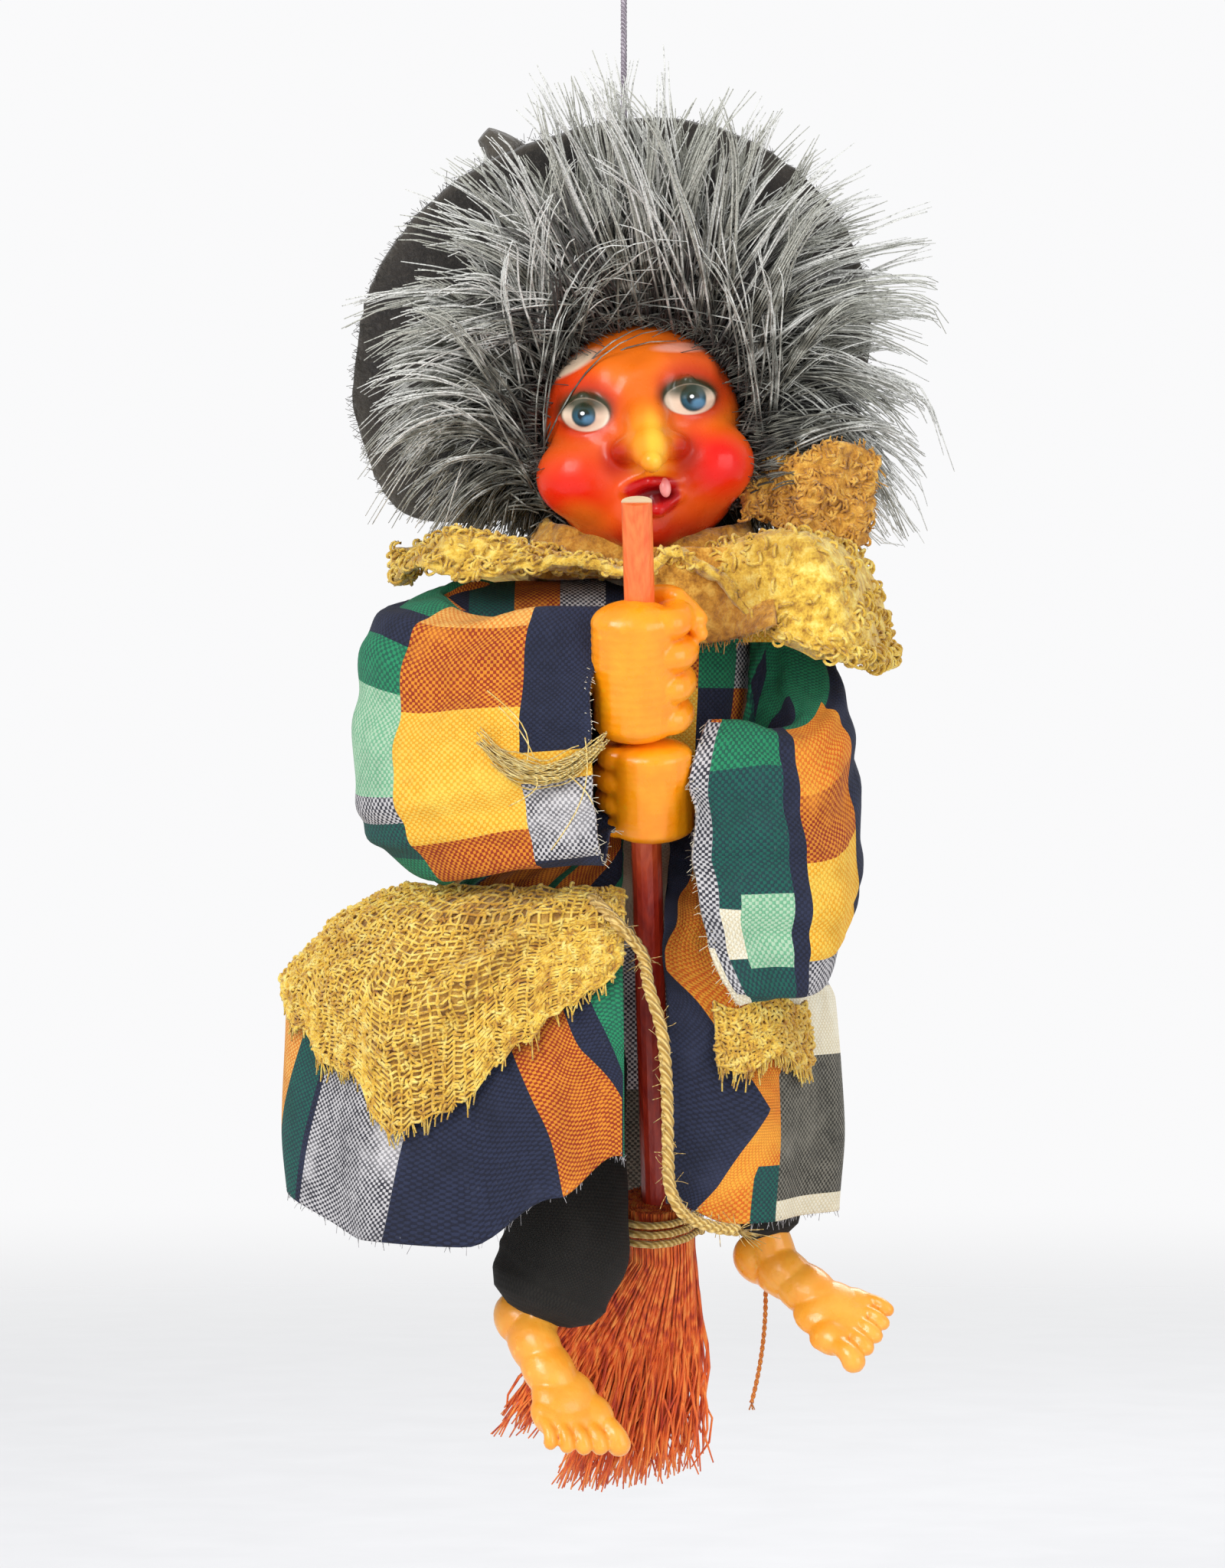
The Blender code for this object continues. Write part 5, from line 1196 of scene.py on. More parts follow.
FIST_HALF_WIDTH = 8.0 * MM
FIST_HALF_DEPTH = 7.2 * MM
FISTS = {"right": (Vector((2.805, -33.65, -128.757)) * MM, 23.8 * MM, 1),
         "left": (Vector((3.39, -26.125, -148.139)) * MM, 17.2 * MM, -1)}
THUMBS = {
    # across, back, up and thickness as shares of the fist; the right one's first finger too
    "right": (((0.10, 0.74, 0.44, 0.20), (0.78, 0.40, 0.46, 0.20), (1.22, -0.10, 0.24, 0.17)),
              ((-0.55, 0.60, 0.20, 0.27), (0.10, 0.98, 0.30, 0.30), (0.70, 0.72, 0.40, 0.27),
               (1.18, 0.05, 0.33, 0.21))),
    "left": (((-0.62, 0.66, 0.02, 0.26), (-0.10, 0.98, 0.14, 0.27), (0.45, 0.96, 0.24, 0.25),
              (0.80, 0.66, 0.26, 0.19)),),
}


def fist_frame():
    side = square_to(RIGHT, STICK_DOWN)
    return side, side.cross(STICK_DOWN)


def hands(plastic):
    """Two fists round the stick: a smooth back, curled fingers and a thumb."""
    across, back = fist_frame()
    up = -STICK_DOWN
    for side_name, (centre, height, grip) in FISTS.items():
        def spot(x, y, z):
            return (centre + across * x * grip * FIST_HALF_WIDTH
                    + back * y * FIST_HALF_DEPTH + up * z * height)

        turn = Matrix((across, back, up)).transposed()
        forms = [("ball", spot(-0.10, -0.36, 0.0),
                  Vector((0.88 * FIST_HALF_WIDTH, 0.64 * FIST_HALF_DEPTH, 0.52 * height)), turn)]
        for n in range(13):
            z = 0.36 - 0.06 * n
            forms.append(("ball", spot(-0.14, -0.34, z),
                          Vector((0.88 * FIST_HALF_WIDTH, 0.76 * FIST_HALF_DEPTH, 0.15 * height)),
                          turn))
        for n in range(4):
            z = 0.36 - 0.235 * n
            size = (0.120 - 0.008 * abs(n - 1)) * height
            wide = 1.0 - 0.05 * abs(n - 1)
            rows = [(*spot(0.16, -0.42, z * 0.96), size * 0.95),
                    (*spot(0.48, -0.50, z), size * 1.00),
                    (*spot(0.76 * wide, -0.40, z), size),
                    (*spot(0.84 * wide, 0.10, z), size),
                    (*spot(0.55, 0.62, z), size * 0.96),
                    (*spot(0.05, 0.74, z), size * 0.90)]
            forms.append(("limb", rows))
        for rows in THUMBS[side_name]:
            forms.append(("limb", [(*spot(x, y, z), thick * FIST_HALF_WIDTH)
                                   for x, y, z, thick in rows]))
        out = -RIGHT if side_name == "right" else RIGHT
        end = centre + out * (FIST_HALF_WIDTH + 9.7 * MM)
        end.y += 3.5 * MM
        wrist = [(*(centre + out * 4.0 * MM), 4.8 * MM), (*end, 4.0 * MM)]
        forms.append(("limb", wrist))
        fist = fuse(side_name + "_fist", forms, 0.34 * MM, 4, plastic, "torso")
        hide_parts(side_name + "_hand")


# Feet

FEET = {
    # heel in mm, ways along it, to its inner side and up, ankle's top in mm, its way down
    "right": (Vector((-19.562, -5.971, -234.295)), Vector((0.454469, -0.454469, -0.766105)),
              Vector((0.822143, 0.545029, 0.16439)), Vector((0.342839, -0.704558, 0.621337)),
              Vector((-12.71, -9.28, -232.6)), Vector((-0.335578, -0.067116, -0.939619))),
    "left": (Vector((19.942, 1.889, -226.258)), Vector((0.698569, -0.548876, -0.45906)),
             Vector((-0.711406, -0.463874, -0.527942)), Vector((-0.076829, -0.695382, 0.714522)),
             Vector((24.055, -2.82, -221.6)), Vector((0.213697, 0, -0.9769))),
}
FOOT_LENGTH = 33.0 * MM
FOOT_HALF_WIDTH = 8.0 * MM
FOOT_HALF_HEIGHT = 4.8 * MM


def feet(plastic):
    """Bare moulded feet: heel, arch, ball and five toes."""
    for side_name, (heel, along, inner, upper, stem, down) in FEET.items():
        heel, stem = heel * MM, stem * MM

        def spot(a, b, c):
            return (heel + along * a * FOOT_LENGTH + inner * b * FOOT_HALF_WIDTH
                    + upper * c * FOOT_HALF_HEIGHT)

        turn = Matrix((along, inner, upper)).transposed()
        forms = []
        for a, b, c, x, y, z in (
            (0.13, 0.0, 0.02, 0.150, 0.52, 0.92),
            (0.30, -0.02, 0.12, 0.200, 0.52, 0.95),
            (0.46, -0.02, 0.10, 0.200, 0.56, 0.82),
            (0.62, 0.05, 0.00, 0.170, 0.74, 0.66),
            (0.74, 0.12, -0.08, 0.120, 0.84, 0.50),
            (0.76, 0.52, -0.06, 0.120, 0.40, 0.56),
            (0.70, -0.50, -0.12, 0.120, 0.36, 0.46),
        ):
            halves = Vector((x * FOOT_LENGTH, y * FOOT_HALF_WIDTH, z * FOOT_HALF_HEIGHT))
            forms.append(("ball", spot(a, b, c), halves, turn))
        for b, reach, size in ((-0.80, 0.895, 0.135), (-0.47, 0.935, 0.150), (-0.12, 0.965, 0.160),
                               (0.24, 0.985, 0.170), (0.68, 1.00, 0.240)):
            thick = FOOT_HALF_WIDTH * size
            rows = [(*spot(reach - 0.24, b * 0.84, -0.08), thick * 0.95),
                    (*spot(reach - 0.10, b * 0.96, 0.12), thick * 0.92),
                    (*spot(reach - 0.045, b, -0.06), thick * 1.10)]
            forms.append(("limb", rows))
        ankle = [(*(stem + down * 0.4 * MM), 3.0 * MM), (*(stem + down * 4.4 * MM), 3.7 * MM),
                 (*(stem + down * 8.8 * MM), 4.0 * MM)]
        forms.append(("limb", ankle))
        foot = fuse(side_name + "_bare_foot", forms, 0.36 * MM, 3, plastic,
                    side_name + "_foot")
        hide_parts(side_name + "_foot")


# Cloth

PLAID = {
    # warp, weft, how blotchy, and how strongly lint shows
    "navy": ((0.008, 0.010, 0.026), (0.018, 0.024, 0.058), 0.35, 0.10),
    "teal": ((0.008, 0.105, 0.080), (0.010, 0.040, 0.048), 0.35, 0.20),
    "green": ((0.016, 0.250, 0.110), (0.010, 0.100, 0.062), 0.3, 0.20),
    "pale_green": ((0.16, 0.42, 0.24), (0.42, 0.60, 0.42), 0.25, 0.4),
    "grey": ((0.030, 0.030, 0.042), (0.58, 0.56, 0.57), 0.2, 0.4),
    "charcoal": ((0.030, 0.028, 0.020), (0.19, 0.175, 0.14), 0.45, 0.5),
    "rust": ((0.30, 0.028, 0.005), (0.70, 0.24, 0.018), 0.25, 0.15),
    "peach": ((0.72, 0.22, 0.025), (0.84, 0.46, 0.11), 0.3, 0.3),
    "orange": ((0.68, 0.13, 0.008), (0.82, 0.34, 0.03), 0.3, 0.2),
    "yellow": ((0.80, 0.36, 0.015), (0.88, 0.56, 0.08), 0.25, 0.3),
    "cream": ((0.72, 0.62, 0.42), (0.84, 0.78, 0.62), 0.2, 0.3),
}
KINDS = {name: n for n, name in enumerate(PLAID)}


def plaid_cloths():
    return [weave_material("plaid_" + name, warp, weft, mottle=mottle, lint=lint)
            for name, (warp, weft, mottle, lint) in PLAID.items()]


def cloth(name, columns, rows, locate, body, materials, choose=None, closed=False,
          thick=0.6 * MM):
    """A woven sheet over a grid, with its weave's coordinates in metres."""
    wide = columns if closed else columns + 1
    points = np.array([locate(c / columns, r / rows) for r in range(rows + 1) for c in range(wide)])
    grid = points.reshape(rows + 1, wide, 3)
    step = np.linalg.norm(np.diff(grid, axis=1), axis=2).mean(axis=0)
    across = np.concatenate([[0], np.cumsum(step)])
    drop = np.linalg.norm(np.diff(grid, axis=0), axis=2).mean(axis=1)
    along = np.concatenate([[0], np.cumsum(drop)])
    uvs = np.stack(np.meshgrid(across[:wide], along), axis=-1).reshape(-1, 2)
    faces = grid_faces(columns, rows, closed)
    kinds = None
    if choose:
        kinds = []
        for r in range(rows):
            for c in range(columns):
                kinds.append(KINDS[choose((c + 0.5) / columns, (r + 0.5) / rows)])
    area = 0.0
    for r in range(rows):
        for c in range(columns):
            a, b, d, e = (points[i] for i in faces[r * columns + c])
            area += np.linalg.norm(np.cross(d - a, e - b)) / 2
    piece = add_piece(name, points, faces, materials, None, kinds, uvs)
    thicken(piece, thick)
    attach(piece, body)
    return piece, area, along[-1]


def hem_of(locate, count, inner):
    """Places along a cloth's lower edge, and the way out of the cloth at each."""
    edge = [locate(n / count, 1.0) for n in range(count + 1)]
    return edge, [at - locate(n / count, inner) for n, at in enumerate(edge)]


# Sleeves

SLEEVE_REACH = 45.0 * MM
SLEEVES = {
    # outward, forward, down, half depth inside, half depth outside, half height
    "right": ((0.00, 0.00, 0.00, 0.16, 0.16, 0.16), (0.20, 0.02, 0.14, 0.15, 0.22, 0.30),
              (0.40, 0.16, 0.34, 0.15, 0.26, 0.44), (0.34, 0.42, 0.40, 0.16, 0.26, 0.48),
              (0.12, 0.60, 0.38, 0.20, 0.22, 0.46), (-0.12, 0.68, 0.36, 0.21, 0.21, 0.43)),
    "left": ((0.00, 0.00, 0.00, 0.16, 0.16, 0.16), (0.14, 0.02, 0.18, 0.14, 0.18, 0.30),
             (0.22, 0.12, 0.54, 0.14, 0.24, 0.40), (0.16, 0.32, 0.78, 0.14, 0.24, 0.48),
             (-0.02, 0.46, 0.82, 0.18, 0.22, 0.49), (-0.16, 0.55, 0.82, 0.20, 0.21, 0.48)),
}
# how far the sleeve's lower side leans outward and forward
SLEEVE_LEAN = {"right": (0.00, 0.22), "left": (0.20, 0.42)}
SLEEVE_START = 17.4 * MM + 1.5 * MM


def bump_over(degrees, first, last, soft):
    """1 between first and last, eased to 0 at both over the soft width."""
    rise = min(max((degrees - first) / soft, 0), 1)
    fall = min(max((last - degrees) / soft, 0), 1)
    return (rise * rise * (3 - 2 * rise)) * (fall * fall * (3 - 2 * fall))


def sleeve_locator(side_name):
    sign = -1 if side_name == "right" else 1
    start = Vector((BODY_SIDE + sign * SLEEVE_START, 0, SHOULDER_LEVEL))
    rows = []
    for out, forward, down, *halves in SLEEVES[side_name]:
        centre = start + Vector((sign * out, -forward, -down)) * SLEEVE_REACH
        rows.append((*centre, *(SLEEVE_REACH * half for half in halves)))
    fine = smooth_rows(rows, 16)
    outward, forward = SLEEVE_LEAN[side_name]
    lean = Vector((sign * outward, -forward, 0))
    last = len(fine) - 1

    def locate(around, along):
        where = along * last
        n = min(int(where), last - 1)
        row = row_at(fine, along)
        before, after = fine[max(n - 8, 0)], fine[min(n + 8, last)]
        way = Vector(after[:3]) - Vector(before[:3])
        way.z = 0
        inward = way.normalized().cross(UP) * sign
        turn = math.tau * around
        fold = 1 + 0.05 * math.sin(turn * 5 + where * 0.5 / 8)
        c, s = math.cos(turn), math.sin(turn)
        square = 1 - 0.16 * math.sin(math.pi * min(along * 1.5, 1))
        c, s = math.copysign(abs(c) ** square, c), math.copysign(abs(s) ** square, s)
        rise = row[5] * s * fold
        half = row[3] if c > 0 else row[4]
        grow = min(along * 4, 1)
        crease = crease_at(c * 1.7, s * 1.7, along * 5.5)
        fine_fold = math.sin(turn * 13 + 3 * crease + where * 0.12) * 0.35 * MM
        out = (crease * 1.5 * MM + fine_fold) * grow
        spot = Vector(row[:3]) + inward * (half * c * fold + out * c)
        spot += UP * (rise + out * s)
        puff = (3.0 if side_name == "right" else 0.8) * MM
        spot += UP * puff * max(s, 0) * bump_over(along, 0.06, 0.75, 0.25)
        mouth = ease(((0.55, 0), (1, 1)), along)
        if side_name == "left":
            front = ease(((-1, 1), (0.3, 0)), c)
            spot += Vector((-9.5, -3.0, 0)) * MM * mouth * front
            spot.x -= 5.0 * MM * front * bump_over(along, 0.05, 0.75, 0.25)
            spot.x -= 6.0 * MM * ease(((-0.3, 0), (0.8, 1)), c) * bump_over(along, 0.02, 0.62, 0.2)
        else:
            spot += Vector((6.2, -0.6, 0)) * MM * mouth
        flare = 0.9 * MM * max(along - 0.9, 0) * 10 * math.sin(turn * 7 + 1.0)
        spot += (inward * c + UP * s) * flare
        return spot + lean * max(-rise, 0) * along

    return locate


# share along the sleeve, then blocks by share round it: inner side, top, front, bottom
SLEEVE_BLOCKS = {
    "right": (
        (0.20, ((0.36, "green"), (0.48, "navy"), (1.0, "rust"))),
        (0.62, ((0.20, "rust"), (0.31, "green"), (0.38, "navy"), (0.44, "green"),
                (0.56, "pale_green"), (0.60, "grey"), (0.68, "teal"), (0.78, "green"),
                (1.0, "navy"))),
        (0.84, ((0.20, "navy"), (0.34, "peach"), (0.46, "rust"), (0.64, "yellow"),
                (0.78, "rust"), (1.0, "grey"))),
        (1.0, ((0.52, "navy"), (0.56, "yellow"), (0.70, "grey"), (1.0, "navy"))),
    ),
    "left": (
        (0.20, ((0.45, "green"), (1.0, "navy"))),
        (0.50, ((0.30, "green"), (0.78, "navy"), (1.0, "teal"))),
        (0.70, ((0.20, "navy"), (0.28, "green"), (0.42, "orange"), (0.51, "rust"),
                (0.65, "yellow"), (0.78, "grey"), (1.0, "navy"))),
        (0.74, ((1.0, "navy"),)),
        (0.86, ((0.20, "navy"), (0.38, "green"), (0.54, "teal"), (0.66, "pale_green"),
                (0.78, "teal"), (1.0, "navy"))),
        (0.92, ((0.20, "navy"), (0.38, "green"), (0.56, "teal"), (0.64, "cream"),
                (0.78, "teal"), (1.0, "navy"))),
        (0.975, ((0.30, "rust"), (0.70, "grey"), (0.88, "cream"), (1.0, "grey"))),
        (1.0, ((0.62, "grey"), (1.0, "cream"))),
    ),
}


def sleeve_kind(side_name, around, along):
    blocks = next(row for limit, row in SLEEVE_BLOCKS[side_name] if along < limit)
    return next(kind for limit, kind in blocks if around < limit)


def fray(name, seed, edge, outward, count, reach, radius, material, body, droop=0.4):
    """Loose threads along an edge given by points and outward directions."""
    rng = random.Random(seed)
    edge = [Vector(p) for p in edge]
    paths = []
    for _ in range(count):
        n = rng.randrange(len(edge) - 1)
        at = edge[n].lerp(edge[n + 1], rng.random())
        way = Vector(outward[n]).normalized()
        way += scatter(rng, 0.45)
        fall = Vector((0, 0, -droop * rng.uniform(0.3, 1.5)))
        size = reach * rng.uniform(0.3, 1.3)
        start = at - way * 0.6 * MM
        paths.append([start + (way * t + fall * t * t) * size for t in (0, 0.25, 0.5, 0.75, 1)])
    return strands(name, paths, radius, material, body)


def sleeves(cloths, fibre):
    for side_name in ("right", "left"):
        locate = sleeve_locator(side_name)
        piece, area, length = cloth(side_name + "_bell_sleeve", 150, 100, locate, "torso", cloths,
                                    lambda around, along: sleeve_kind(side_name, around, along),
                                    closed=True)
        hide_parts(side_name + "_sleeve")
        edge, way = hem_of(locate, 60, 0.97)
        seed = 41 if side_name == "right" else 42
        material = cloths[KINDS["cream"]]
        lint = fray(side_name + "_cuff_fray", seed, edge, way, 210, 1.3 * MM, 0.06 * MM,
                    material, "torso")
    torn_strip(fibre)


def torn_strip(fibre):
    """The frayed yellow strip that hangs out of the right cuff."""
    rng = random.Random(8)
    guide = [(630, 968, -36.5), (672, 1004, -40.0), (722, 1012, -41.5), (768, 986, -41.0),
             (800, 950, -39.0)]
    rows = smooth_rows([(photo_x(x), y * MM, photo_z(z)) for x, z, y in guide], 5)
    paths = []
    for _ in range(80):
        spread = np.array([rng.gauss(0, 0.4), rng.gauss(0, 0.4), rng.gauss(0, 0.6)]) * MM
        curl, phase = rng.uniform(0.1, 0.5) * MM, rng.uniform(0, math.tau)
        first = rng.randrange(0, 6)
        path = []
        for n in range(14):
            k = min(first + n, len(rows) - 1) + 0.02 * n
            row = rows[min(int(k), len(rows) - 1)]
            wide = 1.5 - 0.9 * abs(k / len(rows) - 0.3)
            lift = curl * math.sin(phase + n * 1.1)
            path.append(row + spread * wide + np.array((0.02 * MM * n, lift, lift)))
        paths.append(path)
    strands("torn_yellow_strip", paths, 0.13 * MM, fibre, "torso")
    loose = []
    for x, z, end_x, end_z in ((765, 965, 722, 1108), (700, 1010, 668, 1052), (640, 905, 690, 1000),
                               (655, 925, 700, 990), (740, 1010, 775, 1050)):
        a = Vector((photo_x(x), -41.5 * MM, photo_z(z)))
        b = Vector((photo_x(end_x), -42.5 * MM, photo_z(end_z)))
        bend = Vector((rng.uniform(-3, 3), -1.2, 0)) * MM
        loose.append([a.lerp(b, t) + bend * math.sin(math.pi * t) for t in np.linspace(0, 1, 10)])
    strands("loose_threads", loose, 0.11 * MM, fibre, "torso", 5)


# Skirt

# degrees from the front, share of the skirt's length
SKIRT_HEM = ((-180, 0.96), (-110, 0.92), (-86, 0.90), (-42, 1.01), (-20, 1.02), (0, 0.90),
             (12, 0.80), (26, 0.92), (40, 0.97), (75, 0.96), (180, 0.96))


def skirt_fine_point(degrees, down):
    """The skirt with its real folds, deeper towards the hem."""
    turn = math.radians(degrees)
    wave = 1.5 * MM * crease_at(math.sin(turn) * 3.2, math.cos(turn) * 3.2, 1.5)
    gather = 0.5 * MM * math.sin(turn * 34) * max(0.45 - down, 0) * 2.2
    return skirt_point(degrees, down, out=wave * down + gather)


# from the slit's right edge round the back to its left edge: the kinds by share down, then
# the band's far edge as angles by share down
SKIRT_BANDS = (
    ((("navy", 9),), ((0.36, 25), (0.46, 32.5), (0.70, 48.0), (0.917, 31.6), (1, 28))),
    ((("orange", 9),), ((0.5, 44.5), (0.7, 49.5), (0.86, 44), (1, 43.5))),
    ((("orange", 0.86), ("teal", 9)), ((0.55, 56), (0.62, 51), (1, 51))),
    ((("grey", 0.43), ("cream", 0.60), ("charcoal", 0.955), ("cream", 9)), ((0.5, 97), (1, 92))),
    ((("navy", 0.50), ("teal", 9)), ((0.4, 116), (1, 112))),
    ((("rust", 0.72), ("orange", 9)), ((0.4, 136), (1, 134))),
    ((("green", 0.45), ("navy", 9)), ((0.4, 152), (1, 153))),
    ((("grey", 0.72), ("charcoal", 9)), ((0.4, 172), (1, 175))),
    ((("navy", 0.50), ("teal", 9)), ((0.4, 192), (1, 197))),
    ((("yellow", 0.72), ("orange", 9)), ((0.4, 212), (1, 216))),
    ((("rust", 0.50), ("navy", 9)), ((0.4, 232), (1, 234))),
    ((("teal", 9),), ((0.4, 248), (1, 246))),
    ((("navy", 0.72), ("grey", 9)), ((0.4, 270), (1, 258))),
    ((("peach", 9),), ((0.4, 298), (0.507, 294), (0.887, 275), (1.05, 267))),
    ((("green", 0.5), ("teal", 9)), ((0.4, 308), (0.562, 302), (0.896, 289), (1.05, 283.5))),
    ((("navy", 9),), ((0.4, 310), (0.562, 304), (0.896, 291), (1.05, 285.5))),
    ((("rust", 0.4), ("grey", 9)), ((0.3, 338), (0.5, 334.5), (0.749, 328.6), (1.018, 322))),
    ((("green", 0.36), ("navy", 9)), ((0.3, 341), (0.581, 352), (0.878, 363.8), (1.05, 371))),
    ((("rust", 9),), ((0.25, 352), (0.468, 362.7), (0.728, 376.3), (1, 390))),
    ((("navy", 9),), ((0.25, 360), (0.422, 367), (0.645, 374.6), (1, 386))),
    ((("green", 9),), ((0, 400), (1, 400))),
)
SKIRT_COLUMNS = (14, 10, 6, 26, 14, 14, 12, 14, 14, 14, 14, 12, 14, 16, 10, 2, 24, 20, 12, 4, 8)


def skirt_edge(n, level):
    """The angle of band n's far edge, kept between the slit's edges and in order."""
    low, high = slit_degrees(level)
    last = len(SKIRT_BANDS)
    if n < 0:
        return high
    if n == last - 1:
        return 360 + low
    table = SKIRT_BANDS[n][1]
    angle = float(np.interp(level, [row[0] for row in table], [row[1] for row in table]))
    return min(max(angle, high + 0.25 * (n + 1)), 360 + low - 0.25 * (last - 1 - n))


def skirt_cloth_point(across, down):
    column = across * sum(SKIRT_COLUMNS)
    band = 0
    while band < len(SKIRT_BANDS) - 1 and column > SKIRT_COLUMNS[band]:
        column -= SKIRT_COLUMNS[band]
        band += 1
    share = column / SKIRT_COLUMNS[band]
    level = down
    for _ in range(2):
        degrees = skirt_edge(band - 1, level) * (1 - share) + skirt_edge(band, level) * share
        degrees = degrees if degrees <= 180 else degrees - 360
        level = down * ease(SKIRT_HEM, degrees)
    return skirt_fine_point(degrees, level)


def skirt_kind(across, down):
    column = across * sum(SKIRT_COLUMNS)
    band = 0
    while column > SKIRT_COLUMNS[band]:
        column -= SKIRT_COLUMNS[band]
        band += 1
    return next(kind for kind, limit in SKIRT_BANDS[band][0] if down < limit)


def skirt(cloths):
    piece, area, length = cloth("plaid_skirt", sum(SKIRT_COLUMNS), 100, skirt_cloth_point,
                                "torso", cloths, skirt_kind)
    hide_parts("skirt")
    edge, way = hem_of(skirt_cloth_point, 200, 0.97)
    lint = fray("hem_fray", 43, edge, way, 420, 1.1 * MM, 0.055 * MM, cloths[KINDS["grey"]],
                "torso")


def surface_of(locate, columns, rows):
    """The cloth's surface, for laying other cloth on it."""
    points = [tuple(locate(c / columns, r / rows)) for r in range(rows + 1)
              for c in range(columns + 1)]
    return BVHTree.FromPolygons(points, grid_faces(columns, rows))


YARN_STEPS = 70


def yarn_cloth(name, locate, columns, rows, thick, size, material, base_material, node, seed):
    """A loose open weave: a thin ground with real warp and weft yarns on it."""
    rng = random.Random(seed)
    base, area, length = cloth(name + "_ground", 60, 36, lambda u, v: locate(u, v, 0.0), "torso",
                               [base_material], thick=thick)
    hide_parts(node)
    paths = []
    for weft, count, crossings, rate in ((0, columns, rows, 1.7), (1, rows, columns, 1.3)):
        for n in range(count + 1):
            path = []
            for k in range(YARN_STEPS):
                along = k / (YARN_STEPS - 1)
                slip = 0.35 / count * crease_at(n * rate, along * 9, seed + 5 * weft)
                lift = math.sin(math.pi * (along * crossings + n + weft)) * size * 0.5
                across = min(max(n / count + slip, 0), 1)
                u, v = (along, across) if weft else (across, along)
                path.append(locate(u, v, thick / 2 + size * 0.7 + lift))
            paths.append(path)
    radii = [[size * (0.8 + 0.35 * crease_at(n * 2.1, k * 0.55, seed))
              for k in range(YARN_STEPS)] for n in range(len(paths))]
    yarns = strands(name + "_yarns", paths, radii, material, "torso", 5)
    loops = []
    for _ in range(int(columns * rows * 0.62)):
        u, v = rng.random(), 1 - rng.random() ** 1.2
        at = Vector(locate(u, v, thick / 2 + size))
        out = (Vector(locate(u, v, 4 * MM)) - Vector(locate(u, v, 0.0))).normalized()
        side = out.orthogonal().normalized()
        side.rotate(Matrix.Rotation(rng.uniform(0, math.tau), 3, out))
        reach = size * rng.uniform(0.9, 2.0)
        over = out.cross(side) * rng.uniform(-0.6, 0.6) * reach
        path = []
        for k in range(8):
            a = math.radians(-25 + 230 * k / 7)
            path.append(at + side * math.cos(a) * reach + out * math.sin(a) * reach * 0.75
                        + over * math.cos(a * 0.5))
        loops.append(path)
    curls = strands(name + "_curls", loops, size * 0.85, material, "torso", 5)
    edge, way = hem_of(lambda u, v: locate(u, v, 0.4 * MM), 120, 0.95)
    ends = fray(name + "_fringe", seed + 60, edge, way, 190, 1.5 * MM, size * 0.5, material,
                "torso", 0.7)


# share across the apron, share down the skirt of its lower edge
APRON_EDGE = ((0, 0.36), (0.077, 0.41), (0.108, 0.44), (0.21, 0.534), (0.26, 0.59),
              (0.313, 0.664), (0.446, 0.735), (0.477, 0.752), (0.53, 0.71), (0.545, 0.64),
              (0.58, 0.614), (0.69, 0.595), (0.815, 0.50), (0.877, 0.45), (0.96, 0.38), (1, 0.34))
BURLAP = 1.4 * MM


def burlap(wool, shade_ground_wool):
    surface = surface_of(skirt_cloth_point, 130, 40)

    def lay(degrees, down, out):
        near, normal, _, _ = surface.find_nearest(skirt_point(degrees, down))
        turn = math.radians(degrees)
        outward = Vector((math.sin(turn), -math.cos(turn), 0))
        normal = normal if normal.dot(outward) > 0 else -normal
        return near + (normal + outward).normalized() * out

    def apron_at(across, down, lift):
        ragged = crease_at(across * 46, 0.5, 2.0)
        foot = ease(APRON_EDGE, across) + 0.022 * ragged
        share = 0.19 + (foot - 0.19) * down
        low, _ = slit_degrees(share)
        degrees = low - 0.5 - (84 + low) * across
        ridge = math.exp(-(((across - 0.10 - 0.55 * down) / 0.06) ** 2))
        groove = math.exp(-(((across + 0.01 - 0.55 * down) / 0.035) ** 2))
        fade = math.sin(math.pi * min(down * 1.2, 1))
        out = 1.45 * MM + BURLAP * (1 - down) + (3.4 * ridge - 1.0 * groove) * fade * MM
        out += 0.7 * MM * crease_at(across * 11, down * 6, 4)
        return lay(degrees, share, out + lift)

    yarn_cloth("burlap_apron", apron_at, 46, 40, 0.5 * MM, 0.32 * MM, wool, shade_ground_wool, "apron", 3)

    def patch_at(across, down, lift):
        degrees = 34 + 29 * across
        share = 0.44 + 0.145 * down + 0.02 * math.sin(across * 9)
        return lay(degrees, share, 1.5 * MM + lift)

    yarn_cloth("burlap_patch", patch_at, 26, 14, 0.5 * MM, 0.34 * MM, wool, shade_ground_wool,
               "hip_patch", 7)


# Collar

COLLAR_RADIUS = 40.0 * MM
COLLAR_HOLE = 7.2 * MM
COLLAR_LEVEL = -112.15 * MM
COLLAR_SHAPE = (
    # degrees from the front, outer radius, rim height above the neck
    (-180, 0.62, -0.10), (-130, 0.80, 0.02), (-95, 1.08, 0.14), (-70, 1.00, 0.18),
    (-35, 0.66, 0.02), (0, 0.48, 0.0), (22, 0.44, 0.06), (37, 0.60, -0.02), (54, 1.04, -0.28),
    (75, 1.08, -0.22), (110, 0.96, -0.02), (150, 0.72, -0.04), (180, 0.62, -0.10),
)


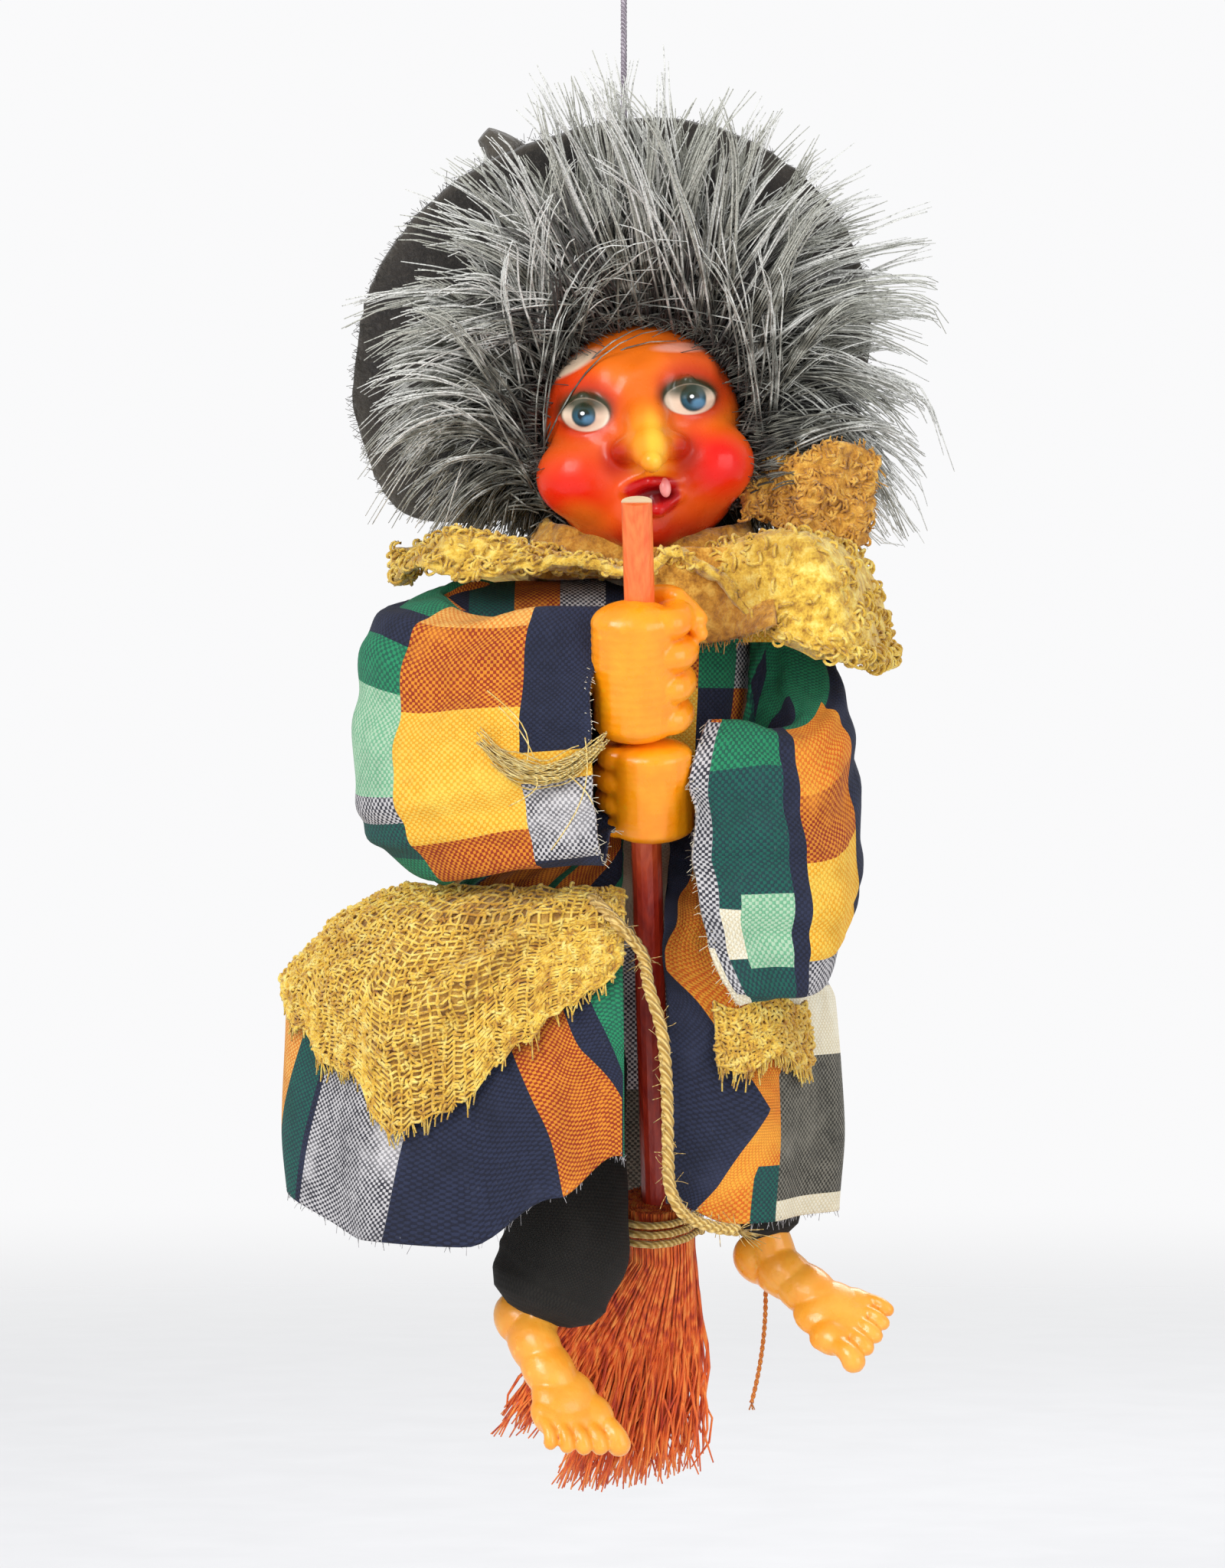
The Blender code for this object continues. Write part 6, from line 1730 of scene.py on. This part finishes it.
def collar_at(around, share):
    degrees = -180 + 360 * around
    turn = math.radians(degrees)
    outer = COLLAR_RADIUS * ease([row[:2] for row in COLLAR_SHAPE], degrees)
    rise = COLLAR_RADIUS * ease([(row[0], row[2]) for row in COLLAR_SHAPE], degrees)
    outer *= 1 + 0.06 * crease_at(around * 40, 0.5, 0.5)
    ruffle = 0.9 * MM * math.sin(turn * 9) * share
    ruffle += 0.9 * MM * share * crease_at(math.sin(turn) * 4, math.cos(turn) * 4, share)
    right_flap = bump_over(degrees, 31, 112, 22)
    left_flap = bump_over(degrees, -112, -38, 24)
    turned = ease(((0.45, 0), (1, 1)), share)
    fold = math.sin(math.pi * min(share / 0.9, 1))
    level = rise * share * share * (1 - right_flap) + right_flap * (5.2 * fold - 15.2 * turned) * MM
    level += left_flap * (2.6 * fold - 6.0 * ease(((0.72, 0), (1, 1)), share)) * MM
    bulge = (0.24 * right_flap + 0.10 * left_flap) * math.sin(math.pi * share)
    radius = COLLAR_HOLE + (outer - COLLAR_HOLE) * (share + bulge)
    place = Vector((math.sin(turn) * radius, -math.cos(turn) * radius, level))
    knob = 0.9 * MM * noise.noise(place * 420) * share
    knob += 0.35 * MM * noise.noise(place * 900)
    return Vector((HEAD_CENTRE.x + place.x, place.y, COLLAR_LEVEL + level + ruffle + knob))


def collar_normal(around, share):
    at = collar_at(around, share)
    along = collar_at(around + 0.002, share) - collar_at(around - 0.002, share)
    down = collar_at(around, min(share + 0.02, 1)) - collar_at(around, share - 0.02)
    return at, down.cross(along).normalized()


def curl(rng, at, out, reach):
    """One open loop of bouclé yarn that stands on a cloth."""
    side = out.orthogonal().normalized()
    side.rotate(Matrix.Rotation(rng.uniform(0, math.tau), 3, out))
    over = out.cross(side) * rng.uniform(-0.6, 0.6)
    turns = [math.radians(-40 + 260 * k / 8) for k in range(9)]
    return [at + (side * math.cos(a) + out * math.sin(a) * 0.85 + over * math.cos(a * 0.5)) * reach
            for a in turns]


def collar(wool, shawl_wool):
    neck = shawl_neck(shawl_wool)
    piece, area, length = cloth("boucle_collar", 320, 50, collar_at, "torso", [wool],
                                closed=True, thick=1.7 * MM)
    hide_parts("collar")
    rng = random.Random(17)
    loops = []
    for _ in range(3600):
        around = rng.random()
        degrees = -180 + 360 * around
        flap = max(bump_over(degrees, 30, 114, 14), bump_over(degrees, -116, -34, 16))
        if rng.random() > 0.25 + 0.75 * flap:
            continue
        share = 1 - 0.96 * rng.random() ** (1.2 + 0.5 * flap)
        at, out = collar_normal(around, share)
        if rng.random() < 0.3:
            out = -out
        at = at + out * 0.8 * MM
        out = (out + scatter(rng, 0.4)).normalized()
        if share > 0.93:
            turn = math.radians(degrees)
            out = (out + Vector((math.sin(turn), -math.cos(turn), -flap)) * 1.3).normalized()
        loops.append(curl(rng, at, out, rng.uniform(0.45, 0.85 + 0.45 * flap) * MM))
    curls = strands("collar_curls", loops, 0.28 * MM, wool, "torso", 5)


def shawl_neck(wool):
    """The shawl's inner turn, which stands up round the neck behind the chin."""

    def at(around, down):
        turn = math.tau * around
        behind = 0.5 - 0.5 * math.cos(turn)
        top = -105.8 + 5.4 * behind
        level = (top + (-113.5 - top) * down) * MM
        bulge = 1.2 * math.sin(math.pi * min(down * 1.1, 1))
        crease = crease_at(math.sin(turn) * 4, math.cos(turn) * 4, down * 3)
        wide = (16.6 + bulge + 1.1 * crease + 3.0 * down) * MM
        deep = (9.6 + bulge + 1.1 * crease + 1.0 * down) * MM
        return Vector((HEAD_CENTRE.x + 0.6 * MM + wide * math.sin(turn),
                       1.5 * MM - deep * math.cos(turn), level + 0.5 * MM * crease))

    return cloth("shawl_neck", 120, 20, at, "torso", [wool], closed=True, thick=0.9 * MM)[0]


def shawl_front(wool):
    """The shawl's inner layer, which hangs from the neck over the chest."""

    def at(across, down):
        x = (1.0 + 24.0 * across) * MM + HEAD_CENTRE.x - 3.3 * MM
        y = -(15.0 + 7.0 * across * down + 2.6 * math.sin(across * 7 + 1) * down) * MM
        hem = -121.5 - 3.0 * math.sin(math.pi * across)
        z = (-108.5 + (hem + 108.5) * down) * MM
        crease = 0.7 * MM * crease_at(across * 6, down * 5, 2.2)
        return Vector((x, y + crease, z))

    piece, area, length = cloth("shawl_front", 60, 44, at, "torso", [wool], thick=1.0 * MM)
    edge = [at(n / 40, 1.0) for n in range(41)]
    ends = fray("shawl_fringe", 68, edge, [Vector((0, 0, -1))] * 41, 120, 1.3 * MM, 0.11 * MM,
                wool, "torso")


def yoke(cloths):
    """Plaid cloth over both shoulders, between the collar and the sleeves."""

    def at(across, around):
        x = -33.5 * MM + 68.5 * MM * across
        spread = abs(across - 0.5) * 2
        top = -113.6 * MM - 2.4 * MM * spread**2.5
        turn = math.pi * (around - 0.5) * 1.12
        depth = (14.2 - 3.0 * spread**2) * MM
        drop = (10.0 - 2.5 * spread) * MM
        crease = 0.5 * MM * crease_at(across * 7, around * 6, 3.3)
        return Vector((x, depth * math.sin(turn), top - drop * (1 - math.cos(turn)) + crease))

    def kind(across, around):
        column = int(across * 9)
        front = around < 0.5
        names = ("navy", "teal", "rust", "grey", "navy", "rust", "green", "yellow", "green")
        return names[column] if front else names[::-1][column]

    piece, area, length = cloth("shoulder_yoke", 90, 44, at, "torso", cloths, kind)


# side, back, up and half height as shares of its length
SCARF_END = ((0.00, 0.00, 0.00, 0.13), (0.30, 0.04, 0.07, 0.17), (0.62, 0.02, 0.10, 0.16),
             (1.00, 0.12, 0.06, 0.12))
SCARF_LENGTH = 21.5 * MM


def scarf_end(wool):
    start = HEAD_CENTRE + Vector((18.0 * 0.93, 18.6 * (0.10 - 0.50), -20.0 * 0.50)) * MM
    rows = smooth_rows(SCARF_END, 12)

    def at(along, height):
        side, back, up, half = row_at(rows, along)
        centre = start + Vector((side, back, up)) * SCARF_LENGTH
        size = half * SCARF_LENGTH
        top = size + (2.4 + 1.3 * math.sin(along * 9 + 0.6)) * MM
        foot = -size - (1.5 + 5.0 * ease(((0.2, 0), (0.75, 1)), along)) * MM
        foot += 1.0 * MM * math.sin(along * 13)
        rise = foot + (top - foot) * height
        rag = 1.3 * MM * crease_at(height * 7, 0.4, 5)
        ripple = 1.8 * MM * crease_at(along * 5, height * 3.5, 9)
        slant = (2.2 * (height - 0.5) * along) * MM + rag * along
        return centre + Vector((slant, ripple + 1.2 * MM * math.sin(along * 8), rise))

    piece, area, _ = cloth("scarf_tail", 60, 36, at, "head", [wool], thick=1.5 * MM)
    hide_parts("scarf_end")
    edge = [at(1.0, n / 30) for n in range(31)] + [at(1 - n / 40, 1.0) for n in range(41)]
    way = [at(1.0, n / 30) - at(0.95, n / 30) for n in range(31)]
    way += [at(1 - n / 40, 1.0) - at(1 - n / 40, 0.9) for n in range(41)]
    ends = fray("scarf_fringe", 65, edge, way, 160, 1.8 * MM, 0.13 * MM, wool, "head", 0.2)
    rng = random.Random(66)
    loops = []
    for _ in range(620):
        along, height = rng.random(), rng.random()
        spot = at(along, height)
        out = (at(min(along + 0.02, 1), height) - at(max(along - 0.02, 0), height)).cross(
            at(along, min(height + 0.02, 1)) - at(along, max(height - 0.02, 0))).normalized()
        out = out if rng.random() < 0.65 else -out
        out = (out + scatter(rng, 0.4)).normalized()
        loops.append(curl(rng, spot + out * 0.7 * MM, out, rng.uniform(0.4, 0.85) * MM))
    curls = strands("scarf_curls", loops, 0.25 * MM, wool, "head", 5)


# Body, arms and legs


def stuffed(name, rows, material, body, node, rough, steps=8):
    """A stuffed cloth limb: rows of x, y, z, half width and half depth."""
    ring = 48
    fine = smooth_rows(rows, steps)
    first, last = fine[0], fine[-1]
    dome, base = [], []
    for degrees in (80, 55, 28):
        a = math.radians(degrees)
        for end, group, sign in ((first, dome, -1), (last, base, 1)):
            toward = (first[:3] - fine[1][:3]) if sign < 0 else (last[:3] - fine[-2][:3])
            toward = toward / np.linalg.norm(toward)
            centre = end[:3] + toward * end[3] * 0.55 * math.sin(a)
            group.append(np.array((*centre, end[3] * math.cos(a), end[4] * math.cos(a))))
    fine = dome + fine + base[::-1]
    points = []
    for n, row in enumerate(fine):
        before, after = fine[max(n - 1, 0)], fine[min(n + 1, len(fine) - 1)]
        way = Vector(after[:3] - before[:3]).normalized()
        side = RIGHT if abs(way.x) < 0.8 else Vector((0, 1, 0))
        u = square_to(side, way)
        v = way.cross(u)
        for i in range(ring):
            turn = math.tau * i / ring
            c, s = math.cos(turn), math.sin(turn)
            crease = crease_at(c * 1.5, s * 1.5, n * 0.22)
            out = rough * crease
            points.append(Vector(row[:3]) + u * c * (row[3] + out) + v * s * (row[4] + out))
    faces = tube_faces(ring, len(fine) - 1)
    uvs = [(i % ring * 1.2 * MM, i // ring * 0.8 * MM) for i in range(len(points))]
    piece = add_piece(name, points, faces, material, body, uvs=uvs)
    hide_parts(node)


# down, half width and half depth, as shares of the body
BODY_SHARES = ((0.00, 0.50, 0.68), (0.06, 0.74, 0.82), (0.18, 1.00, 0.94), (0.34, 0.98, 1.00),
               (0.52, 0.90, 0.98), (0.74, 0.86, 0.92), (0.88, 0.98, 1.00), (0.96, 0.92, 0.88),
               (1.00, 0.74, 0.62))
LEGS = {
    # hip's side, length, hem's half width, then shares: side, forward, down, half width
    "right": (-7.2 * MM, 58.0 * MM, 10.6 * MM,
              ((0.000, 0.00, 0.00, 0.62), (-0.010, 0.05, 0.28, 0.74), (-0.030, 0.11, 0.56, 0.88),
               (-0.045, 0.15, 0.86, 1.00), (-0.095, 0.16, 1.00, 0.96))),
    "left": (16.3 * MM, 47.0 * MM, 5.8 * MM,
             ((0.000, 0.00, 0.00, 1.05), (0.030, 0.02, 0.28, 1.14), (0.075, 0.04, 0.56, 1.10),
              (0.130, 0.06, 0.84, 1.04), (0.165, 0.06, 1.00, 0.98))),
}
HIP_LEVEL = -174.6 * MM


def body_rows(outset, first=0.0, last=1.0):
    rows = []
    for down, wide, deep in BODY_SHARES:
        if first <= down <= last:
            lean = (BODY_SIDE - HEAD_CENTRE.x) * down
            rows.append((HEAD_CENTRE.x + lean, 0, BODY_TOP - BODY_HEIGHT * down,
                         16.5 * MM * wide + outset, 11.5 * MM * deep + outset))
    return rows


def torso(cloths):
    muslin = weave_material("body_muslin", (0.52, 0.44, 0.32), (0.62, 0.54, 0.42), pitch=0.3)
    rows = body_rows(-0.3 * MM)
    stuffed("stuffed_body", rows, muslin, "torso", "body", 0.2 * MM)
    coat_rows = smooth_rows(body_rows(0.9 * MM, 0.05, 0.75), 14)

    def coat(around, along):
        row = row_at(coat_rows, along)
        turn = math.tau * around
        pleat = 0.25 * MM * math.sin(turn * 16) * (0.3 + along)
        return Vector((row[0] + (row[3] + pleat) * math.cos(turn),
                       row[1] + (row[4] + pleat) * math.sin(turn), row[2]))

    def coat_kind(around, along):
        column = int(around * 12) % 4
        return (("navy", "rust", "green", "grey") if along < 0.5
                else ("teal", "yellow", "navy", "rust"))[column]

    piece, area, length = cloth("bodice", 120, 40, coat, "torso", cloths, coat_kind,
                                closed=True, thick=0.5 * MM)
    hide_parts("jacket")
    for side_name, sign in (("right", -1), ("left", 1)):
        start = Vector((BODY_SIDE + sign * SLEEVE_START, 0, SHOULDER_LEVEL))
        rows = [(*start, 3.2 * MM, 3.2 * MM)]
        for out, forward, down, *halves in SLEEVES[side_name][1:4]:
            at = start + Vector((sign * out, -forward, -down)) * SLEEVE_REACH
            at.z += SLEEVE_REACH * halves[2] * 0.25
            rows.append((*at, 3.3 * MM, 3.3 * MM))
        end = FISTS[side_name][0] + RIGHT * sign * (FIST_HALF_WIDTH + 11.0 * MM)
        end.y += 4.2 * MM
        rows.append((*end, 3.2 * MM, 3.2 * MM))
        stuffed(side_name + "_padded_arm", rows, muslin, "torso", side_name + "_arm",
                0.15 * MM)


def legs():
    jersey = weave_material("black_jersey", (0.007, 0.006, 0.005), (0.015, 0.013, 0.010),
                            pitch=0.30, mottle=0.3, lint=0.06)
    for side_name, (hip, length, hem, shares) in LEGS.items():
        rows = []
        for side, forward, down, wide in shares:
            rows.append((hip + side * length, -forward * length, HIP_LEVEL - down * length,
                         hem * wide, hem * wide * 0.9))
        stuffed(side_name + "_stocking", rows, jersey, side_name + "_leg", side_name + "_leg",
                0.6 * MM, steps=12)


# Broom

BINDING_RADIUS = 6.4 * MM
BINDING_FOOT = 9.6 * MM
TUFT_END = Vector((-8.0, 15.0, -268.5)) * MM
TUFT_HALF_WIDTH = 24 * MM
TUFT_HALF_DEPTH = 9.5 * MM
FIBRES = 560
FIBRE_STEPS = 12
GOLDEN_ANGLE = math.pi * (3 - math.sqrt(5))


def broom(fibre, jute):
    finish_node("broomstick", stick_material())
    finish_node("broom_binding", jute)
    rng = random.Random(5)
    side = square_to(RIGHT, STICK_DOWN)
    back = STICK_DOWN.cross(side)
    paths, radii = [], []
    for n in range(FIBRES):
        radius = math.sqrt((n + 0.5) / FIBRES) * 0.95
        turn = n * GOLDEN_ANGLE
        u, v = radius * math.cos(turn), radius * math.sin(turn)
        spread = (side * u + back * v) * BINDING_RADIUS
        start = STICK_FOOT + STICK_DOWN * 0.2 * MM + spread
        neck = STICK_FOOT + STICK_DOWN * BINDING_FOOT + spread * 1.02
        target = TUFT_END + Vector((TUFT_HALF_WIDTH * u, TUFT_HALF_DEPTH * v, 0))
        reach = 1 - 0.20 * rng.random() ** 1.5 - 0.10 * max(u, 0) ** 2
        if u < -0.15:
            reach *= 0.80 - 0.16 * rng.random()
        end = neck + (target - neck) * reach
        wave = Vector((rng.gauss(0, 1), rng.gauss(0, 1), 0)) * 1.1 * MM
        phase = rng.uniform(0, math.tau)
        path = [start, start.lerp(neck, 0.5), neck]
        for k in range(1, FIBRE_STEPS - 2):
            t = k / (FIBRE_STEPS - 3)
            spot = neck.lerp(end, t) + wave * math.sin(phase + t * 11) * t
            spot += side * u * 0.8 * MM * math.sin(math.pi * t)
            path.append(spot)
        paths.append(path)
        thick = 0.24 * MM * rng.uniform(0.7, 1.2)
        radii.append([thick] * (FIBRE_STEPS - 2) + [0.20 * MM, 0.12 * MM])
    tuft = strands("broom_fibres", paths, radii, fibre, "broom", 4)
    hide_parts("broom_bristles")


def foot_thread():
    """The loose end of the orange thread that closes the left stocking."""
    orange = string_material("orange_thread", (0.70, 0.15, 0.01), (0.96, 0.38, 0.04), 1200.0)
    low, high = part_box("foot_thread")
    thread = 0.42 * MM
    first = Vector((high[0] - thread, (low[1] + high[1]) / 2, high[2]))
    last = Vector((low[0] + thread, (low[1] + high[1]) / 2, low[2]))
    middle = first.lerp(last, 0.5) + Vector((1.6, 0.4, 0)) * MM
    path = bow(first, middle, last, 60)
    piece = twisted("orange_foot_thread", path, thread, 2, 9, orange, "left_foot")
    ends = []
    for n in range(5):
        way = Vector((math.cos(n * 1.3), math.sin(n * 1.3), -2.2)).normalized() * 1.3 * MM
        ends.append([last, last + way * 0.5, last + way])
    strands("orange_thread_end", ends, 0.12 * MM, orange, "left_foot")
    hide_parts("foot_thread")


def main():
    camera_and_light()
    stage()
    jute = string_material("jute_fibre", (0.42, 0.23, 0.035), (0.90, 0.66, 0.24), 520.0)
    wool = wool_material("boucle_wool", (0.40, 0.19, 0.018), (0.80, 0.51, 0.055),
                         (0.95, 0.76, 0.20))
    straw = wool_material("burlap_yarn", (0.46, 0.20, 0.018), (0.84, 0.54, 0.060),
                          (0.96, 0.78, 0.22))
    # The ground under the open weave, dark as painted shade between the yarns.
    shade_ground_wool = wool_material("burlap_ground", (0.14, 0.055, 0.008), (0.42, 0.21, 0.025),
                              (0.66, 0.42, 0.09))
    shawl_wool = wool_material("shawl_wool", (0.30, 0.115, 0.010), (0.62, 0.29, 0.028),
                               (0.84, 0.50, 0.09))
    plastic = plastic_material("orange_plastic", (0.98, 0.285, 0.001), (0.56, 0.070, 0.001),
                               (0.98, 0.41, 0.008))
    foot_plastic = plastic_material("foot_plastic", (0.94, 0.34, 0.020), (0.55, 0.085, 0.004),
                                    (0.98, 0.49, 0.07))
    torn_fibre = string_material("torn_fibre", (0.66, 0.43, 0.09), (0.98, 0.82, 0.36), 520.0)
    hanging_cord()
    front_cord(jute)
    head()
    hat(felt_material())
    wig()
    hands(plastic)
    feet(foot_plastic)
    cloths = plaid_cloths()
    torso(cloths)
    legs()
    sleeves(cloths, torn_fibre)
    skirt(cloths)
    burlap(straw, shade_ground_wool)
    yoke(cloths)
    shawl_front(shawl_wool)
    collar(wool, shawl_wool)
    scarf_end(shawl_wool)
    broom(fibre_material(), jute)
    finish_node("neck_peg", wood_material())
    wire = wire_material()
    finish_node("shoulder_wire", wire)
    finish_node("hip_wire", wire)
    foot_thread()


main()
